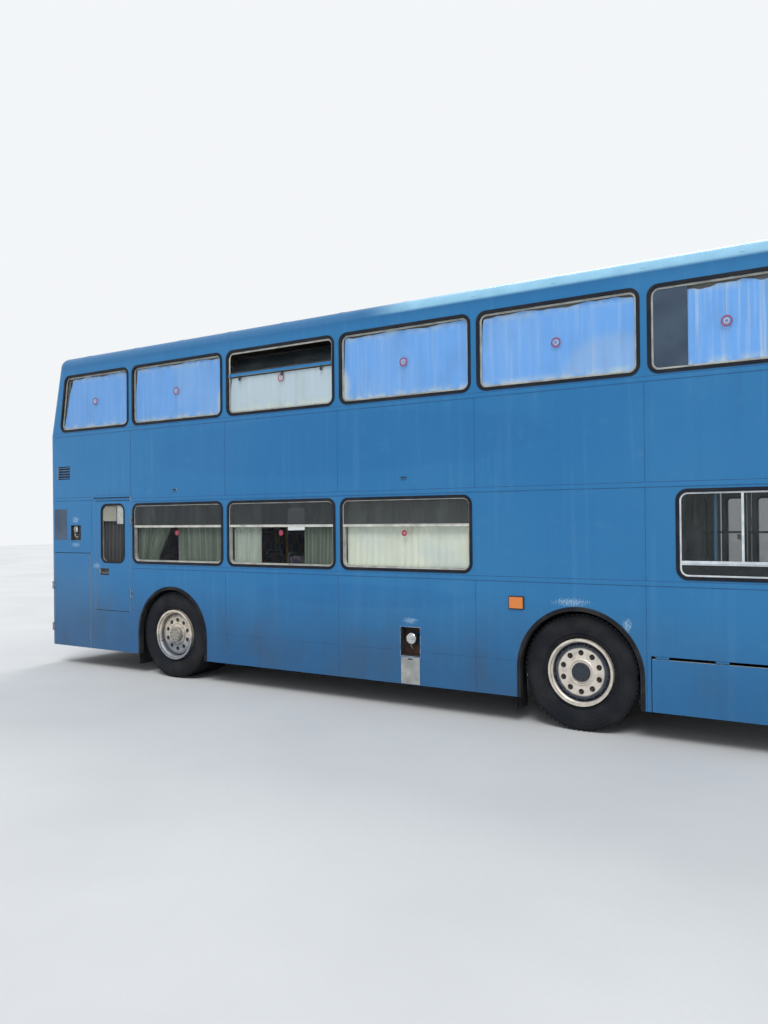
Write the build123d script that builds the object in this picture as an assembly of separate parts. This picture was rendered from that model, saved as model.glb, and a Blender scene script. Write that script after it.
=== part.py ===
from build123d import *
import os

# Double decker bus, rear engine and front entrance, in millimetres.
# +X runs forward, +Y to the nearside (left), +Z up; the origin is on the ground under the middle.
# The offside (right) is -Y. A side is -1 for the right and +1 for the left.
SIDES = {"right": -1, "left": 1}

# Overall form of the body shell
HALF_LENGTH = 4780.0
HALF_WIDTH = 1250.0
ROOF_Z = 4110.0
SKIRT_Z = 245.0
CROWN_R = 5200.0
COVE_R = 130.0
WALL = 45.0
DECK_SEAM_Z = 2125.0
WAIST_Z = 2975.0
CANT_Z = 3790.0
FORM_TOP_Z = ROOF_Z + 90.0

# Lean of the two ends: how far the face stands back from the overall length at each height
REAR_BACK = [(SKIRT_Z, 20.0), (WAIST_Z, 0.0), (FORM_TOP_Z, 220.0)]
FRONT_BACK = [(SKIRT_Z, 35.0), (1150.0, 4.0), (DECK_SEAM_Z, 30.0), (WAIST_Z, 60.0), (FORM_TOP_Z, 305.0)]
# Corner radii in plan at each height: height, rear radius, front radius
CORNERS = [(SKIRT_Z, 90.0, 280.0), (WAIST_Z, 90.0, 280.0), (FORM_TOP_Z, 160.0, 280.0)]

# Where the side panels meet the two end mouldings, below and above the waist
REAR_SPLIT_LOW_X = -4685.0
REAR_SPLIT_HIGH_X = -4585.0
FRONT_SPLIT_LOW_X = 4400.0
FRONT_SPLIT_HIGH_X = 4240.0

# Wheels and axles
FRONT_AXLE_X = 2450.0
WHEELBASE = 4953.0
REAR_AXLE_X = FRONT_AXLE_X - WHEELBASE
TYRE_R = 505.0
TYRE_W = 260.0
TREAD_W = 220.0
RIM_R = 290.0
WHEEL_FACE_Y = 1215.0
TWIN_PITCH = 310.0
KINGPIN_Y = 905.0
KINGPIN_R = 22.0
SPINDLE_R = 38.0
RUNNING = 0.05
STUD_PCD = 335.0
STUD_COUNT = 10

# Wheel arches
ARCH_CLEAR = 40.0
ARCH_R = TYRE_R + ARCH_CLEAR
HOUSING_CLEAR = 103.0
HOUSING_R = TYRE_R + HOUSING_CLEAR
HOUSING_INNER_Y = 600.0
SHEET = 12.0

# Floors
LOWER_FLOOR_Z = 520.0
REAR_FLOOR_Z = 730.0
FLOOR_T = 35.0
REAR_FLOOR_X = -1700.0
UPPER_FLOOR_Z = 2340.0
UPPER_FLOOR_T = 50.0
BULKHEAD_X = -3930.0

# Windows: five pillar lines at one pitch, an opening between each pair
PILLAR_X = 3036.0
PILLAR_PITCH = 1559.0
PILLAR_GAP = 58.0
WINDOW_R = 95.0
UPPER_WINDOW = (3009.0, 3742.0)
LOWER_WINDOW = (1332.0, 2064.0)
GASKET_W = 30.0
GASKET_PROUD = 5.0
GASKET_DEEP = 20.0
GLASS_FROM = 8.0
GLASS_T = 6.0

# Doors and flaps: clearance all round each moving panel, and their hinges
DOOR_GAP = 8.0
HINGE_GAP = 26.0
HINGE_PIN_R = 5.0
HINGE_EYE_R = 11.0
HINGE_STAND = 12.0
HINGE_PLATE_T = 6.0
HINGE_PLATE_W = 30.0
HINGE_LENGTH = 100.0
EYE_PLAY = 1.0


def block(x0, x1, y0, y1, z0, z1):
    return Pos((x0 + x1) / 2, (y0 + y1) / 2, (z0 + z1) / 2) * Box(x1 - x0, y1 - y0, z1 - z0)


def across(sketch, y0, y1):
    """A sketch drawn in X and Z, made solid from y0 to y1."""
    return Rot(90, 0, 0) * (Pos(0, 0, -y1) * extrude(sketch, y1 - y0))


def along(sketch, x0, x1):
    """A sketch drawn in Y and Z, made solid from x0 to x1."""
    face_plane = Plane(origin=(x0, 0, 0), x_dir=(0, 1, 0), z_dir=(1, 0, 0))
    return extrude(face_plane * sketch, x1 - x0)


def on_side(sketch, side, out, thick):
    """A sketch in X and Z made solid inwards from `out` mm off the middle plane on one side."""
    near, far = side * out, side * (out - thick)
    return across(sketch, min(near, far), max(near, far))


def through_side(sketch, side):
    """A cut drawn in X and Z that runs right through one side's wall."""
    return on_side(sketch, side, HALF_WIDTH + CUT_OVER, WALL + 2 * CUT_OVER)


def polygon(points):
    return make_face(Polyline(*points, close=True))


def rounded(x0, x1, z0, z1, radius):
    return Pos((x0 + x1) / 2, (z0 + z1) / 2) * RectangleRounded(x1 - x0, z1 - z0, radius)


def shrunk(sketch, amount):
    return offset(sketch, amount=-amount, kind=Kind.INTERSECTION)


def level(table, z, column=1):
    for low, high in zip(table, table[1:]):
        if z <= high[0]:
            share = (z - low[0]) / (high[0] - low[0])
            return low[column] + (high[column] - low[column]) * share
    return table[-1][column]


def plan_outline(z, inset):
    """The body's outline in plan at one height, drawn in by `inset`."""
    rear = -HALF_LENGTH + level(REAR_BACK, z) + inset
    front = HALF_LENGTH - level(FRONT_BACK, z) - inset
    half = HALF_WIDTH - inset
    face = polygon([(rear, -half, z), (front, -half, z), (front, half, z), (rear, half, z)])
    corners = face.vertices().sort_by(Axis.X)
    face = fillet(corners[:2], level(CORNERS, z, 1) - inset)
    corners = face.vertices().sort_by(Axis.X)
    return fillet(corners[-2:], level(CORNERS, z, 2) - inset)


def body_form(inset, bottom=SKIRT_Z):
    """The closed form of the whole body, drawn in by `inset`: lofted walls, crowned roof, rounded cove."""
    heights = sorted({z for z, _ in REAR_BACK + FRONT_BACK})
    form = loft([plan_outline(z, inset) for z in heights], ruled=True)
    crown = Pos(0, 0, ROOF_Z - inset - CROWN_R) * Rot(0, 90, 0) * Cylinder(CROWN_R, 4 * HALF_LENGTH)
    form = form & crown
    form = fillet(form.faces().sort_by(Axis.Z)[-1].edges(), COVE_R - inset)
    if bottom < SKIRT_Z:
        form += extrude(plan_outline(SKIRT_Z, inset), amount=bottom - SKIRT_Z)
    return form


def region(points):
    """A slab over the whole width, bounded by points in X and Z."""
    return across(polygon(points), -2 * HALF_WIDTH, 2 * HALF_WIDTH)


FAR = HALF_LENGTH + 400.0


def window_sketches():
    """Outer gasket outlines of the side windows, in X and Z, keyed by deck."""
    pillars = [PILLAR_X - PILLAR_PITCH * bay for bay in range(5)]
    half = PILLAR_GAP / 2
    upper = [
        rounded(rear + half, front - half, *UPPER_WINDOW, WINDOW_R)
        for front, rear in zip(pillars, pillars[1:])
    ]
    upper.append(rounded(pillars[0] + half, FRONT_WINDOW_X, *UPPER_WINDOW, WINDOW_R))
    low_x, high_x = REAR_WINDOW_X
    tail = polygon([
        (low_x, UPPER_WINDOW[0]),
        (pillars[4] - half, UPPER_WINDOW[0]),
        (pillars[4] - half, UPPER_WINDOW[1]),
        (high_x, UPPER_WINDOW[1]),
    ])
    upper.append(fillet(tail.vertices(), WINDOW_R))
    lower = [
        rounded(rear + half, front - half, *LOWER_WINDOW, WINDOW_R)
        for front, rear in zip(pillars[1:], pillars[2:])
    ]
    return upper, lower, pillars


# Rear upper side window: its leaning rear edge, bottom and top
REAR_WINDOW_X = (-4561.0, -4451.0)
FRONT_WINDOW_X = 4190.0
CAB_WINDOW = (3276.0, 4340.0, 1330.0, 2064.0)

# Openings of the offside: low x, high x, low z, high z
EMERGENCY = (-3861.0, -3219.0, 733.0, 2108.0)
EMERGENCY_WINDOW = (-3756.0, -3314.0, 1331.0, 2064.0)
ENGINE_FLAP = (REAR_SPLIT_LOW_X, -3955.0, SKIRT_Z, 1450.0)
SKIRT_FLAP = (3067.0, 4370.0, SKIRT_Z, 702.0)
FILLER = (659.0, 879.0, 515.0, 797.0)
FILLER_DEEP = 90.0
SIDE_VENTS = {"high": (-4620.0, -4358.0, 2396.0, 2566.0), "low": (-4670.0, -4430.0, 1619.0, 2004.0)}
SMALL_RECESS = (-4345.0, -4145.0, 1606.0, 1801.0)

# Entrance: four leaves in two folding pairs
ENTRANCE = (3130.0, 4350.0, 345.0, 2100.0)
LEAF_T = 32.0
LEAF_SET_IN = 6.0
STEP_Z = 328.0
STEP_INNER_Y = 850.0
LEAF_GLASS_EDGE = 52.0

# Rear engine bonnet: half width, low z, high z
BONNET = (1010.0, 330.0, 1500.0)

# Front end: half width of the middle pillar, outer edge, low and high of each pair of panes
FRONT_MULLION = 25.0
FRONT_PANE_Y = 1050.0
WINDSCREEN_Z = (1190.0, 2050.0)
UPPER_FRONT_Z = (UPPER_WINDOW[0], 3720.0)
DESTINATION = (620.0, 2330.0, 2760.0)
REAR_PANE = (560.0, 3060.0, 3700.0)
PANE_R = 110.0

# How far cutting tools run past what they cut
CUT_OVER = 60.0
FRONT_CUT_X = HALF_LENGTH - 700.0
REAR_CUT_X = -HALF_LENGTH + 300.0

# Vent slats
LOUVRE_PITCH = 34.0
LOUVRE_T = 8.0
LOUVRE_DEEP = 25.0
LOUVRE_SET_IN = 4.0

# Emergency door: handle recess and hinges at its front edge
HANDLE = (-3781.0, -3607.0, 1177.0, 1260.0)
HANDLE_DEEP = 20.0
HANDLE_BAR = 16.0
EMERGENCY_HINGE_X = EMERGENCY[1] + 14.0
EMERGENCY_HINGE_Z = (960.0, 1860.0)
ENGINE_FLAP_HINGE_X = ENGINE_FLAP[0] - 8.0
ENGINE_FLAP_HINGE_Z = (480.0, 1020.0)
SKIRT_HINGE_X = (3160.0, 3620.0, 4270.0)
BONNET_HINGE_Y = (-600.0, 600.0)

# Entrance leaves: gaps, jamb pivots and the hinges between the leaves of a pair
JAMB_GAP = 12.0
FOLD_GAP = 6.0
MEETING_GAP = 16.0
PIVOT_IN = 20.0
PIVOT_PIN_R = 8.0
PIVOT_DEEP = 20.0
FOLD_PIN_R = 3.5
FOLD_EYE_R = 6.5
FOLD_STAND = 7.0
FOLD_PLATE_T = 3.0
FOLD_PLATE_W = 30.0
FOLD_HINGE_Z = (620.0, 1780.0)
LEAF_KICK = 120.0
LEAF_GLASS_R = 45.0

# Chassis rails
RAIL_OUT_Y = 490.0
RAIL_W = 70.0
RAIL_T = 8.0
RAIL_DEEP = 150.0
RAIL_TOP_Z = LOWER_FLOOR_Z - FLOOR_T
RAIL_HIGH_Z = REAR_FLOOR_Z - FLOOR_T
RAIL_HIGH_DEEP = 110.0
RAIL_FRONT_X = 4550.0
RAIL_RISE_X = REAR_FLOOR_X - 10.0
RAIL_SLOPE = 140.0
RAIL_LAP = 50.0
RAIL_DROP_X = -4060.0
RAIL_LEG = 100.0
CRADLE_TOP_Z = 380.0
CRADLE_DEEP = 80.0
CRADLE_REAR_X = -4690.0
CROSS_W = 60.0
CROSS_H = 80.0
# Cross members: place along the bus, middle height
CROSS_MEMBERS = [
    (4300.0, 410.0), (3250.0, 410.0), (1600.0, 410.0),
    (200.0, 410.0), (-1200.0, 410.0), (-3300.0, 640.0),
]

# Front axle beam, knuckles and their kingpins
BEAM_TOP_Z = 290.0
BEAM_DEEP = 90.0
BEAM_W = 90.0
BEAM_WEB = 12.0
BEAM_FLAT_Y = 565.0
BEAM_RISE_Y = 760.0
BOSS_R = 42.0
BOSS_HALF = 60.0
LUG_T = 28.0
LUG_GAP = 0.3
BRIDGE_Y = (50.0, 72.0)
SPINDLE_END_Y = 1165.0
STEER_ARM_X = 190.0
STEER_ARM_Y = (-25.0, 35.0)

# Rear axle and springs
AXLE_TUBE_R = 60.0
AXLE_TUBE_Y = 700.0
REAR_SPINDLE_R = 45.0
REAR_SPINDLE_Y = 1140.0
DIFF_R = 165.0
SPRING_HALF_LENGTH = 600.0
SPRING_T = 40.0
SPRING_W = 70.0
SADDLE_T = 20.0
# How far the tops of the spring ends lie below the top of the rail
EYE_DROP = 65.0

# Wheels, as distances from the middle plane
SHOULDER = 25.0
TREAD_DROP = 8.0
# Where the sidewall is widest, as shares of the way from the rim to the tread
SIDEWALL_HIGH = 0.72
SIDEWALL_LOW = 0.33
BEAD_IN = 30.0
RIM_DEEP = 40.0
RIM_LIP = 20.0
DISC_T = 16.0
DISC_IN_R = 60.0
DISC_BEND = 30.0
DISC_HOLE_R = 18.0
FRONT_DISH = 32.0
REAR_DISH = 60.0
HUB_R = 82.0
HUB_CAP_T = 28.0
FRONT_HUB_Y = 1000.0
FRONT_CAP_Y = 1200.0
FRONT_DRUM = (1030.0, 1110.0, 205.0)
REAR_HUB_Y = 712.0
REAR_CAP_Y = 1205.0
REAR_DRUM = (740.0, 840.0, 205.0)

# Wheel housings, arch lips and mudflaps
HOUSING_FOOT_Z = 400.0
# Each axle's place, the inner edge of its mudflap and the foot of its housing's end wall
HOUSINGS = [
    (FRONT_AXLE_X, WHEEL_FACE_Y - TYRE_W, RAIL_TOP_Z),
    (REAR_AXLE_X, WHEEL_FACE_Y - TYRE_W - TWIN_PITCH, RAIL_HIGH_Z),
]
LIP_T = 12.0
LIP_PROUD = 12.0
FLAP_T = 8.0
FLAP_LOW_Z = 110.0

# Stairs
FLOOR_PLAY = 0.6
STAIR_IN_Y = HOUSING_INNER_Y - SHEET
STAIR_HOLE_X = (1500.0, 2760.0)
LANDING_X = (2450.0, 3050.0)
LANDING_Z = 1165.0
STAIR_RISERS = 6
STAIR_T = 25.0
STAIR_TREAD_Y = 250.0
FILLER_NOTCH_Y = 1030.0

# Seats
SEAT_TOP = 980.0
SEAT_BASE = 410.0
CUSHION_T = 90.0
SEAT_DEEP = 480.0
SQUAB_T = 60.0
SEAT_IN_Y = 330.0
SEAT_OUT_Y = 1160.0
PEDESTAL_OUT_Y = 560.0
SEAT_PITCH = 760.0
UPPER_FIRST_X = -4450.0
UPPER_ROWS = 11
# Lower rows: back of the seat, floor height, sides that have one
LOWER_ROWS = [
    (-3850.0, REAR_FLOOR_Z, (1,)), (-3050.0, REAR_FLOOR_Z, (-1, 1)), (-2250.0, REAR_FLOOR_Z, (-1, 1)),
    (-1600.0, LOWER_FLOOR_Z, (-1, 1)), (-820.0, LOWER_FLOOR_Z, (-1, 1)), (-40.0, LOWER_FLOOR_Z, (-1, 1)),
    (740.0, LOWER_FLOOR_Z, (-1, 1)),
]

# Soft linings of the windows: liners stand in the upper openings, curtains hang on the wall's inner face
LINER_FROM = 24.0
LINER_T = 18.0
LINER_EDGE = 12.0
LINER_TOP = 22.0
CURTAIN_T = 36.0
CURTAIN_R = 12.0
CURTAIN_Z = (1300.0, 2085.0)
# Rear and front edge of each curtain, by side
CURTAIN_SPANS = {
    "right": [
        (-3150.0, -2480.0), (-2440.0, -1680.0), (-1570.0, -1150.0), (-560.0, -115.0), (-10.0, 1430.0),
    ],
    "left": [
        (-3150.0, -2750.0), (-2100.0, -1680.0), (-1570.0, -1150.0), (-560.0, -115.0),
        (-10.0, 400.0), (1030.0, 1430.0), (1550.0, 1950.0), (2560.0, 2980.0),
    ],
}
DOOR_CLOTH_T = 12.0
DOOR_CLOTH_LAP = 15.0

# Driver's cab
CAB_X = (3110.0, 4600.0)
CAB_IN_Y = -250.0
CAB_WALL = 25.0
CAB_FLOOR_Z = 800.0
CAB_DOOR_TOP_Z = 1250.0
DRIVER_SEAT = (3230.0, -715.0)
DRIVER_SEAT_W = 470.0
DASH_X = 4150.0
DASH_TOP_Z = 1230.0
STEERING_AT = (4020.0, -715.0, 1430.0)
STEERING_TILT = 25.0
STEERING_R = 225.0
STEERING_RIM_R = 14.0
STEERING_COLUMN = 560.0

# Engine: low x, high x, half width, low z, high z
ENGINE = (-4640.0, -4075.0, 400.0, CRADLE_TOP_Z, 1300.0)
# The engine's feet on the rails: length along the bus and height
ENGINE_FOOT = (90.0, 45.0)
# Fuel tank: low x, high x, inner and outer edge on the offside, low z, high z
TANK = (-600.0, 1300.0, 520.0, HALF_WIDTH - 70.0, 290.0, RAIL_TOP_Z)
TANK_R = 40.0
NECK_R = 30.0
CAP_R = 52.0

# Lamps and mirrors
HEADLAMP_R = 88.0
HEADLAMP_Y = (905.0, 700.0)
HEADLAMP_Z = 790.0
LAMP_DEEP = 70.0
LAMP_PROUD = 8.0
REAR_LAMP_Y = (1040.0, 1130.0)
REAR_LAMP_Z = (620.0, 900.0)
MARKER_X = (1817.0, 1947.0)
MARKER_Z = (1035.0, 1135.0)
MARKER_PROUD = 16.0
MIRROR_ROOT = (4376.0, 2060.0)
MIRROR_OUT = 150.0
MIRROR_DROP = 60.0
MIRROR_ARM_R = 10.0
MIRROR_POST_R = 13.0
MIRROR_T = 60.0
MIRROR_W = 170.0
MIRROR_H = 300.0
MIRROR_EDGE_R = 20.0


def arch(axle_x, radius):
    """An arch outline in X and Z: a half-round top with straight legs below the ground."""
    top = Pos(axle_x, TYRE_R) * Circle(radius)
    legs = Pos(axle_x, TYRE_R / 2 - 50) * Rectangle(2 * radius, TYRE_R + 100)
    return top + legs


def rect(x0, x1, z0, z1):
    return Pos((x0 + x1) / 2, (z0 + z1) / 2) * Rectangle(x1 - x0, z1 - z0)


def hinge_half(fixed, pin_r, eye_r, stand, plate_t, plate_w, length):
    """One half of a butt hinge with its pin on the local Z axis.

    The face it is screwed to is at local y = stand. The fixed half reaches towards +x and carries
    the pin and the two outer eyes, and the moving half reaches towards -x with the middle eye.
    """
    third = length / 3
    spots = (-third, third) if fixed else (0.0,)
    way = 1 if fixed else -1
    solid = Cylinder(pin_r, length) if fixed else None
    for spot in spots:
        low, high = spot - third / 2 + EYE_PLAY / 2, spot + third / 2 - EYE_PLAY / 2
        eye = Pos(0, 0, spot) * Cylinder(eye_r, high - low)
        x0, x1 = sorted((0.0, way * plate_w))
        eye += block(x0, x1, stand - plate_t, stand, low, high)
        solid = eye if solid is None else solid + eye
    if not fixed:
        solid -= Cylinder(pin_r + RUNNING, length)
    return solid


def gap_hinge_half(fixed, gap, length):
    """One half of a hinge that fills the gap along a flap's edge, its pin on the local Z axis."""
    third = length / 3
    spots = (-third, third) if fixed else (0.0,)
    way = 1 if fixed else -1
    solid = Cylinder(HINGE_PIN_R, length) if fixed else None
    for spot in spots:
        low, high = spot - third / 2 + EYE_PLAY / 2, spot + third / 2 - EYE_PLAY / 2
        eye = Pos(0, 0, spot) * Cylinder(HINGE_EYE_R, high - low)
        x0, x1 = sorted((0.0, way * gap / 2))
        eye += block(x0, x1, -HINGE_PIN_R, HINGE_PIN_R + 3, low, high)
        solid = eye if solid is None else solid + eye
    if not fixed:
        solid -= Cylinder(HINGE_PIN_R + RUNNING, length)
    return solid


def put(solid, origin, fixed_way, pin_way):
    """Places a hinge half: local +x along `fixed_way` and the pin along `pin_way`."""
    return Plane(origin=origin, x_dir=fixed_way, z_dir=pin_way).location * solid


def ring(sketch, width):
    return sketch - shrunk(sketch, width)


def half_space(side):
    """Everything on one side of the middle plane."""
    return block(-FAR, FAR, min(0, side * FAR), max(0, side * FAR), 0, FORM_TOP_Z)


def together(shapes):
    return Compound(children=[solid for shape in shapes for solid in shape.solids()])


# Every node, by name
parts = {}

# The two sides' cuts, kept for the glazing that fits them
UPPER_SKETCHES, LOWER_SKETCHES, PILLARS = window_sketches()
# The offside upper window whose top light is open, and the bar under that light
OPEN_WINDOW = UPPER_SKETCHES[2]
OPEN_BAR_Z = (3445.0, 3475.0)
OPEN_BAR_OUT = 20.0
LOWER_GLAZED = {
    "right": LOWER_SKETCHES + [rounded(*CAB_WINDOW, WINDOW_R)],
    "left": LOWER_SKETCHES + [
        rounded(PILLARS[1] + PILLAR_GAP / 2, PILLARS[0] - PILLAR_GAP / 2, *LOWER_WINDOW, WINDOW_R),
        rounded(*EMERGENCY_WINDOW, WINDOW_R),
    ],
}
FRONT_PANES = [rounded(FRONT_MULLION, FRONT_PANE_Y, *WINDSCREEN_Z, PANE_R)]
FRONT_PANES.append(mirror(FRONT_PANES[0], Plane.YZ))
UPPER_FRONT_PANES = [rounded(FRONT_MULLION, FRONT_PANE_Y, *UPPER_FRONT_Z, PANE_R)]
UPPER_FRONT_PANES.append(mirror(UPPER_FRONT_PANES[0], Plane.YZ))
DESTINATION_PANE = rounded(-DESTINATION[0], DESTINATION[0], *DESTINATION[1:], PANE_R / 2)
REAR_WINDOW_PANE = rounded(-REAR_PANE[0], REAR_PANE[0], *REAR_PANE[1:], PANE_R)


def louvres(low_x, high_x, low_z, high_z, side):
    """Flat slats across a vent's opening, reaching its two ends."""
    count = int((high_z - low_z) / LOUVRE_PITCH)
    step = (high_z - low_z) / count
    face = HALF_WIDTH - LOUVRE_SET_IN
    y0, y1 = sorted((side * face, side * (face - LOUVRE_DEEP)))
    middles = [low_z + step * (k + 0.5) for k in range(count)]
    return [block(low_x, high_x, y0, y1, z - LOUVRE_T / 2, z + LOUVRE_T / 2) for z in middles]


def low_side_opening(name):
    cuts = LOWER_GLAZED[name] + [arch(axle_x, ARCH_R) for axle_x in (FRONT_AXLE_X, REAR_AXLE_X)]
    cuts.append(rect(*SIDE_VENTS["low"]))
    if name == "right":
        cuts += [rect(*hole) for hole in (EMERGENCY, ENGINE_FLAP, SKIRT_FLAP, FILLER, SMALL_RECESS)]
    else:
        cuts.append(rect(*ENTRANCE))
    return cuts


def make_side_panels(shell):
    low_slab = region([
        (REAR_SPLIT_LOW_X, 0), (FRONT_SPLIT_LOW_X, 0),
        (FRONT_SPLIT_LOW_X, DECK_SEAM_Z), (REAR_SPLIT_LOW_X, DECK_SEAM_Z),
    ])
    high_slab = region([
        (REAR_SPLIT_LOW_X, DECK_SEAM_Z), (FRONT_SPLIT_HIGH_X, DECK_SEAM_Z), (FRONT_SPLIT_HIGH_X, CANT_Z),
        (REAR_SPLIT_HIGH_X, CANT_Z), (REAR_SPLIT_HIGH_X, WAIST_Z), (REAR_SPLIT_LOW_X, WAIST_Z),
    ])
    for name, side in SIDES.items():
        low = shell & low_slab & half_space(side)
        low -= [through_side(cut, side) for cut in low_side_opening(name)]
        low += louvres(*SIDE_VENTS["low"], side)
        parts[f"lower_side_{name}"] = low
        high = shell & high_slab & half_space(side)
        high_cuts = UPPER_SKETCHES + [rect(*SIDE_VENTS["high"])]
        high -= [through_side(cut, side) for cut in high_cuts]
        high += louvres(*SIDE_VENTS["high"], side)
        parts[f"upper_side_{name}"] = high
    bar = rect(-FAR, FAR, *OPEN_BAR_Z)
    outer_bar = on_side(shrunk(OPEN_WINDOW, GASKET_W) & bar, -1, HALF_WIDTH, OPEN_BAR_OUT)
    inner_bar = on_side(OPEN_WINDOW & bar, -1, HALF_WIDTH - OPEN_BAR_OUT, WALL - OPEN_BAR_OUT)
    parts["upper_side_right"] += [outer_bar, inner_bar]


def make_end_panels(shell):
    rear_low = region([
        (-FAR, 0), (REAR_SPLIT_LOW_X, 0), (REAR_SPLIT_LOW_X, DECK_SEAM_Z), (-FAR, DECK_SEAM_Z),
    ])
    rear_high = region([
        (-FAR, DECK_SEAM_Z), (REAR_SPLIT_LOW_X, DECK_SEAM_Z), (REAR_SPLIT_LOW_X, WAIST_Z),
        (REAR_SPLIT_HIGH_X, WAIST_Z), (REAR_SPLIT_HIGH_X, CANT_Z), (-FAR, CANT_Z),
    ])
    front_low = region([
        (FRONT_SPLIT_LOW_X, 0), (FAR, 0), (FAR, DECK_SEAM_Z), (FRONT_SPLIT_LOW_X, DECK_SEAM_Z),
    ])
    front_high = region([
        (FRONT_SPLIT_HIGH_X, DECK_SEAM_Z), (FAR, DECK_SEAM_Z), (FAR, CANT_Z), (FRONT_SPLIT_HIGH_X, CANT_Z),
    ])
    parts["roof"] = shell & region([(-FAR, CANT_Z), (FAR, CANT_Z), (FAR, FORM_TOP_Z), (-FAR, FORM_TOP_Z)])
    front = (shell & front_low) - [along(pane, FRONT_CUT_X, FAR) for pane in FRONT_PANES]
    front -= [headlamp_core(y, FRONT_CUT_X, FAR) for y in headlamp_places()]
    parts["front_lower_panel"] = front
    panes = UPPER_FRONT_PANES + [DESTINATION_PANE]
    parts["front_upper_panel"] = (shell & front_high) - [along(pane, FRONT_CUT_X, FAR) for pane in panes]
    half, low, high = BONNET
    parts["rear_lower_panel"] = (shell & rear_low) - block(-FAR, REAR_CUT_X, -half, half, low, high)
    parts["rear_upper_panel"] = (shell & rear_high) - along(REAR_WINDOW_PANE, -FAR, REAR_CUT_X)


def headlamp_places():
    return [side * y for side in SIDES.values() for y in HEADLAMP_Y]


def headlamp_core(y, x0, x1):
    return Pos((x0 + x1) / 2, y, HEADLAMP_Z) * Rot(0, 90, 0) * Cylinder(HEADLAMP_R, x1 - x0)


def make_glazing():
    gaskets, upper_glass, lower_glass = [], [], []
    for name, side in SIDES.items():
        for glass, sketches in ((upper_glass, UPPER_SKETCHES), (lower_glass, LOWER_GLAZED[name])):
            for sketch in sketches:
                edge = ring(sketch, GASKET_W)
                gaskets.append(on_side(edge, side, HALF_WIDTH + GASKET_PROUD, GASKET_PROUD + GASKET_DEEP))
                pane = shrunk(sketch, GASKET_W)
                if side < 0 and sketch is OPEN_WINDOW:
                    pane &= rect(-FAR, FAR, 0, OPEN_BAR_Z[0])
                glass.append(on_side(pane, side, HALF_WIDTH - GLASS_FROM, GLASS_T))
    gasket_layer = body_form(-GASKET_PROUD) - body_form(GASKET_DEEP)
    glass_layer = body_form(GLASS_FROM) - body_form(GLASS_FROM + GLASS_T)
    ends = [
        (FRONT_PANES, lower_glass, FRONT_CUT_X, FAR),
        (UPPER_FRONT_PANES + [DESTINATION_PANE], upper_glass, FRONT_CUT_X, FAR),
        ([REAR_WINDOW_PANE], upper_glass, -FAR, REAR_CUT_X),
    ]
    for panes, glass, x0, x1 in ends:
        for pane in panes:
            gaskets.append(gasket_layer & along(ring(pane, GASKET_W), x0, x1))
            glass.append(glass_layer & along(shrunk(pane, GASKET_W), x0, x1))
    parts["window_gaskets"] = together(gaskets)
    parts["upper_deck_glass"] = together(upper_glass)
    parts["lower_deck_glass"] = together(lower_glass)


def make_emergency_door(shell):
    low_x, high_x, low_z, high_z = EMERGENCY
    leaf = rect(low_x + DOOR_GAP, high_x - DOOR_GAP, low_z + DOOR_GAP, high_z - DOOR_GAP)
    window = rounded(*EMERGENCY_WINDOW, WINDOW_R)
    door = (shell & through_side(leaf, -1)) - through_side(window, -1)
    door -= on_side(rect(*HANDLE), -1, HALF_WIDTH, HANDLE_DEEP)
    bar_x0, bar_x1, bar_z0, _ = HANDLE
    bar_low, bar_high = bar_z0 + HANDLE_BAR, bar_z0 + 2 * HANDLE_BAR
    door += block(bar_x0, bar_x1, -HALF_WIDTH, -HALF_WIDTH + HANDLE_BAR, bar_low, bar_high)
    sizes = (HINGE_PIN_R, HINGE_EYE_R, HINGE_STAND, HINGE_PLATE_T, HINGE_PLATE_W, HINGE_LENGTH)
    for z in EMERGENCY_HINGE_Z:
        spot = (EMERGENCY_HINGE_X, -HALF_WIDTH - HINGE_STAND, z)
        door += put(hinge_half(False, *sizes), spot, (1, 0, 0), (0, 0, 1))
        parts["lower_side_right"] += put(hinge_half(True, *sizes), spot, (1, 0, 0), (0, 0, 1))
    parts["emergency_door"] = door
    parts["emergency_door_glass"] = on_side(window, -1, HALF_WIDTH - GLASS_FROM, GLASS_T)


def make_engine_flap(shell):
    low_x, high_x, low_z, high_z = ENGINE_FLAP
    leaf = rect(low_x + DOOR_GAP, high_x - DOOR_GAP, low_z, high_z - DOOR_GAP)
    flap = shell & through_side(leaf, -1)
    sizes = (HINGE_PIN_R, HINGE_EYE_R, HINGE_STAND, HINGE_PLATE_T, HINGE_PLATE_W, HINGE_LENGTH)
    for z in ENGINE_FLAP_HINGE_Z:
        spot = (ENGINE_FLAP_HINGE_X, -HALF_WIDTH - HINGE_STAND, z)
        flap += put(hinge_half(False, *sizes), spot, (-1, 0, 0), (0, 0, -1))
        parts["rear_lower_panel"] += put(hinge_half(True, *sizes), spot, (-1, 0, 0), (0, 0, -1))
    parts["engine_side_flap"] = flap


def make_skirt_flap(shell):
    low_x, high_x, low_z, high_z = SKIRT_FLAP
    leaf = rect(low_x + DOOR_GAP, high_x - DOOR_GAP, low_z, high_z - HINGE_GAP)
    flap = shell & through_side(leaf, -1)
    for x in SKIRT_HINGE_X:
        spot = (x, -HALF_WIDTH + HINGE_EYE_R, high_z - HINGE_GAP / 2)
        flap += put(gap_hinge_half(False, HINGE_GAP, HINGE_LENGTH), spot, (0, 0, 1), (-1, 0, 0))
        fixed = gap_hinge_half(True, HINGE_GAP, HINGE_LENGTH)
        parts["lower_side_right"] += put(fixed, spot, (0, 0, 1), (-1, 0, 0))
    parts["skirt_flap"] = flap


def bonnet_hinge_x():
    high = BONNET[2] - HINGE_GAP / 2
    return -HALF_LENGTH + level(REAR_BACK, high) + HINGE_EYE_R


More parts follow.
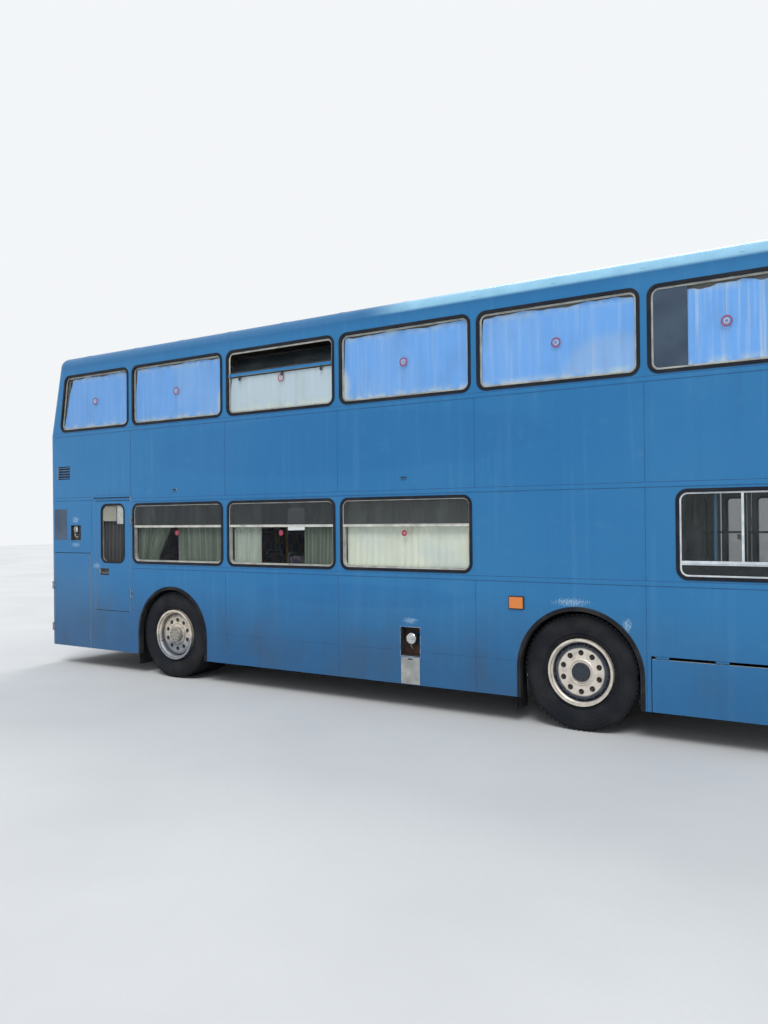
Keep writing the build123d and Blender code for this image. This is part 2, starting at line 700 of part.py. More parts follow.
def make_bonnet(shell):
    half, low, high = BONNET
    inside = half - DOOR_GAP
    bonnet = shell & block(-FAR, REAR_CUT_X, -inside, inside, low + DOOR_GAP, high - HINGE_GAP)
    for y in BONNET_HINGE_Y:
        spot = (bonnet_hinge_x(), y, high - HINGE_GAP / 2)
        bonnet += put(gap_hinge_half(False, HINGE_GAP, HINGE_LENGTH), spot, (0, 0, 1), (0, 1, 0))
        fixed = gap_hinge_half(True, HINGE_GAP, HINGE_LENGTH)
        parts["rear_lower_panel"] += put(fixed, spot, (0, 0, 1), (0, 1, 0))
    parts["engine_bonnet"] = bonnet


def entrance_sizes():
    """Leaf width, pivot and fold distances from the jamb, and the fold pin's place across the bus."""
    low_x, high_x, _, _ = ENTRANCE
    width = (high_x - low_x - MEETING_GAP - 2 * (JAMB_GAP + FOLD_GAP)) / 4
    pivot = JAMB_GAP + PIVOT_IN
    fold = JAMB_GAP + width + FOLD_GAP / 2
    return width, pivot, fold, HALF_WIDTH - LEAF_SET_IN + FOLD_STAND


def make_entrance():
    """Two jack-knife pairs: each inner leaf turns on pins in its jamb, each outer leaf folds against it."""
    low_x, high_x, low_z, high_z = ENTRANCE
    width, pivot, fold, fold_y = entrance_sizes()
    face_y = HALF_WIDTH - LEAF_SET_IN
    middle_y = face_y - LEAF_T / 2
    low, high = low_z + DOOR_GAP, high_z - DOOR_GAP
    fold_sizes = (FOLD_PIN_R, FOLD_EYE_R, FOLD_STAND, FOLD_PLATE_T, FOLD_PLATE_W, HINGE_LENGTH)
    for pair, jamb, way in (("rear", low_x, 1), ("front", high_x, -1)):
        starts = {"inner": JAMB_GAP, "outer": JAMB_GAP + width + FOLD_GAP}
        for which, start in starts.items():
            x0, x1 = sorted((jamb + way * start, jamb + way * (start + width)))
            edge = LEAF_GLASS_EDGE
            pane = rounded(x0 + edge, x1 - edge, low + LEAF_KICK, high - edge, LEAF_GLASS_R)
            leaf = on_side(rect(x0, x1, low, high) - pane, 1, face_y, LEAF_T)
            if which == "inner":
                socket = Cylinder(PIVOT_PIN_R + RUNNING, 2 * PIVOT_DEEP + 4)
                leaf -= [Pos(jamb + way * pivot, middle_y, z) * socket for z in (low, high)]
            for z in FOLD_HINGE_Z:
                half = hinge_half(which == "inner", *fold_sizes)
                leaf += put(half, (jamb + way * fold, fold_y, z), (-way, 0, 0), (0, 0, way))
            parts[f"entrance_{pair}_{which}_leaf"] = leaf
            glass_y = middle_y + GLASS_T / 2
            parts[f"entrance_{pair}_{which}_glass"] = on_side(pane, 1, glass_y, GLASS_T)
        spot = Pos(jamb + way * pivot, middle_y, 0)
        reach = DOOR_GAP + PIVOT_DEEP
        parts["lower_side_left"] += spot * Pos(0, 0, low_z + reach / 2) * Cylinder(PIVOT_PIN_R, reach)
        parts["lower_side_left"] += spot * Pos(0, 0, high_z - reach / 2) * Cylinder(PIVOT_PIN_R, reach)


def make_chassis():
    """Two channel rails, swept up over the rear axle and dropped behind it to carry the engine."""
    profile = polygon([
        (RAIL_FRONT_X, RAIL_TOP_Z), (RAIL_RISE_X, RAIL_TOP_Z), (RAIL_RISE_X - RAIL_SLOPE, RAIL_HIGH_Z),
        (RAIL_DROP_X, RAIL_HIGH_Z), (RAIL_DROP_X, CRADLE_TOP_Z), (CRADLE_REAR_X, CRADLE_TOP_Z),
        (CRADLE_REAR_X, CRADLE_TOP_Z - CRADLE_DEEP), (RAIL_DROP_X + RAIL_LEG, CRADLE_TOP_Z - CRADLE_DEEP),
        (RAIL_DROP_X + RAIL_LEG, RAIL_HIGH_Z - RAIL_HIGH_DEEP),
        (RAIL_RISE_X - RAIL_SLOPE - RAIL_LAP, RAIL_HIGH_Z - RAIL_HIGH_DEEP),
        (RAIL_RISE_X - RAIL_LAP, RAIL_TOP_Z - RAIL_DEEP), (RAIL_FRONT_X, RAIL_TOP_Z - RAIL_DEEP),
    ])
    hollow = shrunk(profile, RAIL_T)
    frame = None
    for side in SIDES.values():
        rail = on_side(profile, side, RAIL_OUT_Y, RAIL_W)
        rail -= on_side(hollow, side, RAIL_OUT_Y - RAIL_T, RAIL_W)
        frame = rail if frame is None else frame + rail
    reach = RAIL_OUT_Y - RAIL_T
    for x, middle_z in CROSS_MEMBERS:
        low, high = middle_z - CROSS_H / 2, middle_z + CROSS_H / 2
        frame += block(x - CROSS_W / 2, x + CROSS_W / 2, -reach, reach, low, high)
    parts["chassis_frame"] = frame


def leaf_spring(axle_x, eye_top, middle_top, side):
    """A bowed spring of one thickness, clamped at the axle, its ends against the rail's outer face."""
    eye_rise = eye_top - middle_top
    rear_x, front_x = axle_x - SPRING_HALF_LENGTH, axle_x + SPRING_HALF_LENGTH
    low = middle_top - SPRING_T
    band = make_face([
        ThreePointArc((rear_x, low + eye_rise), (axle_x, low), (front_x, low + eye_rise)),
        Line((front_x, low + eye_rise), (front_x, middle_top + eye_rise)),
        ThreePointArc((front_x, middle_top + eye_rise), (axle_x, middle_top), (rear_x, middle_top + eye_rise)),
        Line((rear_x, middle_top + eye_rise), (rear_x, low + eye_rise)),
    ])
    return on_side(band, side, RAIL_OUT_Y + SPRING_W, SPRING_W)


def make_axles():
    beam = polygon([
        (0, BEAM_TOP_Z), (BEAM_FLAT_Y, BEAM_TOP_Z),
        (BEAM_RISE_Y, TYRE_R + BOSS_HALF), (KINGPIN_Y, TYRE_R + BOSS_HALF),
        (KINGPIN_Y, TYRE_R - BOSS_HALF), (BEAM_RISE_Y + 70, TYRE_R - BOSS_HALF),
        (BEAM_FLAT_Y + 80, BEAM_TOP_Z - BEAM_DEEP), (0, BEAM_TOP_Z - BEAM_DEEP),
    ])
    forging = along(beam + mirror(beam, Plane.YZ), FRONT_AXLE_X - BEAM_W / 2, FRONT_AXLE_X + BEAM_W / 2)
    web = rect(-BEAM_FLAT_Y + 20, BEAM_FLAT_Y - 20, BEAM_TOP_Z - BEAM_DEEP + 18, BEAM_TOP_Z - 18)
    for way in (-1, 1):
        x0, x1 = sorted((FRONT_AXLE_X + way * BEAM_WEB, FRONT_AXLE_X + way * BEAM_W))
        forging -= along(web, x0, x1)
    for side in SIDES.values():
        spot = Pos(FRONT_AXLE_X, side * KINGPIN_Y, TYRE_R)
        forging += spot * Cylinder(BOSS_R, 2 * BOSS_HALF)
        forging -= spot * Cylinder(KINGPIN_R + RUNNING, 4 * BOSS_HALF)
    parts["front_axle_beam"] = forging

    section = rect(-REAR_SPINDLE_Y, REAR_SPINDLE_Y, 0, REAR_SPINDLE_R)
    section += rect(-AXLE_TUBE_Y, AXLE_TUBE_Y, 0, AXLE_TUBE_R)
    section += Circle(DIFF_R) & rect(-DIFF_R, DIFF_R, 0, DIFF_R)
    tube = place_wheel(revolve(section, Axis.X), REAR_AXLE_X, 1)
    parts["rear_axle"] = tube

    springs = []
    for side in SIDES.values():
        springs.append(leaf_spring(FRONT_AXLE_X, RAIL_TOP_Z - EYE_DROP, BEAM_TOP_Z + SPRING_T, side))
        rear = leaf_spring(REAR_AXLE_X, RAIL_HIGH_Z - EYE_DROP, TYRE_R - AXLE_TUBE_R - SADDLE_T, side)
        saddle_low, saddle_high = TYRE_R - AXLE_TUBE_R - SADDLE_T - SPRING_T / 2, TYRE_R - AXLE_TUBE_R / 2
        y0, y1 = sorted((side * RAIL_OUT_Y, side * (RAIL_OUT_Y + SPRING_W)))
        rear += block(REAR_AXLE_X - AXLE_TUBE_R, REAR_AXLE_X + AXLE_TUBE_R, y0, y1, saddle_low, saddle_high)
        springs.append(rear - tube)
    parts["leaf_springs"] = together(springs)


def knuckle(side):
    """Steering knuckle: kingpin, lugs over and under the beam's boss, their bridge, spindle and arm."""
    solid = Cylinder(KINGPIN_R, 2 * (BOSS_HALF + LUG_T))
    lug_z = BOSS_HALF + LUG_GAP + LUG_T / 2
    for z in (-lug_z, lug_z):
        solid += Pos(0, 0, z) * Cylinder(BOSS_R, LUG_T)
        solid += block(-BOSS_R * 0.85, BOSS_R * 0.85, 0, BRIDGE_Y[1], z - LUG_T / 2, z + LUG_T / 2)
    high = lug_z + LUG_T / 2
    solid += block(-BOSS_R, BOSS_R, *BRIDGE_Y, -high, high)
    length = SPINDLE_END_Y - KINGPIN_Y - BRIDGE_Y[0]
    solid += Pos(0, BRIDGE_Y[0] + length / 2, 0) * Rot(90, 0, 0) * Cylinder(SPINDLE_R, length)
    solid += block(-STEER_ARM_X, 0, *STEER_ARM_Y, -high, -high + LUG_T)
    if side < 0:
        solid = mirror(solid, Plane.XZ)
    return Pos(FRONT_AXLE_X, side * KINGPIN_Y, TYRE_R) * solid


def tyre(outer_y):
    """Section of a tyre about the wheel's axis, as X across and Y out, revolved."""
    middle = outer_y - TYRE_W / 2
    half, tread = TYRE_W / 2, TREAD_W / 2
    rise = TYRE_R - RIM_R
    right = [
        (tread - SHOULDER, TYRE_R), (tread, TYRE_R - TREAD_DROP),
        (half, RIM_R + rise * SIDEWALL_HIGH), (half, RIM_R + rise * SIDEWALL_LOW), (half - BEAD_IN, RIM_R),
    ]
    points = [(middle + x, r) for x, r in right] + [(middle - x, r) for x, r in reversed(right)]
    return revolve(polygon(points), Axis.X)


def rim_section(outer_y, dish):
    """Barrel and disc of one rim, as X across and Y out."""
    back = outer_y - TYRE_W + BEAD_IN
    inner = RIM_R - RIM_DEEP
    barrel = polygon([
        (back, RIM_R), (back, RIM_R - RIM_LIP), (back + RIM_LIP, inner), (outer_y - 2 * RIM_LIP, inner),
        (outer_y - RIM_LIP, RIM_R - RIM_LIP), (outer_y, RIM_R - RIM_LIP), (outer_y, RIM_R),
    ])
    face = outer_y - dish
    plate = polygon([
        (face - DISC_T, DISC_IN_R), (face - DISC_T, inner - DISC_BEND), (face - DISC_T - DISC_BEND, inner),
        (face - DISC_BEND, inner), (face, inner - DISC_BEND * 0.7), (face, DISC_IN_R),
    ])
    return barrel + plate


def hub_section(inner_y, outer_y, bore_r, drum):
    """Hub barrel, brake drum and closed cap. `drum` is its inner and outer edge and radius."""
    drum_in, drum_out, drum_r = drum
    barrel = rect(inner_y, outer_y - HUB_CAP_T, bore_r, HUB_R)
    barrel += rect(drum_in, drum_out, HUB_R - 1, drum_r)
    cap = polygon([
        (outer_y - HUB_CAP_T, 0), (outer_y, 0), (outer_y, HUB_R - HUB_CAP_T / 2),
        (outer_y - HUB_CAP_T / 2, HUB_R), (outer_y - HUB_CAP_T, HUB_R),
    ])
    return barrel + cap


def stud_holes(face_y):
    hole = Pos(face_y, 0, STUD_PCD / 2) * Rot(0, 90, 0) * Cylinder(DISC_HOLE_R, 3 * DISC_T)
    return [Rot(360 / STUD_COUNT * k, 0, 0) * hole for k in range(STUD_COUNT)]


def place_wheel(solid, axle_x, side):
    """A solid drawn about the X axis, with X as the way out, put on its axle on one side."""
    turned = Rot(0, 0, 90) * solid
    if side < 0:
        turned = mirror(turned, Plane.XZ)
    return Pos(axle_x, 0, TYRE_R) * turned


def make_wheels():
    hub = hub_section(FRONT_HUB_Y, FRONT_CAP_Y, SPINDLE_R + RUNNING, FRONT_DRUM)
    front = revolve(rim_section(WHEEL_FACE_Y, FRONT_DISH) + hub, Axis.X)
    front -= stud_holes(WHEEL_FACE_Y - FRONT_DISH)
    hub = hub_section(REAR_HUB_Y, REAR_CAP_Y, REAR_SPINDLE_R + RUNNING, REAR_DRUM)
    twins = rim_section(WHEEL_FACE_Y, REAR_DISH) + rim_section(WHEEL_FACE_Y - TWIN_PITCH, REAR_DISH)
    rear = revolve(twins + hub, Axis.X)
    rear -= stud_holes(WHEEL_FACE_Y - REAR_DISH)
    for name, side in SIDES.items():
        parts[f"steering_knuckle_{name}"] = knuckle(side)
        parts[f"front_wheel_{name}"] = place_wheel(front, FRONT_AXLE_X, side)
        parts[f"front_tyre_{name}"] = place_wheel(tyre(WHEEL_FACE_Y), FRONT_AXLE_X, side)
        parts[f"rear_wheels_{name}"] = place_wheel(rear, REAR_AXLE_X, side)
        pair = together([tyre(WHEEL_FACE_Y), tyre(WHEEL_FACE_Y - TWIN_PITCH)])
        parts[f"rear_tyres_{name}"] = place_wheel(pair, REAR_AXLE_X, side)


def arch_band(axle_x, radius, thick, foot_z):
    """An arch-shaped strip of one thickness, open below, its legs ending at `foot_z`."""
    band = arch(axle_x, radius + thick) - arch(axle_x, radius)
    return band & rect(axle_x - 2 * radius, axle_x + 2 * radius, foot_z, 4 * radius)


def make_arches():
    housings, rubbers = [], []
    for side in SIDES.values():
        for axle_x, flap_in_y, end_z in HOUSINGS:
            band = arch_band(axle_x, HOUSING_R, SHEET, HOUSING_FOOT_Z)
            tunnel = on_side(band, side, HALF_WIDTH - WALL, HALF_WIDTH - WALL - HOUSING_INNER_Y)
            end = rect(axle_x - 2 * HOUSING_R, axle_x + 2 * HOUSING_R, end_z, 4 * HOUSING_R)
            tunnel += on_side(end & arch(axle_x, HOUSING_R + SHEET), side, HOUSING_INNER_Y, SHEET)
            housings.append(tunnel)
            lip = arch_band(axle_x, ARCH_R - LIP_T, LIP_T, SKIRT_Z)
            rubbers.append(on_side(lip, side, HALF_WIDTH + LIP_PROUD, LIP_PROUD + WALL))
            x1 = axle_x - HOUSING_R + FLAP_T
            y0, y1 = sorted((side * flap_in_y, side * (HALF_WIDTH - WALL - 1)))
            rubbers.append(block(x1 - FLAP_T, x1, y0, y1, FLAP_LOW_Z, TYRE_R))
    parts["wheel_housings"] = together(housings)
    parts["arch_rubbers"] = together(rubbers)


def make_floors(interior):
    """Lower floor with its rise over the rear axle and the entrance well, and the upper floor."""
    low_under = LOWER_FLOOR_Z - FLOOR_T
    rear_under = REAR_FLOOR_Z - FLOOR_T
    floor = interior & block(REAR_FLOOR_X, FAR, -FAR, FAR, low_under, LOWER_FLOOR_Z)
    floor += interior & block(BULKHEAD_X, REAR_FLOOR_X, -FAR, FAR, rear_under, REAR_FLOOR_Z)
    floor += interior & block(REAR_FLOOR_X, REAR_FLOOR_X + FLOOR_T, -FAR, FAR, low_under, REAR_FLOOR_Z)
    housing_half = HOUSING_R + SHEET
    for side in SIDES.values():
        y0, y1 = sorted((side * (HOUSING_INNER_Y - SHEET), side * FAR))
        for axle_x in (FRONT_AXLE_X, REAR_AXLE_X):
            floor -= block(axle_x - housing_half, axle_x + housing_half, y0, y1, 0, REAR_FLOOR_Z + 1)
    door_x0, door_x1, _, _ = ENTRANCE
    wall_in = HALF_WIDTH - WALL - FLOOR_PLAY
    floor -= block(door_x0, door_x1, STEP_INNER_Y, FAR, 0, LOWER_FLOOR_Z + 1)
    well = block(door_x0, door_x1, STEP_INNER_Y, wall_in, STEP_Z - SHEET, LOWER_FLOOR_Z)
    well -= block(door_x0 + SHEET, door_x1 - SHEET, STEP_INNER_Y + SHEET, FAR, STEP_Z, FAR)
    floor += well
    fill_x0, fill_x1, _, _ = FILLER
    floor -= block(fill_x0 - 10, fill_x1 + 10, -FAR, -FILLER_NOTCH_Y, 0, LOWER_FLOOR_Z + 1)
    parts["lower_floor"] = floor
    upper = interior & block(-FAR, FAR, -FAR, FAR, UPPER_FLOOR_Z - UPPER_FLOOR_T, UPPER_FLOOR_Z)
    upper -= block(*STAIR_HOLE_X, -FAR, -STAIR_IN_Y, 0, FAR)
    parts["upper_floor"] = upper


def flight(start, way, rise, tread, count, thick):
    """A folded stair strip as points: risers and treads going one way, then back underneath."""
    u, z = start
    top, under = [(u, z)], [(u + way * thick, z)]
    for _ in range(count):
        z += rise
        top += [(u, z), (u + way * tread, z)]
        under += [(u + way * thick, z - thick), (u + way * (tread + thick), z - thick)]
        u += way * tread
    top.append((u, z + rise))
    under.append((u + way * thick, z + rise))
    return polygon(top + under[::-1])


def make_stairs():
    """Two steps in from the gangway, a landing over the wheel housing, then a flight to the rear."""
    wall_y = -(HALF_WIDTH - WALL - FLOOR_PLAY)
    step = (LANDING_Z - LOWER_FLOOR_Z) / 3
    foot = (-STAIR_IN_Y + STAIR_T + 2 * STAIR_TREAD_Y, LOWER_FLOOR_Z)
    entry = flight(foot, -1, step, STAIR_TREAD_Y, 2, STAIR_T)
    lower = along(entry, *LANDING_X)
    rise = (UPPER_FLOOR_Z - LANDING_Z) / STAIR_RISERS
    tread = (LANDING_X[0] - STAIR_HOLE_X[0]) / (STAIR_RISERS - 1)
    climb = flight((LANDING_X[0] + STAIR_T, LANDING_Z), -1, rise, tread, STAIR_RISERS - 1, STAIR_T)
    upper = across(climb, wall_y, -STAIR_IN_Y)
    landing = block(*LANDING_X, wall_y, -STAIR_IN_Y, LANDING_Z - STAIR_T, LANDING_Z)
    parts["staircase"] = lower + landing + upper


def bench(back_x, side, floor_z):
    """One double seat: a bent squab and cushion on a pedestal near the gangway."""
    profile = polygon([
        (back_x, floor_z + SEAT_TOP), (back_x + SQUAB_T, floor_z + SEAT_TOP),
        (back_x + 2 * SQUAB_T, floor_z + SEAT_BASE + CUSHION_T),
        (back_x + SEAT_DEEP, floor_z + SEAT_BASE + CUSHION_T),
        (back_x + SEAT_DEEP, floor_z + SEAT_BASE), (back_x + SQUAB_T, floor_z + SEAT_BASE),
    ])
    seat = on_side(profile, side, SEAT_OUT_Y, SEAT_OUT_Y - SEAT_IN_Y)
    foot = rect(back_x + SEAT_DEEP * 0.3, back_x + SEAT_DEEP * 0.8, floor_z, floor_z + SEAT_BASE)
    return seat + on_side(foot, side, PEDESTAL_OUT_Y, PEDESTAL_OUT_Y - SEAT_IN_Y - 10)


def make_blinds():
    """Liners in the upper side windows, curtains along the lower ones and one on the emergency door."""
    liners = []
    for side in SIDES.values():
        for sketch in UPPER_SKETCHES:
            edges = sketch.bounding_box()
            top = OPEN_BAR_Z[0] - LINER_EDGE if side < 0 and sketch is OPEN_WINDOW else edges.max.Y - LINER_TOP
            rear = max(edges.min.X, REAR_WINDOW_X[1]) + LINER_EDGE
            front = edges.max.X - LINER_EDGE
            cloth = sketch & rect(rear, front, edges.min.Y, top)
            liners.append(on_side(cloth, side, HALF_WIDTH - LINER_FROM, LINER_T))
    parts["window_liners"] = together(liners)
    curtains = []
    for side_name, side in SIDES.items():
        for rear, front in CURTAIN_SPANS[side_name]:
            cloth = rounded(rear, front, *CURTAIN_Z, CURTAIN_R)
            curtains.append(on_side(cloth, side, HALF_WIDTH - WALL, CURTAIN_T))
    parts["curtains"] = together(curtains)
    x0, x1, z0, z1 = EMERGENCY_WINDOW
    door_cloth = rounded(x0 - DOOR_CLOTH_LAP, x1 + DOOR_CLOTH_LAP, z0 - DOOR_CLOTH_LAP, z1, CURTAIN_R)
    parts["door_curtain"] = on_side(door_cloth, -1, HALF_WIDTH - WALL, DOOR_CLOTH_T)


def make_seats():
    lower = [bench(x, side, z) for x, z, sides in LOWER_ROWS for side in sides]
    parts["lower_seats"] = together(lower)
    upper = []
    for row in range(UPPER_ROWS):
        x = UPPER_FIRST_X + row * SEAT_PITCH
        over_stairs = x + SEAT_DEEP > STAIR_HOLE_X[0] - 40 and x < STAIR_HOLE_X[1] + 40
        sides = (1,) if over_stairs else (-1, 1)
        upper += [bench(x, side, UPPER_FLOOR_Z) for side in sides]
    parts["upper_seats"] = together(upper)


def make_cab(interior):
    wall_y = -(HALF_WIDTH - WALL - FLOOR_PLAY)
    x0, x1 = CAB_X
    partition = block(x0 - CAB_WALL, x0, wall_y, CAB_IN_Y, LOWER_FLOOR_Z, UPPER_FLOOR_Z - UPPER_FLOOR_T)
    partition += block(x0, x1, CAB_IN_Y - CAB_WALL, CAB_IN_Y, LOWER_FLOOR_Z, CAB_DOOR_TOP_Z)
    partition += block(x0, x1, wall_y, CAB_IN_Y - CAB_WALL, CAB_FLOOR_Z - CAB_WALL, CAB_FLOOR_Z)
    parts["cab_partition"] = partition & interior
    wall = block(BULKHEAD_X - CAB_WALL, BULKHEAD_X, -FAR, FAR, RAIL_HIGH_Z, UPPER_FLOOR_Z - UPPER_FLOOR_T)
    parts["engine_bulkhead"] = wall & interior

    seat_x, seat_y = DRIVER_SEAT
    base = CAB_FLOOR_Z
    profile = polygon([
        (seat_x, base + 1000), (seat_x + 70, base + 1000), (seat_x + 150, base + 440),
        (seat_x + 500, base + 450), (seat_x + 500, base + 340), (seat_x + 380, base + 340),
        (seat_x + 340, base), (seat_x + 160, base), (seat_x + 140, base + 340), (seat_x + 70, base + 340),
    ])
    parts["driver_seat"] = across(profile, seat_y - DRIVER_SEAT_W / 2, seat_y + DRIVER_SEAT_W / 2)
    front = HALF_LENGTH - WALL - 60
    dash = polygon([
        (DASH_X, base), (DASH_X + 180, base), (DASH_X + 240, base + 180), (front - 200, base + 250),
        (front - 200, DASH_TOP_Z), (DASH_X + 60, DASH_TOP_Z - 40), (DASH_X - 20, DASH_TOP_Z - 110),
    ])
    parts["dashboard"] = across(dash, wall_y + 120, CAB_IN_Y - CAB_WALL - 2)
    tilt = Pos(*STEERING_AT) * Rot(0, -STEERING_TILT, 0)
    wheel = tilt * Torus(STEERING_R, STEERING_RIM_R)
    wheel += tilt * Pos(0, 0, -STEERING_COLUMN / 2) * Cylinder(30, STEERING_COLUMN)
    for turn in (90, 210, 330):
        wheel += tilt * Rot(0, 0, turn) * Pos(STEERING_R / 2, 0, 0) * Box(STEERING_R, 26, 10)
    parts["steering_wheel"] = wheel - parts["dashboard"] - block(*CAB_X, -FAR, 0, 0, CAB_FLOOR_Z)


def make_power():
    x0, x1, half_y, z0, z1 = ENGINE
    engine = block(x0, x1, -half_y, half_y, z0, z1)
    foot_length, foot_height = ENGINE_FOOT
    for foot_x in (x0, x1 - foot_length):
        engine += block(foot_x, foot_x + foot_length, -RAIL_OUT_Y, RAIL_OUT_Y, z0, z0 + foot_height)
    parts["engine_block"] = engine
    tank_x0, tank_x1, tank_in, tank_out, tank_z0, tank_z1 = TANK
    section = rounded(-tank_out, -tank_in, tank_z0, tank_z1, TANK_R)
    tank = along(section, tank_x0, tank_x1)
    fill_x0, fill_x1, fill_z0, fill_z1 = FILLER
    neck_x, neck_z = (fill_x0 + fill_x1) / 2, (fill_z0 + fill_z1) / 2 + 30
    down_y = -(HALF_WIDTH - WALL - FILLER_DEEP - 45)
    cap_y = -(HALF_WIDTH - WALL + 5)
    tank += Pos(neck_x, down_y, (tank_z1 + neck_z) / 2) * Cylinder(NECK_R, neck_z - tank_z1 + 2 * NECK_R)
    tank += Pos(neck_x, (down_y + cap_y) / 2, neck_z) * Rot(90, 0, 0) * Cylinder(NECK_R, down_y - cap_y)
    tank += Pos(neck_x, cap_y + 15, neck_z) * Rot(90, 0, 0) * Cylinder(CAP_R, 30)
    parts["fuel_tank"] = tank
    wall_in = HALF_WIDTH - WALL
    outer = rect(fill_x0 - 5, fill_x1 + 5, fill_z0 - 5, fill_z1 + 5)
    pan = on_side(outer, -1, wall_in, FILLER_DEEP) - on_side(rect(*FILLER), -1, wall_in + 5, FILLER_DEEP)
    pan -= Pos(neck_x, -wall_in + FILLER_DEEP, neck_z) * Rot(90, 0, 0) * Cylinder(NECK_R + 3, 60)
    back = SMALL_RECESS
    plate = on_side(rect(back[0] - 8, back[1] + 8, back[2] - 8, back[3] + 8), -1, wall_in, 4)
    parts["lower_side_right"] = parts["lower_side_right"] + pan + plate


def make_outside_fittings(outer):
    back_x, face_x = HALF_LENGTH - LAMP_DEEP, headlamp_face() + LAMP_PROUD
    parts["headlamps"] = together([headlamp_core(y, back_x, face_x) for y in headlamp_places()])
    rear, side_lamps, mirrors = [], [], []
    for side in SIDES.values():
        y0, y1 = sorted((side * REAR_LAMP_Y[0], side * REAR_LAMP_Y[1]))
        rear.append(block(-HALF_LENGTH + 2, -HALF_LENGTH + 60, y0, y1, *REAR_LAMP_Z) - outer)
        y0, y1 = sorted((side * HALF_WIDTH, side * (HALF_WIDTH + MARKER_PROUD)))
        side_lamps.append(block(*MARKER_X, y0, y1, *MARKER_Z))
        mirrors.append(mirror_on(side))
    parts["rear_lamps"] = together(rear)
    parts["marker_lamps"] = together(side_lamps)
    parts["mirrors"] = together(mirrors)


def headlamp_face():
    return HALF_LENGTH - level(FRONT_BACK, HEADLAMP_Z)


def mirror_on(side):
    """A mirror head on a bent tube from the front corner."""
    x, z = MIRROR_ROOT
    out = side * (HALF_WIDTH + MIRROR_OUT)
    arm = Pos(x, side * (HALF_WIDTH + MIRROR_OUT / 2), z) * Rot(90, 0, 0) * Cylinder(MIRROR_ARM_R, MIRROR_OUT)
    arm += Pos(x, out, z - MIRROR_DROP / 2) * Cylinder(MIRROR_POST_R, MIRROR_DROP + 2 * MIRROR_POST_R)
    top = z - MIRROR_DROP
    face = rounded(out - MIRROR_W / 2, out + MIRROR_W / 2, top - MIRROR_H, top, MIRROR_EDGE_R)
    return arm + along(face, x - MIRROR_T / 2, x + MIRROR_T / 2)


def main():
    outer = body_form(0.0)
    shell = outer - body_form(WALL, bottom=SKIRT_Z - CUT_OVER)
    interior = body_form(WALL + FLOOR_PLAY)
    make_side_panels(shell)
    make_end_panels(shell)
    make_glazing()
    make_emergency_door(shell)
    make_engine_flap(shell)
    make_skirt_flap(shell)
    make_bonnet(shell)
    make_entrance()
    make_chassis()
    make_axles()
    make_wheels()
    make_arches()
    make_floors(interior)
    make_stairs()
    make_seats()
    make_blinds()
    make_cab(interior)
    make_power()
    make_outside_fittings(outer)
    os.makedirs("parts", exist_ok=True)
    for name, shape in parts.items():
        export_step(shape, f"parts/{name}.step")


if __name__ == "__main__":
    main()
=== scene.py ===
"""Looks of a weathered double decker bus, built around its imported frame.

Metres, +X forward, +Y to the nearside (left), +Z up, the origin on the ground under the middle.
"""

import enum
import logging
import math
import random
from dataclasses import dataclass
from typing import Callable, Iterable, Sequence

import bmesh
import bpy
import numpy as np
from mathutils import Matrix, Vector
from mathutils.bvhtree import BVHTree


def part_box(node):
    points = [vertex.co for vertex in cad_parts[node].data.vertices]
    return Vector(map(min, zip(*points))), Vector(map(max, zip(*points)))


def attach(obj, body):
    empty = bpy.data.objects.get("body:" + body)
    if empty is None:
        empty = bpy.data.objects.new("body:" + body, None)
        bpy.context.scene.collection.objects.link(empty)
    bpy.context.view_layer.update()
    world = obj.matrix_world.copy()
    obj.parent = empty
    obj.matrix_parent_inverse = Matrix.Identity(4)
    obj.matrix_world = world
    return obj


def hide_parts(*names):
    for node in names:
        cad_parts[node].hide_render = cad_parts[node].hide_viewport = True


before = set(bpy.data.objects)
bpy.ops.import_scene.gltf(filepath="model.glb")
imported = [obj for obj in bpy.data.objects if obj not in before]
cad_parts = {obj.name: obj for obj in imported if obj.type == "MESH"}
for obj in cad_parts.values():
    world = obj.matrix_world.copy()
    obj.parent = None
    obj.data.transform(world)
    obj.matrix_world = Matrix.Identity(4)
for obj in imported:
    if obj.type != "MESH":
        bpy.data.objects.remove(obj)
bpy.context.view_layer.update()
LOG = logging.getLogger("bus")

Colour = tuple[float, float, float]
Flat = tuple[float, float]
Point = tuple[float, float, float]
Line = list[tuple[Point, Point]]

BODY = "bus_body"


def srgb(red: int, green: int, blue: int) -> Colour:
    """A colour as a paint chart gives it, 0 to 255, turned linear.

    Args:
        red: Red share.
        green: Green share.
        blue: Blue share.

    Returns:
        The linear colour.
    """
    shares = (red / 255, green / 255, blue / 255)
    return tuple(s / 12.92 if s <= 0.04045 else ((s + 0.055) / 1.055) ** 2.4 for s in shares)


class Side(enum.Enum):
    """The two long sides, by the sign of their Y."""

    OFFSIDE = -1
    NEARSIDE = 1

    @property
    def label(self) -> str:
        """The side's name as the CAD nodes give it."""
        return "right" if self is Side.OFFSIDE else "left"


class Deck(enum.Enum):
    """The two decks."""

    LOWER = "lower"
    UPPER = "upper"


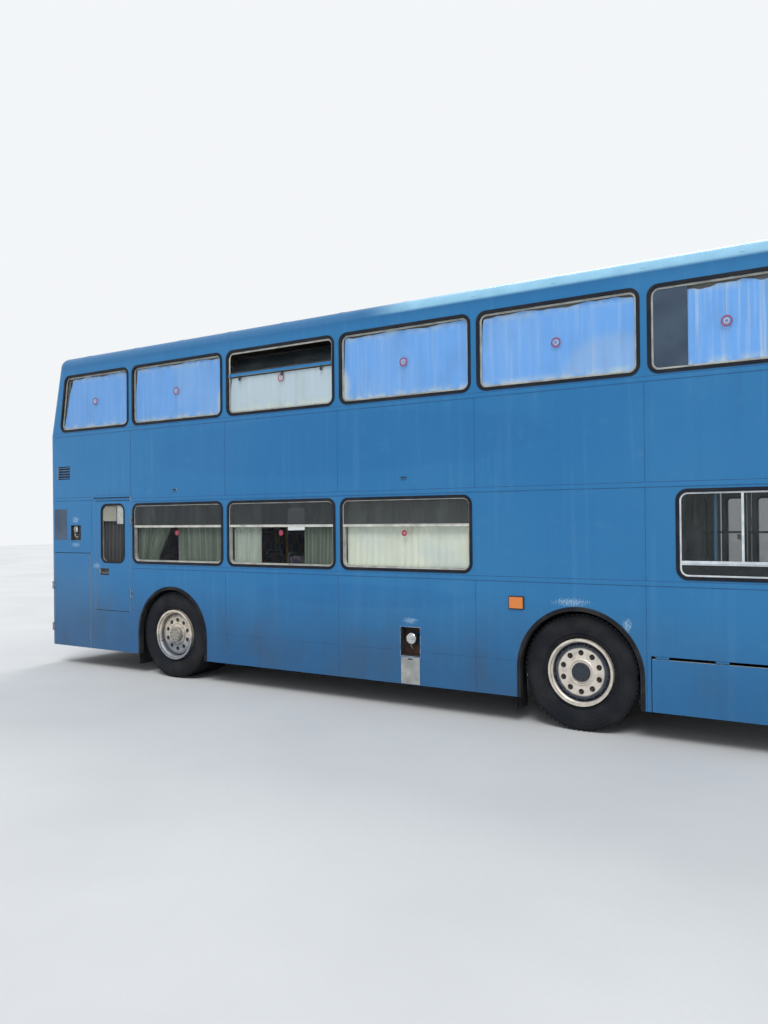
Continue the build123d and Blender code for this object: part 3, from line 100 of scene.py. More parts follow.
@dataclass(frozen=True)
class Layout:
    """Main places of the body that trim, windows and furniture share, in metres.

    Attributes:
        half_width: From the middle to the side panels.
        half_length: From the middle to either end.
        skirt_z: Lower edge of the panels.
        pillar_x: X of the front pillar.
        pillar_pitch: Distance between two pillars.
        pillar_gap: Distance between two windows' cuts.
        corner: Corner radius of the windows' cuts.
        gasket: How far a window's rubber covers its glass.
        upper_z: Low and high edge of the upper windows.
        lower_z: Low and high edge of the lower windows.
        rear_window_x: X of the last upper window's rear edge, at its foot and its head.
        front_window_x: X of the first upper window's front edge.
        cab_window: Low x, high x, low z and high z of the driver's side window.
        emergency: The same of the emergency door's opening.
        emergency_window: The same of the emergency door's window.
        front_axle: X and z of the front axle.
        rear_axle: X and z of the rear axle.
        lower_floor_z: Height of the lower floor.
        rear_floor_z: Height of the lower floor over the rear axle.
        upper_floor_z: Height of the upper floor.
    """

    half_width: float = 1.25
    half_length: float = 4.78
    skirt_z: float = 0.245
    pillar_x: float = 3.036
    pillar_pitch: float = 1.559
    pillar_gap: float = 0.058
    corner: float = 0.095
    gasket: float = 0.030
    upper_z: Flat = (3.009, 3.742)
    lower_z: Flat = (1.332, 2.064)
    rear_window_x: Flat = (-4.561, -4.451)
    front_window_x: float = 4.19
    cab_window: tuple[float, float, float, float] = (3.276, 4.34, 1.33, 2.064)
    emergency: tuple[float, float, float, float] = (-3.861, -3.219, 0.733, 2.108)
    emergency_window: tuple[float, float, float, float] = (-3.756, -3.314, 1.331, 2.064)
    front_axle: Flat = (2.45, 0.505)
    rear_axle: Flat = (-2.503, 0.505)
    lower_floor_z: float = 0.52
    rear_floor_z: float = 0.73
    upper_floor_z: float = 2.34

    def pillars(self) -> list[float]:
        """The five pillar lines, front to rear."""
        return [self.pillar_x - self.pillar_pitch * bay for bay in range(5)]


BUS = Layout()


# Shader maths


def joining(operation: str) -> Callable[["Value", "Value | float"], "Value"]:
    """A method that joins a value and another by one Math node.

    Args:
        operation: The node's operation.

    Returns:
        The method.
    """

    def joined(self: "Value", other: "Value | float") -> "Value":
        """Adds the node and gives its output."""
        return self.math(operation, self, other)

    return joined


class Value:
    """One socket's output. Arithmetic on it adds Math nodes to its graph."""

    def __init__(self, graph: "Graph", socket: bpy.types.NodeSocket) -> None:
        """Keeps the graph and the socket.

        Args:
            graph: The graph that the socket belongs to.
            socket: The output socket.
        """
        self.graph, self.socket = graph, socket

    def math(self, operation: str, *operands: "Value | float", clamp: bool = False) -> "Value":
        """Adds one Math node.

        Args:
            operation: Its operation.
            operands: Its inputs in order.
            clamp: Whether the result is held from 0 to 1.

        Returns:
            The node's output.
        """
        settings = {"operation": operation, "use_clamp": clamp}
        return self.graph.node("ShaderNodeMath", settings, dict(enumerate(operands)))

    __add__ = __radd__ = joining("ADD")
    __sub__ = joining("SUBTRACT")
    __mul__ = __rmul__ = joining("MULTIPLY")
    __truediv__ = joining("DIVIDE")
    __pow__ = joining("POWER")
    __lt__ = joining("LESS_THAN")
    __gt__ = joining("GREATER_THAN")
    most = joining("MAXIMUM")

    def __rsub__(self, other: float) -> "Value":
        """Difference from a number."""
        return self.math("SUBTRACT", other, self)

    def __abs__(self) -> "Value":
        """Size without its sign."""
        return self.math("ABSOLUTE", self)

    def held(self) -> "Value":
        """This, held from 0 to 1."""
        return self.math("ADD", self, 0.0, clamp=True)

    def between(self, low: float, high: float) -> "Value":
        """A smooth rise from 0 at `low` to 1 at `high`, or a fall where `low` is the larger."""
        sockets = {"Value": self, "From Min": low, "From Max": high}
        return self.graph.node("ShaderNodeMapRange", {"interpolation_type": "SMOOTHSTEP"}, sockets)


class Graph:
    """One material's node tree, with the few calls that the finishes need."""

    def __init__(self, tree: bpy.types.NodeTree) -> None:
        """Empties the tree.

        Args:
            tree: The tree to build in.
        """
        self.tree = tree
        tree.nodes.clear()

    def node(
        self, kind: str, settings: dict | None = None, sockets: dict | None = None, output: int = 0
    ) -> Value | None:
        """Adds any node.

        Args:
            kind: The node's type.
            settings: Properties set first.
            sockets: Values or links of its inputs, by name or number.
            output: Which output comes back.

        Returns:
            That output, or None where the node has none.
        """
        made = self.tree.nodes.new(kind)
        for key, value in (settings or {}).items():
            setattr(made, key, value)
        for key, value in (sockets or {}).items():
            target = made.inputs[key]
            if isinstance(value, Value):
                self.tree.links.new(value.socket, target)
            elif target.type == "RGBA" and len(value) == 3:
                target.default_value = (*value, 1.0)
            else:
                target.default_value = value
        return Value(self, made.outputs[output]) if made.outputs else None

    def place(self) -> Value:
        """The object's own coordinates."""
        return self.node("ShaderNodeTexCoord", output=3)

    def split(self) -> tuple[Value, Value, Value]:
        """X, Y and Z of the object's own coordinates.

        Returns:
            The three coordinates.
        """
        first = self.node("ShaderNodeSeparateXYZ", None, {0: self.place()})
        outputs = first.socket.node.outputs
        return first, Value(self, outputs[1]), Value(self, outputs[2])

    def noise(
        self, size: float, detail: float = 4.0, stretch: Point = (1, 1, 1), rough: float = 0.5
    ) -> Value:
        """Cloudy noise from 0 to 1.

        Args:
            size: How fine it is, in cycles per metre.
            detail: Octaves.
            stretch: How much finer it is along each axis.
            rough: Weight of the fine octaves.

        Returns:
            The noise.
        """
        where = self.node("ShaderNodeMapping", None, {"Vector": self.place(), "Scale": stretch})
        sockets = {"Vector": where, "Scale": size, "Detail": detail, "Roughness": rough}
        return self.node("ShaderNodeTexNoise", None, sockets)

    def blend(self, share: Value | float, first: Value | Colour, second: Value | Colour) -> Value:
        """Mixes two colours.

        Args:
            share: How much of the second.
            first: Colour at 0.
            second: Colour at 1.

        Returns:
            The mixed colour.
        """
        return self.node("ShaderNodeMix", {"data_type": "RGBA"}, {0: share, 6: first, 7: second}, output=2)

    def bump(self, height: Value, depth: float) -> Value:
        """A bumpy normal.

        Args:
            height: Height from 0 to 1.
            depth: How deep that is, in metres.

        Returns:
            The normal.
        """
        return self.node("ShaderNodeBump", None, {"Height": height, "Distance": depth})

    def principled(self, sockets: dict) -> Value:
        """The main surface shader."""
        return self.node("ShaderNodeBsdfPrincipled", None, sockets)

    def finish(self, surface: Value) -> None:
        """Links the surface to the material's output."""
        self.node("ShaderNodeOutputMaterial", None, {"Surface": surface})


# Finishes

MADE: dict[str, bpy.types.Material] = {}


@dataclass(frozen=True)
class Finish:
    """A worn, faintly uneven finish: base colour, second colour in clouds, dust in clouds.

    Attributes:
        name: The material's name.
        slot: The record's material slot. It is not used.
        colour: Main colour.
        second: Colour of the clouds.
        roughness: Middle roughness.
        metallic: Share of metal.
        cloud: Size of the clouds, in cycles per metre.
        grain: Size of the bump, in cycles per metre.
        depth: Depth of the bump in metres.
        stretch: Stretch of the grain.
        dust: Colour of the dust, and how much of it.
        coat: Weight of a clear coat.
        gleam: How strongly the surface mirrors, 0.5 for most materials.
    """

    name: str
    slot: str
    colour: Colour
    second: Colour
    roughness: float = 0.5
    metallic: float = 0.0
    cloud: float = 3.0
    grain: float = 60.0
    depth: float = 0.0006
    stretch: Point = (1, 1, 1)
    dust: tuple[Colour, float] = (srgb(122, 114, 102), 0.0)
    coat: float = 0.0
    gleam: float = 0.5

    def material(self) -> bpy.types.Material:
        """The finish's material, made once.

        Returns:
            The material.
        """
        if self.name not in MADE:
            made = bpy.data.materials.new(f"{self.name}_worn")
            made.use_nodes = True
            graph = Graph(made.node_tree)
            graph.finish(self.surface(graph))
            MADE[self.name] = made
        return MADE[self.name]

    def surface(self, graph: Graph) -> Value:
        """Builds the shader.

        Args:
            graph: The material's graph.

        Returns:
            The surface.
        """
        cloud = graph.noise(self.cloud, 5.0).between(0.35, 0.68)
        grain = graph.noise(self.grain, 3.0, self.stretch)
        colour = graph.blend(cloud, self.colour, self.second)
        colour = graph.blend(grain.between(0.3, 0.75) * 0.25, colour, self.second)
        dust_colour, amount = self.dust
        settled = graph.noise(self.cloud * 2.3, 6.0).between(0.38, 0.7) * amount
        colour = graph.blend(settled, colour, dust_colour)
        rough = (cloud * 0.12 + (self.roughness - 0.06) + settled * 0.3).held()
        return graph.principled({
            "Base Color": colour,
            "Roughness": rough,
            "Metallic": self.metallic,
            "Specular IOR Level": self.gleam,
            "Coat Weight": self.coat,
            "Normal": graph.bump(grain, self.depth),
        })


@dataclass(frozen=True)
class Patch:
    """An oval patch on the offside.

    Attributes:
        x: X of its middle.
        z: Height of its middle.
        long: Half its length.
        high: Half its height.
    """

    x: float
    z: float
    long: float
    high: float

    def mask(self, x: Value, z: Value) -> Value:
        """1 at the middle, 0 at the edge and beyond.

        Args:
            x: Place along the bus.
            z: Height.

        Returns:
            The mask.
        """
        across, up = (x - self.x) / self.long, (z - self.z) / self.high
        return (1.0 - (across * across + up * up)).held()


# Where the paint is knocked off, on the offside
CHIPPED = [
    Patch(2.39, 1.11, 0.33, 0.07),
    Patch(2.875, 0.94, 0.075, 0.12),
    Patch(-3.84, 1.29, 0.15, 0.07),
    Patch(0.77, 0.86, 0.16, 0.06),
    Patch(-4.25, 1.87, 0.13, 0.075),
    Patch(-4.25, 1.55, 0.17, 0.055),
]
# Where the old paint was rubbed back and gone over
REPAINTED = [Patch(-0.3, 2.62, 2.7, 0.34), Patch(0.1, 1.08, 1.5, 0.13)]


@dataclass(frozen=True)
class BodyPaint(Finish):
    """Faded blue coach paint, with streaks, painted shade and road dirt low down, a painted highlight on the
    roof's cove, chips, and lining board on its inner face.

    Attributes:
        lining: Colour of the inner face.
        chip: Colour of the chips.
        deep: Colour of the repainted patches.
    """

    lining: Colour = srgb(188, 184, 172)
    chip: Colour = srgb(156, 186, 208)
    deep: Colour = srgb(22, 98, 154)

    def surface(self, graph: Graph) -> Value:
        """Builds the shader.

        Args:
            graph: The material's graph.

        Returns:
            The surface.
        """
        x, y, z = graph.split()
        offside = y < -1.2
        fade = graph.noise(0.5, 4.0).between(0.3, 0.7)
        mottle = graph.noise(7.0, 6.0)
        streak = graph.noise(1.0, 5.0, (11.0, 11.0, 0.45), 0.6)
        colour = graph.blend(fade * 0.55, self.colour, self.second)
        over = REPAINTED[0].mask(x, z).between(0.0, 0.3).most(REPAINTED[1].mask(x, z).between(0.0, 0.5))
        colour = graph.blend(over * offside * 0.32, colour, self.deep)
        colour = graph.blend(streak.between(0.52, 0.8) * 0.2, colour, srgb(92, 142, 180))
        colour = graph.blend(streak.between(0.48, 0.2) * 0.2, colour, srgb(26, 80, 126))
        colour = graph.blend(mottle.between(0.55, 0.85) * 0.14, colour, srgb(96, 146, 182))
        colour = graph.blend(z.between(3.76, 3.90) * 0.6, colour, srgb(24, 88, 136))
        # Painted highlight: a sky reflection on the roof's cove, lighter towards the front and a little on
        # the crown.
        ahead, crown = x.between(0.2, 0.9), z.between(4.00, 4.07)
        cove_highlight = z.between(3.845, 3.88) * (mottle * 0.4 + 0.6) * (
            ahead * (1.0 - crown * 0.5) + crown * 0.3 + 0.06
        )
        colour = graph.blend(cove_highlight.held(), colour, srgb(150, 200, 224))
        # Painted shade: the sides darker towards the bottom, less so near the front; the road dirt below lies
        # in the same band.
        low = z.between(1.25, 0.35) * (1.0 - x.between(1.6, 3.4) * 0.45)
        # Greyer towards the rear bottom.
        rear_greying = x.between(-2.9, -4.6) * z.between(1.9, 0.7) * 0.32
        colour = graph.blend(rear_greying, colour, srgb(74, 94, 114))
        colour = graph.blend(low * 0.55, colour, srgb(34, 70, 108))
        dirt_and_shade = (low * graph.noise(3.0, 7.0, (1.0, 1.0, 0.6)).between(0.36, 0.72) * 0.4).held()
        colour = graph.blend(dirt_and_shade, colour, srgb(66, 78, 92))
        specks = graph.noise(120.0, 6.0, (1, 1, 0.3), 0.75)
        worn = CHIPPED[0].mask(x, z)
        for patch in CHIPPED[1:]:
            worn = worn.most(patch.mask(x, z))
        chips = (worn * 0.42 + specks).between(0.82, 0.95) * offside
        colour = graph.blend(chips * 0.75, colour, self.chip)
        inner = self._inner(graph)
        colour = graph.blend(inner, colour, self.lining)
        wave = graph.noise(1.1, 2.0)
        height = wave * 1.0 + mottle * 0.03 - chips * 0.05
        rough = (mottle * 0.14 + dirt_and_shade * 0.4 + chips * 0.3 + inner * 0.2 + (self.roughness - 0.07)).held()
        return graph.principled({
            "Base Color": colour,
            "Roughness": rough,
            "Coat Weight": (1.0 - dirt_and_shade - chips - inner).held() * self.coat,
            "Specular IOR Level": 0.3,
            "Normal": graph.bump(height, self.depth),
        })

    @staticmethod
    def _inner(graph: Graph) -> Value:
        """1 on faces that look into the saloon.

        Args:
            graph: The material's graph.

        Returns:
            The mask.
        """
        normal = graph.node("ShaderNodeTexCoord", output=1)
        kind, place = "ShaderNodeVectorMath", graph.place()
        middle = graph.node(kind, {"operation": "SUBTRACT"}, {0: place, 1: (0, 0, 2.0)})
        flat = graph.node(kind, {"operation": "MULTIPLY"}, {0: middle, 1: (1, 3.8, 2.0)})
        return graph.node(kind, {"operation": "DOT_PRODUCT"}, {0: normal, 1: flat}, output=1) < -0.6


@dataclass(frozen=True)
class WindowGlass(Finish):
    """Thin sheet glass: clear with a tint, more mirror-like at a glance, dusty in clouds.

    Attributes:
        tint: How dark the glass is, from 0 to 1.
        tinted_top: Height above which the lower deck's panes are dark, and how dark.
        cab_x: Rear end of the cab's panes, which are darker, as painted shade.
        deck_z: Height between the decks.
    """

    tint: float = 0.25
    tinted_top: Flat = (9.0, 0.25)
    cab_x: float = 3.1
    deck_z: float = 2.3

    def surface(self, graph: Graph) -> Value:
        """Builds the shader.

        Args:
            graph: The material's graph.

        Returns:
            The surface.
        """
        x, _, z = graph.split()
        grime = graph.noise(4.0, 7.0, (1, 1, 0.5), 0.6).between(0.45, 0.8)
        streak = graph.noise(1.0, 6.0, (26.0, 26.0, 0.8), 0.6).between(0.5, 0.8)
        dust = (grime * 0.05 + streak * 0.03).held()
        height, dark = self.tinted_top
        cab_x, deck_z = self.cab_x, self.deck_z
        # The cab's panes below the upper deck are darker: painted shade.
        shade = (z > height) * (x < cab_x) * (dark - self.tint) + (x > cab_x) * (z < deck_z) * 0.3 + self.tint
        body = graph.principled({
            "Base Color": graph.blend((dust * 5.0).held(), self.colour, self.second),
            "Roughness": dust * 2.0 + self.roughness,
            "IOR": 1.5,
        })
        clear = graph.node("ShaderNodeBsdfTransparent", None, {"Color": (0.99, 1.0, 1.0, 1.0)})
        glance = graph.node("ShaderNodeLayerWeight", None, {"Blend": 0.32}, output=1)
        share = (shade + dust + glance * 0.3).held()
        return graph.node("ShaderNodeMixShader", None, {0: share, 1: clear, 2: body})


@dataclass(frozen=True)
class LinerFoil(Finish):
    """Silvered window liner: its blue is a painted reflection of the sky, milky where damp has run down it.

    Attributes:
        milk: Colour of the damp runs.
    """

    milk: Colour = srgb(226, 234, 228)

    def surface(self, graph: Graph) -> Value:
        """Builds the shader.

        Args:
            graph: The material's graph.

        Returns:
            The surface.
        """
        x, y, z = graph.split()
        runs = graph.noise(1.0, 6.0, (38.0, 38.0, 1.1), 0.62)
        broad = graph.noise(0.9, 3.0, (1.0, 1.0, 0.4))
        damp = Patch(-0.85, 3.2, 0.95, 0.5).mask(x, z).between(0.0, 0.2)
        damp = damp.most(Patch(2.75, 3.05, 0.5, 0.4).mask(x, z).between(0.0, 0.6) * 0.25)
        ragged = graph.noise(11.0, 6.0).between(0.36, 0.62)
        edges = (z.between(3.13, 3.02) * 0.85 + z.between(3.60, 3.73) * 0.6) * ragged
        much = (x > 3.0) * 0.32 + 0.16
        share = runs.between(0.47, 0.72) * much + damp * (y < 0.0) * 0.8 + edges
        share = (share + broad.between(0.5, 0.75) * 0.2).held()
        colour = graph.blend(share, self.colour, self.milk)
        colour = graph.blend(runs.between(0.42, 0.2) * much, colour, self.second)
        return graph.principled({
            "Base Color": colour,
            "Roughness": (share * 0.35 + self.roughness).held(),
            "Metallic": self.metallic,
            "Normal": graph.bump(runs, self.depth),
        })


@dataclass(frozen=True)
class Cloth(Finish):
    """Woven cloth with a fine weave, faded in bands down its folds.

    Attributes:
        weave: Size of the threads, in cycles per metre.
    """

    weave: float = 420.0

    def surface(self, graph: Graph) -> Value:
        """Builds the shader.

        Args:
            graph: The material's graph.

        Returns:
            The surface.
        """
        threads = graph.noise(self.weave, 2.0, self.stretch)
        bands = graph.noise(1.0, 5.0, (14.0, 14.0, 0.7), 0.6).between(0.3, 0.75)
        stain = graph.noise(self.cloud, 6.0).between(0.45, 0.75)
        colour = graph.blend(bands * 0.7, self.colour, self.second)
        dust_colour, amount = self.dust
        colour = graph.blend(stain * amount, colour, dust_colour)
        colour = graph.blend(threads.between(0.35, 0.7) * 0.18, colour, self.second)
        return graph.principled({
            "Base Color": colour,
            "Roughness": (threads * 0.1 + self.roughness).held(),
            "Sheen Weight": 0.25,
            "Normal": graph.bump(threads, self.depth),
        })


@dataclass(frozen=True)
class Moquette(Finish):
    """Cut-pile seat cloth with a small chequer of two tones.

    Attributes:
        third: Third colour, in the wide chequers.
    """

    third: Colour = srgb(168, 92, 60)

    def surface(self, graph: Graph) -> Value:
        """Builds the shader.

        Args:
            graph: The material's graph.

        Returns:
            The surface.
        """
        pile = graph.noise(520.0, 2.0)
        chequer = graph.node("ShaderNodeTexChecker", None, {"Vector": graph.place(), "Scale": 34.0}, output=1)
        wide = graph.node("ShaderNodeTexChecker", None, {"Vector": graph.place(), "Scale": 8.5}, output=1)
        wear = graph.noise(self.cloud, 5.0).between(0.4, 0.75)
        colour = graph.blend(chequer * 0.8, self.colour, self.second)
        colour = graph.blend(wide * chequer * 0.55, colour, self.third)
        colour = graph.blend(wear * 0.35, colour, srgb(96, 98, 104))
        return graph.principled({
            "Base Color": colour,
            "Roughness": (pile * 0.1 + self.roughness).held(),
            "Sheen Weight": 0.4,
            "Normal": graph.bump(pile, self.depth),
        })


@dataclass(frozen=True)
class WheelMetal(Finish):
    """Pressed steel wheel: bright rolled rim, dull disc, dark hub cap, brake dust round the holes, painted
    shade in the rim's well and round the hub, painted reflection on the lower half.

    Attributes:
        axle: X and z of the axle.
        cap_radius: Radius of the hub cap.
        cap: Colour of the hub cap.
        grime: How dirty the disc is.
        well: How dark the painted shade in the rim's well is.
        settled: How strong the painted grey-blue reflection on the lower half, and the painted shadow round
            the hub, are.
    """

    axle: Flat = (0.0, 0.0)
    cap_radius: float = 0.083
    cap: Colour = srgb(52, 58, 66)
    grime: float = 0.3
    well: float = 0.9
    settled: float = 0.0

    def surface(self, graph: Graph) -> Value:
        """Builds the shader.

        Args:
            graph: The material's graph.

        Returns:
            The surface.
        """
        x, y, z = graph.split()
        along, up = x - self.axle[0], z - self.axle[1]
        radius = (along * along + up * up) ** 0.5
        scratches = graph.noise(90.0, 4.0)
        blotch = graph.noise(14.0, 6.0).between(0.35, 0.7)
        # Painted shade in the rim's well, and a painted shadow in the crease round the hub.
        well = radius.between(0.196, 0.214) * radius.between(0.262, 0.254)
        holes = radius.between(0.138, 0.165) * radius.between(0.198, 0.172)
        crease = radius.between(0.110, 0.120) * radius.between(0.136, 0.126) * self.settled * 0.6
        # Dirt on the disc and round the holes, with the painted shade of the well and the hub's crease.
        dirt_and_shade = (well * self.well + holes * self.grime * 0.5 + blotch * self.grime * 0.7 + crease).held()
        colour = graph.blend(blotch * 0.5, self.colour, self.second)
        # Painted reflection: a grey-blue film over the lower half of the wheel.
        film = (up - blotch * 0.06).between(0.05, -0.16) * self.settled
        colour = graph.blend(film, colour, srgb(112, 126, 144))
        colour = graph.blend(dirt_and_shade, colour, srgb(52, 58, 70))
        cap = radius < self.cap_radius
        colour = graph.blend(cap, colour, self.cap)
        inboard = abs(y) < 1.05
        colour = graph.blend(inboard * 0.85, colour, srgb(32, 31, 30))
        metal = (1.0 - dirt_and_shade * 0.8 - inboard * 0.9 - cap * 0.3).held()
        return graph.principled({
            "Base Color": colour,
            "Roughness": (dirt_and_shade * 0.35 + scratches * 0.18 + self.roughness).held(),
            "Metallic": metal * self.metallic,
            "Normal": graph.bump(scratches, self.depth),
        })


@dataclass(frozen=True)
class TankSteel(Finish):
    """Black painted tank whose filler cap, near the outer wall, is bare metal."""

    def surface(self, graph: Graph) -> Value:
        """Builds the shader.

        Args:
            graph: The material's graph.

        Returns:
            The surface.
        """
        y = graph.split()[1]
        outer = y < -1.185
        grain = graph.noise(self.grain, 3.0)
        blotch = graph.noise(self.cloud, 5.0).between(0.35, 0.7)
        painted = graph.blend(blotch, self.colour, self.second)
        bare = graph.blend(blotch, srgb(150, 162, 166), srgb(96, 104, 106))
        return graph.principled({
            "Base Color": graph.blend(outer, painted, bare),
            "Roughness": (blotch * 0.15 + self.roughness - outer * 0.2).held(),
            "Metallic": outer * 0.9,
            "Normal": graph.bump(grain, self.depth),
        })


@dataclass(frozen=True)
class LampLens(Finish):
    """Moulded lens with fine flutes over a bright reflector.

    Attributes:
        flutes: How fine the flutes are along each axis.
    """

    flutes: Point = (1, 90, 0)

    def surface(self, graph: Graph) -> Value:
        """Builds the shader.

        Args:
            graph: The material's graph.

        Returns:
            The surface.
        """
        where = graph.node("ShaderNodeMapping", None, {"Vector": graph.place(), "Scale": self.flutes})
        sockets = {"Vector": where, "Scale": 1.0, "Distortion": 0.4}
        wave = graph.node("ShaderNodeTexWave", None, sockets, output=1)
        cloud = graph.noise(self.cloud, 3.0)
        colour = graph.blend(wave * 0.35, self.colour, self.second)
        return graph.principled({
            "Base Color": graph.blend(cloud * 0.2, colour, srgb(90, 86, 80)),
            "Roughness": (cloud * 0.08 + self.roughness).held(),
            "Coat Weight": self.coat,
            "Normal": graph.bump(wave, self.depth),
        })


DUST = srgb(124, 118, 108)
PAINT = BodyPaint(
    "body_paint", "body_paint", srgb(26, 108, 162), srgb(50, 120, 168), 0.42, depth=0.012, coat=0.16
)
RUBBER = Finish(
    "gasket_rubber", "gasket_rubber", srgb(14, 19, 30), srgb(22, 27, 37), 0.6, grain=150, dust=(DUST, 0.05),
    gleam=0.22,
)
FLAP_RUBBER = Finish(
    "mudflap_rubber", "gasket_rubber", srgb(19, 22, 28), srgb(30, 32, 37), 0.8, grain=90, dust=(DUST, 0.1),
    gleam=0.25,
)
TYRE = Finish(
    "tyre_rubber", "tyre_rubber", srgb(18, 20, 26), srgb(26, 29, 35), 0.85, cloud=2.2, grain=110,
    depth=0.0008, dust=(DUST, 0.06), gleam=0.25,
)
GLASS = WindowGlass(
    "window_glass", "window_glass", srgb(30, 38, 42), srgb(120, 128, 124), 0.03, tint=0.02,
    tinted_top=(9.0, 0.02),
)
LOWER_GLASS = WindowGlass(
    "tinted_glass", "window_glass", srgb(36, 42, 46), srgb(120, 128, 124), 0.03, tint=0.03,
    tinted_top=(1.79, 0.55),
)
ALUMINIUM = Finish(
    "bare_aluminium", "bare_aluminium", srgb(196, 196, 190), srgb(160, 162, 160), 0.38, metallic=0.85,
    cloud=7, dust=(DUST, 0.15),
)
FRAME_PAINT = Finish(
    "window_frame", "bare_aluminium", srgb(220, 218, 208), srgb(184, 182, 174), 0.45, metallic=0.2, cloud=9,
    dust=(DUST, 0.15),
)
LINING = Finish(
    "lining_board", "lining_board", srgb(182, 176, 160), srgb(162, 156, 142), 0.55, cloud=2.0, grain=220,
    depth=0.0002,
)
DARK_LINING = Finish(
    "ceiling_board", "lining_board", srgb(120, 118, 112), srgb(98, 96, 92), 0.6, cloud=2.0, grain=220,
    depth=0.0002,
)
LINO = Finish(
    "floor_lino", "floor_lino", srgb(84, 80, 76), srgb(58, 56, 54), 0.6, cloud=3.5, grain=160,
    dust=(DUST, 0.4),
)
CHASSIS = Finish(
    "chassis_paint", "chassis_paint", srgb(30, 30, 32), srgb(66, 46, 36), 0.72, cloud=6, grain=80,
    dust=(DUST, 0.45),
)
AXLE = Finish(
    "axle_steel", "axle_steel", srgb(34, 32, 31), srgb(84, 54, 38), 0.62, cloud=9, grain=80, dust=(DUST, 0.35)
)
UNDERSEAL = Finish(
    "underseal", "chassis_paint", srgb(24, 24, 26), srgb(44, 41, 39), 0.85, cloud=7, grain=70, depth=0.0015,
    dust=(DUST, 0.4),
)
IRON = Finish(
    "engine_iron", "engine_iron", srgb(52, 50, 48), srgb(78, 60, 48), 0.6, cloud=7, grain=60, depth=0.001,
    dust=(DUST, 0.3),
)
PLASTIC = Finish(
    "dark_plastic", "dark_plastic", srgb(34, 34, 36), srgb(46, 46, 48), 0.5, grain=420, depth=0.0002,
    dust=(DUST, 0.12),
)
TANK = TankSteel("tank_steel", "chassis_paint", srgb(28, 26, 26), srgb(70, 44, 36), 0.6, cloud=9)
STEEL = Finish(
    "worn_steel", "wheel_metal", srgb(118, 120, 122), srgb(74, 72, 70), 0.45, metallic=0.8, cloud=12,
    dust=(DUST, 0.25),
)
FRONT_WHEEL = WheelMetal(
    "front_wheel_metal", "wheel_metal", srgb(228, 218, 204), srgb(190, 180, 164), 0.3, 0.55,
    axle=BUS.front_axle, grime=0.16, well=0.95,
)
REAR_WHEEL = WheelMetal(
    "rear_wheel_metal", "wheel_metal", srgb(230, 217, 200), srgb(190, 177, 157), 0.32, 0.5,
    axle=BUS.rear_axle, cap=srgb(150, 146, 138), grime=0.3, well=0.42, settled=0.75,
)
AMBER = LampLens(
    "lamp_amber", "lamp_amber", srgb(228, 128, 42), srgb(196, 92, 24), 0.24, cloud=30, depth=0.002, coat=0.4
)
RED_LENS = LampLens(
    "lamp_red", "lamp_red", srgb(150, 16, 14), srgb(104, 8, 8), 0.2, cloud=30, depth=0.002, coat=0.6
)
CLEAR_LENS = LampLens(
    "lamp_clear", "lamp_clear", srgb(206, 210, 212), srgb(150, 156, 160), 0.14, cloud=20, depth=0.002,
    coat=0.8,
)
SEAT_CLOTH = Moquette("seat_cloth", "seat_cloth", srgb(38, 50, 88), srgb(24, 28, 48), 0.85, depth=0.0006)
SEAT_VINYL = Finish(
    "seat_vinyl", "seat_vinyl", srgb(34, 34, 38), srgb(52, 50, 52), 0.48, grain=320, depth=0.0003
)
# The foil's blues are a painted reflection of the sky.
FOIL = LinerFoil("window_liner", "liner_foil", srgb(122, 184, 255), srgb(96, 158, 244), 0.3, depth=0.0012)
CURTAIN = Cloth(
    "curtain_cloth", "curtain_cloth", srgb(196, 202, 188), srgb(140, 150, 136), 0.9, depth=0.0001,
    dust=(srgb(150, 156, 138), 0.3),
)
DIM_CURTAIN = Cloth(
    "dim_curtain", "curtain_cloth", srgb(118, 128, 112), srgb(66, 76, 66), 0.9, depth=0.0001,
    dust=(srgb(84, 88, 74), 0.3),
)
BLIND = Cloth(
    "blind_cloth", "curtain_cloth", srgb(248, 248, 226), srgb(226, 232, 214), 0.88, depth=0.0001,
    dust=(srgb(190, 208, 222), 0.35),
)
RED_CURTAIN = Cloth(
    "dark_curtain", "curtain_cloth", srgb(56, 46, 46), srgb(28, 35, 31), 0.9, depth=0.0001,
    dust=(srgb(72, 66, 62), 0.4),
)
STICKER = Finish("sticker_red", "lamp_red", srgb(142, 28, 52), srgb(170, 60, 84), 0.5, cloud=40)
JOINT = Finish("joint_sealant", "gasket_rubber", srgb(20, 74, 118), srgb(34, 94, 142), 0.6, cloud=8, grain=90)
DARK_METAL = Finish(
    "dark_metal", "chassis_paint", srgb(28, 31, 36), srgb(50, 47, 45), 0.62, cloud=14, grain=90,
    dust=(DUST, 0.25),
)
STICKER_PAPER = Finish(
    "sticker_paper", "lining_board", srgb(206, 204, 208), srgb(186, 176, 182), 0.6, cloud=30
)
WHITE_FRAME = Finish(
    "cab_frame_white", "bare_aluminium", srgb(224, 229, 230), srgb(192, 200, 204), 0.4, cloud=9,
    dust=(DUST, 0.12),
)
WORN_EDGE = Finish("worn_edge", "body_paint", srgb(140, 156, 168), srgb(48, 104, 150), 0.5, cloud=26)
RUST = Finish(
    "rusty_steel", "chassis_paint", srgb(74, 46, 34), srgb(36, 28, 27), 0.82, cloud=13, grain=90, depth=0.001
)
CHROME = Finish(
    "bright_chrome", "wheel_metal", srgb(216, 218, 218), srgb(176, 178, 178), 0.12, metallic=1.0, cloud=20
)
SCREEN = Finish(
    "wire_screen", "dark_plastic", srgb(40, 50, 66), srgb(66, 76, 92), 0.6, grain=260, depth=0.001
)
YELLOW = Finish(
    "grab_rail_yellow", "bare_aluminium", srgb(214, 168, 44), srgb(188, 142, 34), 0.42, cloud=12,
    dust=(DUST, 0.15),
)
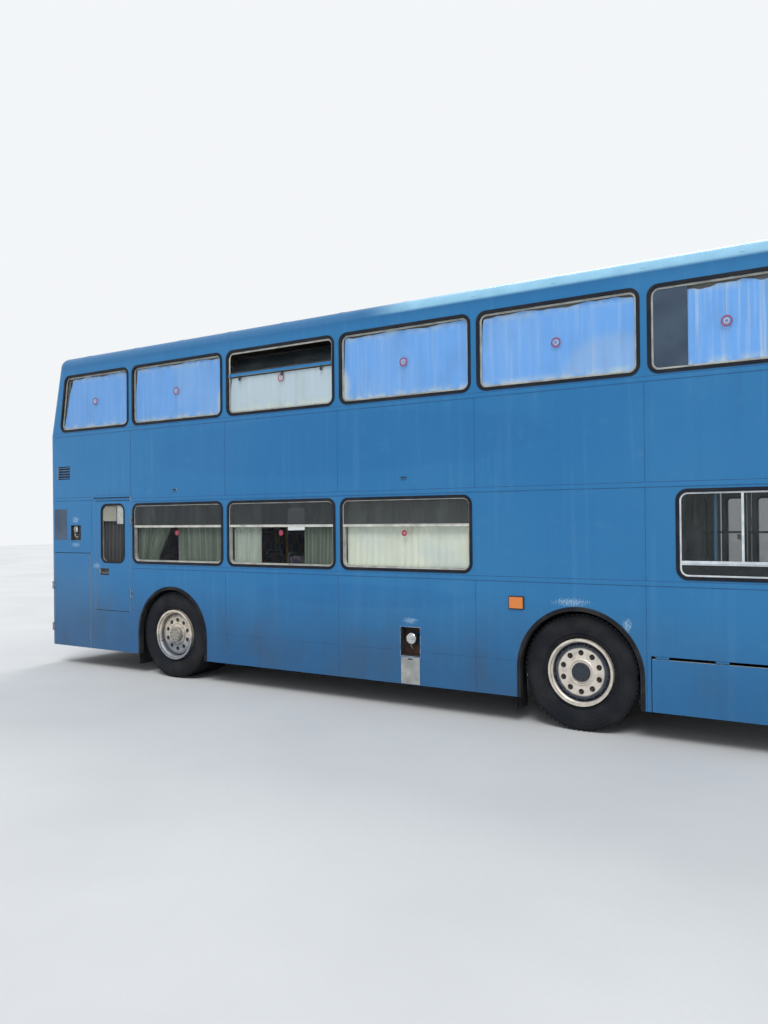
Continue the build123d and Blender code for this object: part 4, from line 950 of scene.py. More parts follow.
LEATHER = Finish(
    "driver_vinyl", "seat_vinyl", srgb(40, 38, 40), srgb(62, 56, 54), 0.5, cloud=9, grain=260, depth=0.0004
)
NOSING = Finish(
    "step_nosing", "bare_aluminium", srgb(212, 190, 92), srgb(160, 150, 110), 0.5, cloud=14, dust=(DUST, 0.3)
)
BLANK_CLOTH = Finish(
    "blank_roller_blind", "dark_plastic", srgb(26, 27, 29), srgb(40, 41, 43), 0.7, cloud=3, grain=260,
    depth=0.0002,
)
PLATE_WHITE = Finish(
    "blank_plate_white", "lining_board", srgb(224, 224, 218), srgb(206, 206, 200), 0.45, cloud=9,
    dust=(DUST, 0.15),
)
PLATE_YELLOW = Finish(
    "blank_plate_yellow", "lining_board", srgb(224, 188, 62), srgb(204, 170, 58), 0.45, cloud=9,
    dust=(DUST, 0.15),
)
EXHAUST = Finish(
    "exhaust_pipe", "chassis_paint", srgb(82, 70, 62), srgb(46, 36, 32), 0.7, cloud=11, grain=80, depth=0.0008
)
AXLE_NUT = Finish(
    "wheel_nut_steel", "wheel_metal", srgb(26, 26, 29), srgb(48, 40, 38), 0.6, metallic=0.2, cloud=30,
    dust=(DUST, 0.12),
)
STEEL_GREY = Finish(
    "grey_steel", "wheel_metal", srgb(104, 108, 112), srgb(80, 82, 84), 0.5, metallic=0.4, cloud=10,
    dust=(DUST, 0.2),
)
SHELL = Finish(
    "seat_shell", "dark_plastic", srgb(62, 66, 74), srgb(48, 50, 56), 0.6, cloud=5, grain=300, depth=0.0002,
    dust=(DUST, 0.15),
)
BLUE_POLE = Finish("pale_blue_pole", "bare_aluminium", srgb(120, 200, 250), srgb(104, 184, 236), 0.4, cloud=9)
SLATE_BOARD = Finish(
    "slate_board", "dark_plastic", srgb(74, 90, 110), srgb(60, 76, 96), 0.7, cloud=4, grain=200, depth=0.0002
)
MIRROR = Finish(
    "mirror_silver", "wheel_metal", srgb(226, 230, 232), srgb(214, 220, 224), 0.06, metallic=1.0, cloud=3,
    grain=20, depth=0.0,
)

# The finish of each CAD node, by the start of its name
NODE_FINISHES: list[tuple[tuple[str, ...], Finish]] = [
    (("lower_side", "upper_side", "rear_lower", "rear_upper", "front_lower", "front_upper", "roof"), PAINT),
    (("emergency_door", "engine_side_flap", "skirt_flap", "engine_bonnet", "entrance"), PAINT),
    (("window_gaskets",), RUBBER),
    (("arch_rubbers",), FLAP_RUBBER),
    (("lower_deck_glass",), LOWER_GLASS),
    (("upper_deck_glass", "emergency_door_glass"), GLASS),
    (("entrance_front_inner_glass", "entrance_front_outer_glass"), GLASS),
    (("entrance_rear_inner_glass", "entrance_rear_outer_glass"), GLASS),
    (("chassis_frame",), CHASSIS),
    (("front_axle_beam", "rear_axle", "leaf_springs", "steering_knuckle"), AXLE),
    (("wheel_housings",), UNDERSEAL),
    (("engine_block",), IRON),
    (("engine_bulkhead", "cab_partition"), LINING),
    (("fuel_tank",), TANK),
    (("lower_floor", "upper_floor", "staircase"), LINO),
    (("dashboard", "steering_wheel", "mirrors"), PLASTIC),
    (("front_wheel",), FRONT_WHEEL),
    (("rear_wheels",), REAR_WHEEL),
    (("front_tyre", "rear_tyres"), TYRE),
    (("headlamps",), CLEAR_LENS),
    (("rear_lamps",), RED_LENS),
    (("marker_lamps",), AMBER),
    (("lower_seats", "upper_seats", "driver_seat"), SEAT_CLOTH),
    (("window_liners",), FOIL),
    (("curtains", "door_curtain"), CURTAIN),
]


def dress_nodes() -> None:
    """Gives each CAD node its finish. A later row wins over an earlier one."""
    for name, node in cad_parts.items():
        finish = [row_finish for starts, row_finish in NODE_FINISHES if name.startswith(starts)][-1]
        node.data.materials.clear()
        node.data.materials.append(finish.material())
        LOG.info("%s wears %s", name, finish.name)


@dataclass(frozen=True)
class Studio:
    """Pale floor, soft light and the camera.

    Attributes:
        camera_at: Place of the camera.
        yaw: Its turn to the left from looking along Y, in degrees.
        pitch: Its tilt upwards, in degrees.
        roll: Its lean, in degrees.
        lens: Its focal length in millimetres.
        sensor: Width of its film in millimetres.
        floor_half: Half the size of the floor.
    """

    camera_at: Point = (5.0, -8.25, 1.83)
    yaw: float = 32.85
    pitch: float = 0.57
    roll: float = -0.49
    lens: float = 29.74
    sensor: float = 36.0
    floor_half: float = 60.0

    def build(self) -> None:
        """Makes the floor, the lights, the world and the camera."""
        self._floor()
        self._light()
        self._camera()
        bpy.context.scene.view_settings.view_transform = "Standard"

    def _floor(self) -> None:
        """A wide pale floor, which isn't part of the object."""
        half = self.floor_half
        data = bpy.data.meshes.new("studio_floor")
        corners = [(-half, -half, 0), (half, -half, 0), (half, half, 0), (-half, half, 0)]
        data.from_pydata(corners, [], [(0, 1, 2, 3)])
        floor = bpy.data.objects.new("studio_floor", data)
        bpy.context.scene.collection.objects.link(floor)
        pale = Finish(
            "studio_floor", "floor_lino", srgb(206, 206, 204), srgb(198, 198, 197), 0.9, cloud=0.4, grain=30
        )
        data.materials.append(pale.material())

    def _light(self) -> None:
        """A bright even world and one broad high lamp."""
        world = bpy.data.worlds.new("studio_world")
        bpy.context.scene.world = world
        world.use_nodes = True
        graph = Graph(world.node_tree)
        path = graph.node("ShaderNodeLightPath")
        outputs = path.socket.node.outputs
        seen = path.most(
            Value(graph, outputs["Is Transmission Ray"])
        ).most(Value(graph, outputs["Is Glossy Ray"]))
        colour = graph.blend(seen, (0.83, 0.89, 0.97), (0.9, 0.92, 0.94))
        strength = seen * 0.2 + 0.8
        light = graph.node("ShaderNodeBackground", None, {"Color": colour, "Strength": strength})
        graph.node("ShaderNodeOutputWorld", None, {"Surface": light})
        for name, energy, turn in (("key", 1.7, (38, 0, 25)), ("back", 0.9, (-42, 0, 20))):
            lamp = bpy.data.lights.new(f"{name}_lamp", "SUN")
            lamp.energy = energy
            lamp.angle = math.radians(25)
            placed = bpy.data.objects.new(f"{name}_lamp", lamp)
            placed.rotation_euler = [math.radians(a) for a in turn]
            bpy.context.scene.collection.objects.link(placed)

    def _camera(self) -> None:
        """The camera, at the photographer's place."""
        yaw, pitch, roll = (math.radians(a) for a in (self.yaw, self.pitch, self.roll))
        forward = Vector((-math.sin(yaw) * math.cos(pitch), math.cos(yaw) * math.cos(pitch), math.sin(pitch)))
        level = Vector((math.cos(yaw), math.sin(yaw), 0.0))
        up = level.cross(forward)
        right = math.cos(roll) * level + math.sin(roll) * up
        top = right.cross(forward)
        data = bpy.data.cameras.new("camera")
        data.lens = self.lens
        data.sensor_width = self.sensor
        data.sensor_fit = "AUTO"
        data.clip_end = 200.0
        camera = bpy.data.objects.new("camera", data)
        turn = Matrix((right, top, -forward)).transposed().to_4x4()
        camera.matrix_world = Matrix.Translation(self.camera_at) @ turn
        bpy.context.scene.collection.objects.link(camera)
        bpy.context.scene.camera = camera


# Meshes


def oblong(x: Flat, z: Flat) -> list[Flat]:
    """A rectangle's four corners, turning left."""
    return [(x[0], z[0]), (x[1], z[0]), (x[1], z[1]), (x[0], z[1])]


def washer(inner: float, outer: float, thick: float, start: float = 0.0) -> list[Flat]:
    """A flat ring's closed profile, to be turned: radius and distance along the axis."""
    return [(inner, start), (outer, start), (outer, thick), (inner, thick)]


def rounded(x: Flat, z: Flat, radius: float, steps: int = 6) -> list[Flat]:
    """A rectangle's outline with round corners, turning left all the way.

    Args:
        x: Low and high side.
        z: Low and high side.
        radius: Corner radius.
        steps: Points to a corner.

    Returns:
        The outline.
    """
    middles = [(x[1] - radius, z[0] + radius), (x[1] - radius, z[1] - radius)]
    middles += [(x[0] + radius, z[1] - radius), (x[0] + radius, z[0] + radius)]
    outline = []
    for corner, (mx, mz) in enumerate(middles):
        for step in range(steps + 1):
            angle = math.radians(90 * (corner - 1) + 90 * step / steps)
            outline.append((mx + radius * math.cos(angle), mz + radius * math.sin(angle)))
    return outline


def smoothed(corners: Sequence[Flat], radius: float, steps: int = 6) -> list[Flat]:
    """A convex polygon's outline with its corners rounded.

    Args:
        corners: The corners, turning left.
        radius: Corner radius.
        steps: Points to a corner.

    Returns:
        The outline.
    """
    outline = []
    for i, corner in enumerate(corners):
        here = Vector(corner)
        back = (Vector(corners[i - 1]) - here).normalized()
        ahead = (Vector(corners[(i + 1) % len(corners)]) - here).normalized()
        half = back.angle(ahead) / 2
        reach = radius / math.tan(half)
        middle = here + (back + ahead).normalized() * (radius / math.sin(half))
        start, end = here + back * reach - middle, here + ahead * reach - middle
        turn = start.angle_signed(end)
        for step in range(steps + 1):
            angle = -turn * step / steps
            spoke = Matrix.Rotation(angle, 2) @ start
            outline.append(tuple(middle + spoke))
    return outline


def inset(outline: Sequence[Flat], amount: float) -> list[Flat]:
    """An outline moved inwards by an even amount.

    Args:
        outline: A convex outline, turning left.
        amount: How far.

    Returns:
        The new outline, point for point.
    """
    moved = []
    for i, point in enumerate(outline):
        here = Vector(point)
        back, ahead = here - Vector(outline[i - 1]), Vector(outline[(i + 1) % len(outline)]) - here
        ways = [Vector((-w.y, w.x)).normalized() for w in (back, ahead) if w.length > 1e-7]
        mean = sum(ways, Vector((0.0, 0.0))).normalized()
        moved.append(tuple(here + mean * amount / max(mean.dot(ways[0]), 0.3)))
    return moved


class Shape:
    """Closed solids gathered into one piece, in the row frame."""

    def __init__(self) -> None:
        """Starts empty."""
        self.points: list[Point] = []
        self.faces: list[tuple[int, ...]] = []

    def add(self, points: Iterable[Point], faces: Iterable[Sequence[int]]) -> "Shape":
        """Adds one solid.

        Args:
            points: Its points.
            faces: Its faces, as places in `points`.

        Returns:
            This shape.
        """
        start = len(self.points)
        self.points.extend(tuple(p) for p in points)
        self.faces.extend(tuple(start + i for i in face) for face in faces)
        return self

    def loft(self, rings: Sequence[Sequence[Point]], closed: bool = False) -> "Shape":
        """Adds a solid through rings of equally many points.

        Args:
            rings: The rings in order.
            closed: Whether the last ring joins the first. If not, both ends are capped.

        Returns:
            This shape.
        """
        count, rows = len(rings[0]), len(rings)
        faces = []
        for row in range(rows if closed else rows - 1):
            low, high = row * count, (row + 1) % rows * count
            for i in range(count):
                j = (i + 1) % count
                faces.append((low + i, low + j, high + j, high + i))
        if not closed:
            end = (rows - 1) * count
            faces.append(tuple(range(count))[::-1])
            faces.append(tuple(range(end, end + count)))
        return self.add([p for one in rings for p in one], faces)

    def slab(self, outline: Sequence[Flat], y: Flat, edge: float = 0.0) -> "Shape":
        """Adds a plate with its outline in X and Z.

        Args:
            outline: The outline.
            y: Low and high face.
            edge: Width of the chamfer round both faces.

        Returns:
            This shape.
        """
        if not edge:
            return self.loft([[(u, level, v) for u, v in outline] for level in y])
        small = inset(outline, edge)
        levels = ((y[0], small), (y[0] + edge, outline), (y[1] - edge, outline), (y[1], small))
        return self.loft([[(u, level, v) for u, v in line] for level, line in levels])

    def box(self, x: Flat, y: Flat, z: Flat, edge: float = 0.0) -> "Shape":
        """Adds a box with chamfered edges."""
        return self.slab(oblong(x, z), tuple(sorted(y)), edge)

    def hoop(self, outline: Sequence[Flat], width: float, y: Flat, edge: float = 0.0) -> "Shape":
        """Adds a flat frame that follows an outline in X and Z.

        Args:
            outline: Its outer edge.
            width: How wide it is.
            y: Low and high face.
            edge: Chamfer of its high face's two edges.

        Returns:
            This shape.
        """
        inner = inset(outline, width)
        face, back = y
        step = edge if face > back else -edge
        lines = [(outline, back), (outline, face - step), (inset(outline, edge), face)]
        lines += [(inset(outline, width - edge), face), (inner, face - step), (inner, back)]
        return self.loft([[(u, level, v) for u, v in line] for line, level in lines], closed=True)

    def turned(
        self, profile: Sequence[Flat], middle: Point, steps: int = 32, way: Point = (0, 1, 0),
        closed: bool = False,
    ) -> "Shape":
        """Adds a turned solid.

        Args:
            profile: Radius and distance along the axis, point by point.
            middle: Where the axis starts.
            steps: Points round it.
            way: The axis.
            closed: Whether the profile is a closed loop, as a ring's is.

        Returns:
            This shape.
        """
        axis = Vector(way).normalized()
        across = axis.orthogonal().normalized()
        up = axis.cross(across)
        spokes = []
        for step in range(steps):
            angle = math.tau * step / steps
            spokes.append(across * math.cos(angle) + up * math.sin(angle))
        origin = Vector(middle)
        rings = [[tuple(origin + axis * far + spoke * radius) for spoke in spokes] for radius, far in profile]
        return self.loft(rings, closed)

    def tube(self, path: Sequence[Point], radius: float, sides: int = 10, closed: bool = False) -> "Shape":
        """Adds a round bar along a path.

        Args:
            path: Its points.
            radius: Its radius.
            sides: Points round it.
            closed: Whether it closes on itself.

        Returns:
            This shape.
        """
        points = [Vector(p) for p in path]
        last = len(points) - 1
        rings = []
        across = None
        for i, here in enumerate(points):
            back = points[i - 1] if i or closed else here
            ahead = points[(i + 1) % len(points)] if i < last or closed else here
            tangent = (ahead - back).normalized()
            if across is None:
                across = tangent.orthogonal()
            across = (across - tangent * across.dot(tangent)).normalized()
            up = tangent.cross(across)
            turns = [math.tau * k / sides for k in range(sides)]
            rings.append(
                [tuple(here + across * radius * math.cos(t) + up * radius * math.sin(t)) for t in turns]
            )
        return self.loft(rings, closed)

    def ribbon(self, path: Line, width: float, thick: float, sunk: float = 0.002) -> "Shape":
        """Adds a strip that lies on a surface along a path.

        Args:
            path: Points on the surface with the surface's normals there.
            width: The strip's width.
            thick: How proud it stands.
            sunk: How far its back reaches under the surface.

        Returns:
            This shape.
        """
        rings = []
        for i, (point, normal) in enumerate(path):
            back, ahead = Vector(path[max(i - 1, 0)][0]), Vector(path[min(i + 1, len(path) - 1)][0])
            out = Vector(normal).normalized()
            side = (ahead - back).normalized().cross(out).normalized() * width / 2
            edge = min(thick * 0.5, width * 0.2)
            here = Vector(point)
            inward = side.normalized() * edge
            rings.append([
                tuple(here - side - out * sunk), tuple(here + side - out * sunk),
                tuple(here + side + out * (thick - edge)), tuple(here + side - inward + out * thick),
                tuple(here - side + inward + out * thick), tuple(here - side + out * (thick - edge)),
            ])
        return self.loft(rings)

    def mesh(self, name: str) -> bpy.types.Mesh:
        """The gathered solids as one mesh, their faces outwards.

        Args:
            name: The mesh's name.

        Returns:
            The mesh.
        """
        data = bpy.data.meshes.new(name)
        data.from_pydata(self.points, [], self.faces)
        work = bmesh.new()
        work.from_mesh(data)
        bmesh.ops.recalc_face_normals(work, faces=work.faces)
        work.to_mesh(data)
        work.free()
        return data

    def place(
        self, name: str, finish: Finish, body: str = BODY, replaces: Sequence[str] = (), sharp: float = 32.0
    ) -> bpy.types.Object:
        """Makes the piece, as `settle` does."""
        return settle(self.mesh(name), name, finish, body, replaces, sharp)


def settle(
    data: bpy.types.Mesh, name: str, finish: Finish, body: str = BODY, replaces: Sequence[str] = (),
    sharp: float = 32.0,
) -> bpy.types.Object:
    """Links a mesh as a finished piece.

    Args:
        data: Its mesh, in place.
        name: The piece's name.
        finish: Its finish.
        body: The body that it rides on.
        replaces: CAD nodes that it stands for.
        sharp: Edges bent more than this many degrees stay sharp.

    Returns:
        The piece.
    """
    data.shade_smooth()
    data.set_sharp_from_angle(angle=math.radians(sharp))
    data.materials.clear()
    data.materials.append(finish.material())
    piece = bpy.data.objects.new(name, data)
    bpy.context.scene.collection.objects.link(piece)
    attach(piece, body)
    if replaces:
        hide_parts(*replaces)
    LOG.info("%s: %d faces on %s", name, len(data.polygons), body)
    return piece


class Skin:
    """The outer surface of chosen CAD nodes, to lay trim on."""

    def __init__(self, *names: str) -> None:
        """Builds a search tree over the nodes' meshes.

        Args:
            names: Starts of the nodes' names.
        """
        points, faces = [], []
        for name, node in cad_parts.items():
            if name.startswith(names):
                start = len(points)
                points.extend(v.co.copy() for v in node.data.vertices)
                faces.extend([start + i for i in p.vertices] for p in node.data.polygons)
        self.tree = BVHTree.FromPolygons(points, faces)

    def hit(self, origin: Point, way: Point) -> tuple[Point, Point] | None:
        """The first point met from outside.

        Args:
            origin: Where the search starts.
            way: Its direction.

        Returns:
            The point and the surface's normal there, or None.
        """
        point, normal, _, _ = self.tree.ray_cast(Vector(origin), Vector(way))
        return None if point is None else (tuple(point), tuple(normal))

    def line(self, origins: Iterable[Point], way: Point) -> Line:
        """The points met from a row of origins.

        Args:
            origins: Where each search starts.
            way: Their direction.

        Returns:
            Points and normals, leaving out what met nothing.
        """
        found = [self.hit(origin, way) for origin in origins]
        return [one for one in found if one is not None]


class Unit(enum.Enum):
    """What a row repeats."""

    DOME = "dome"
    BLOCK = "block"


@dataclass(frozen=True)
class Row:
    """Small units repeated along lines by Geometry Nodes.

    Attributes:
        unit: What is repeated.
        pitch: Distance between two units.
        size: Along the line, across it and out from the surface.
    """

    unit: Unit
    pitch: float
    size: Point

    def tree(self, finish: Finish) -> bpy.types.NodeTree:
        """The node tree, with the pitch and the unit's size as inputs.

        Args:
            finish: The finish of the units.

        Returns:
            The tree.
        """
        tree = bpy.data.node_groups.new(f"row_of_{self.unit.value}s", "GeometryNodeTree")
        sides = tree.interface
        sides.new_socket("Lines", in_out="INPUT", socket_type="NodeSocketGeometry")
        for name in ("Pitch", "Long", "Wide", "High"):
            sides.new_socket(name, in_out="INPUT", socket_type="NodeSocketFloat")
        sides.new_socket("Units", in_out="OUTPUT", socket_type="NodeSocketGeometry")

        def node(kind: str, **links: object) -> bpy.types.Node:
            """Adds a node and links or sets its inputs by name.

            Args:
                kind: The node's type.
                links: Values or outputs for its inputs, a blank in a name as an underscore.

            Returns:
                The node.
            """
            made = tree.nodes.new(kind)
            for name, value in links.items():
                target = next(i for i in made.inputs if i.name == name.replace("_", " ") and i.enabled)
                if isinstance(value, bpy.types.NodeSocket):
                    tree.links.new(value, target)
                else:
                    target.default_value = value
            return made

        given = node("NodeGroupInput").outputs
        curve = node("GeometryNodeMeshToCurve", Mesh=given["Lines"])
        even = tree.nodes.new("GeometryNodeResampleCurve")
        even.mode = "LENGTH"
        tree.links.new(curve.outputs[0], even.inputs["Curve"])
        tree.links.new(given["Pitch"], even.inputs["Length"])
        outward = tree.nodes.new("GeometryNodeInputNamedAttribute")
        outward.data_type = "FLOAT_VECTOR"
        outward.inputs["Name"].default_value = "outward"
        up = tree.nodes.new("FunctionNodeAlignRotationToVector")
        up.axis = "Z"
        tree.links.new(outward.outputs["Attribute"], up.inputs["Vector"])
        along = tree.nodes.new("FunctionNodeAlignRotationToVector")
        along.axis, along.pivot_axis = "X", "Z"
        tree.links.new(up.outputs[0], along.inputs["Rotation"])
        tree.links.new(tree.nodes.new("GeometryNodeInputTangent").outputs[0], along.inputs["Vector"])
        size = node("ShaderNodeCombineXYZ", X=given["Long"], Y=given["Wide"], Z=given["High"]).outputs[0]
        if self.unit is Unit.DOME:
            unit = node("GeometryNodeMeshUVSphere", Segments=7, Rings=4, Radius=0.5).outputs[0]
        else:
            unit = node("GeometryNodeMeshCube").outputs[0]
        shaped = node("GeometryNodeTransform", Geometry=unit, Scale=size).outputs[0]
        spread = node(
            "GeometryNodeInstanceOnPoints", Points=even.outputs[0], Instance=shaped, Rotation=along.outputs[0]
        )
        real = node("GeometryNodeRealizeInstances", Geometry=spread.outputs[0])
        dressed = node("GeometryNodeSetMaterial", Geometry=real.outputs[0], Material=finish.material())
        tree.links.new(dressed.outputs[0], tree.nodes.new("NodeGroupOutput").inputs[0])
        return tree

    def lay(self, name: str, lines: Sequence[Line], finish: Finish, body: str = BODY) -> bpy.types.Object:
        """Repeats the unit along lines and makes the result a piece.

        Args:
            name: The piece's name.
            lines: Each line's points and outward directions.
            finish: Its finish.
            body: The body that it rides on.

        Returns:
            The piece.
        """
        points, edges, outs = [], [], []
        for line in lines:
            start = len(points)
            points.extend(point for point, _ in line)
            outs.extend(out for _, out in line)
            edges.extend((start + i, start + i + 1) for i in range(len(line) - 1))
        data = bpy.data.meshes.new(f"{name}_lines")
        data.from_pydata(points, edges, [])
        outward = data.attributes.new("outward", "FLOAT_VECTOR", "POINT")
        outward.data.foreach_set("vector", [c for out in outs for c in out])
        guide = bpy.data.objects.new(f"{name}_lines", data)
        bpy.context.scene.collection.objects.link(guide)
        modifier = guide.modifiers.new("row", "NODES")
        tree = self.tree(finish)
        modifier.node_group = tree
        values = dict(zip(("Pitch", "Long", "Wide", "High"), (self.pitch, *self.size)))
        for item in tree.interface.items_tree:
            if item.in_out == "INPUT" and item.name in values:
                modifier[item.identifier] = values[item.name]
        evaluated = guide.evaluated_get(bpy.context.evaluated_depsgraph_get())
        result = bpy.data.meshes.new_from_object(evaluated)
        result.name = name
        bpy.data.objects.remove(guide)
        return settle(result, name, finish, body)


def flat_line(start: Point, end: Point, out: Point) -> Line:
    """A straight line with one outward direction."""
    return [(start, out), (end, out)]


# Sub-assemblies


def upper_outline(bay: int) -> list[Flat]:
    """The cut of an upper side window.

    Args:
        bay: 0 to 3 from the front pillar back, 4 at the tail, -1 at the front.

    Returns:
        Its outline.
    """
    pillars, half = BUS.pillars(), BUS.pillar_gap / 2
    if bay == -1:
        return rounded((pillars[0] + half, BUS.front_window_x), BUS.upper_z, BUS.corner)
    if bay == 4:
        low, high = BUS.upper_z
        front = pillars[4] - half
        corners = [(BUS.rear_window_x[0], low), (front, low), (front, high), (BUS.rear_window_x[1], high)]
        return smoothed(corners, BUS.corner)
    return rounded((pillars[bay + 1] + half, pillars[bay] - half), BUS.upper_z, BUS.corner)


def lower_outline(bay: int) -> list[Flat]:
    """The cut of a lower side window, by its bay from the front pillar back."""
    pillars, half = BUS.pillars(), BUS.pillar_gap / 2
    return rounded((pillars[bay + 1] + half, pillars[bay] - half), BUS.lower_z, BUS.corner)


def edges_of(outline: Sequence[Flat]) -> tuple[float, float, float, float]:
    """Low x, high x, low z and high z of an outline."""
    xs, zs = [u for u, _ in outline], [v for _, v in outline]
    return min(xs), max(xs), min(zs), max(zs)


# Width of a cover strip and how proud it stands, then the same of a joint's sealant
STRIP: Flat = (0.037, 0.0026)
SEALANT: Flat = (0.0055, 0.0012)
# From a cover strip's middle to the middle of the sealant along it
STRIP_JOINT = 0.021
RIVETS = Row(Unit.DOME, 0.062, (0.0075, 0.0075, 0.005))


@dataclass
class OneSide:
    """What stands on one long side.

    Attributes:
        side: Which side.
    """

    side: Side

    def _faces(self, *distances: float) -> tuple[float, ...]:
        """Y of each distance from the bus's middle."""
        return tuple(self.side.value * distance for distance in distances)


@dataclass
class SideTrim(OneSide):
    """Cover strips, joints and rivets of one long side, with its gutter and empty lamp mounts.

    Attributes:
        waist_z: Height of the strip under the upper windows.
        deck_z: Height of the strip between the decks.
        sill_z: Height of the strip under the lower windows.
        skirt_z: Height of the joint over the skirt.
    """

    waist_z: float = 2.9745
    deck_z: float = 2.1045
    sill_z: float = 1.294
    skirt_z: float = 0.569

    def build(self) -> None:
        """Makes the strips, the joints and the rivets."""
        strips, joints = Shape(), Shape()
        rows = []
        for z, x0, x1 in self._strips():
            strips.ribbon(self._level(z, x0, x1), *STRIP)
            for edge in (-1, 1):
                joints.ribbon(self._level(z + edge * (STRIP[0] + SEALANT[0]) / 2, x0, x1), *SEALANT)
                rows.append(self._level(z + edge * 0.0105, x0 + 0.02, x1 - 0.02))
        for z, x0, x1 in self._joints():
            joints.ribbon(self._level(z, x0, x1), *SEALANT)
        for x, z0, z1 in self._uprights():
            joints.ribbon(self._upright(x, z0, z1), *SEALANT)
            rows.extend(self._upright(x + shift, z0 + 0.02, z1 - 0.02) for shift in (-0.013, 0.013))
        label = self.side.label
        strips.place(f"cover_strips_{label}", PAINT)
        joints.place(f"sealed_joints_{label}", JOINT)
        RIVETS.lay(f"rivets_{label}", rows, PAINT)
        self._mounts()
        self._gutter()

    def _out(self, *prouds: float) -> tuple[float, ...]:
        """Y at each distance from the side's face."""
        return self._faces(*(BUS.half_width + proud for proud in prouds))

    def _level(self, z: float, x0: float, x1: float) -> Line:
        """A level line on the side."""
        return flat_line((x0, *self._out(0.0), z), (x1, *self._out(0.0), z), (0, self.side.value, 0))

    def _upright(self, x: float, z0: float, z1: float) -> Line:
        """An upright line on the side."""
        return flat_line((x, *self._out(0.0), z0), (x, *self._out(0.0), z1), (0, self.side.value, 0))

    def _strips(self) -> list[Point]:
        """Height, rear end and front end of each cover strip.

        Returns:
            One row to a strip.
        """
        rows = [(self.waist_z, -4.66, 4.40)]
        if self.side is Side.OFFSIDE:
            return rows + [(self.deck_z, -3.165, 4.40), (2.137, -4.66, -3.895), (self.sill_z, -3.165, 4.36)]
        return rows + [(self.deck_z, -4.66, 3.085), (self.sill_z, -4.66, 3.085)]

    def _joints(self) -> list[Point]:
        """Height and ends of each plain joint.

        Returns:
            One row to a joint.
        """
        if self.side is Side.OFFSIDE:
            return [(self.skirt_z, 0.89, 1.86), (self.skirt_z, -1.92, 0.645)]
        return [(self.skirt_z, -1.92, 1.86), (self.skirt_z, -4.66, -3.09)]

    def _uprights(self) -> list[Point]:
        """Place and ends of each upright joint.

        Returns:
            One row to a joint.
        """
        over_deck, high = self.deck_z + STRIP_JOINT, self.waist_z - STRIP_JOINT
        low, pillars = self.sill_z - STRIP_JOINT, BUS.pillars()
        rows = [(x, over_deck, high) for x in pillars[1:]]
        rows += [(x, 0.25, low) for x in pillars[1:4]]
        rows.append((3.033, over_deck, high))
        if self.side is Side.NEARSIDE:
            return rows + [(3.085, 0.26, low)]
        rows.append((3.033, self.sill_z + STRIP_JOINT, self.deck_z - STRIP_JOINT))
        return rows + [(3.033, 0.26, low), (-3.935, 1.47, 2.115), (-3.915, 0.26, 0.70)]

    def _mounts(self) -> None:
        """Empty mounts of the old side lamps: a raised plate round an open slot, the slot a dark insert as
        painted shade.
        """
        plates, slots = Shape(), Shape()
        for x, z in ((-2.442, 2.211), (0.708, 2.243)):
            outline = rounded((x - 0.036, x + 0.036), (z - 0.017, z + 0.017), 0.013, 4)
            plates.hoop(outline, 0.008, self._out(0.009, -0.003), 0.002)
            # The dark insert is painted shade in the open slot.
            slots.box((x - 0.029, x + 0.029), self._out(-0.002, 0.002), (z - 0.010, z + 0.010), 0.0006)
        plates.place(f"lamp_mounts_{self.side.label}", PAINT)
        slots.place(f"lamp_mount_slots_{self.side.label}", DARK_METAL)

    def _gutter(self) -> None:
        """Drip rail over the door, with a drop at its front end, and on the offside a dark strip under it as
        painted shadow.
        """
        offside = self.side is Side.OFFSIDE
        x0, x1, z = (-3.890, -3.198, 2.146) if offside else (3.10, 4.385, 2.132)
        rail = Shape()
        rail.box((x0, x1), self._out(-0.002, 0.015), (z, z + 0.006), 0.001)
        rail.box((x0, x1), self._out(0.0115, 0.015), (z + 0.004, z + 0.019), 0.001)
        if offside:
            rail.box((x1 - 0.010, x1), self._out(-0.002, 0.011), (z - 0.055, z + 0.002), 0.001)
        rail.place(f"door_gutter_{self.side.label}", PAINT)
        # A dark rubber strip under the gutter: painted shadow of the gutter.
        if offside:
            gutter_shadow = Shape().box((x0, x1 - 0.011), self._out(0.0, 0.0105), (z - 0.0085, z - 0.0005), 0.001)
            gutter_shadow.place("door_gutter_shadow", RUBBER)


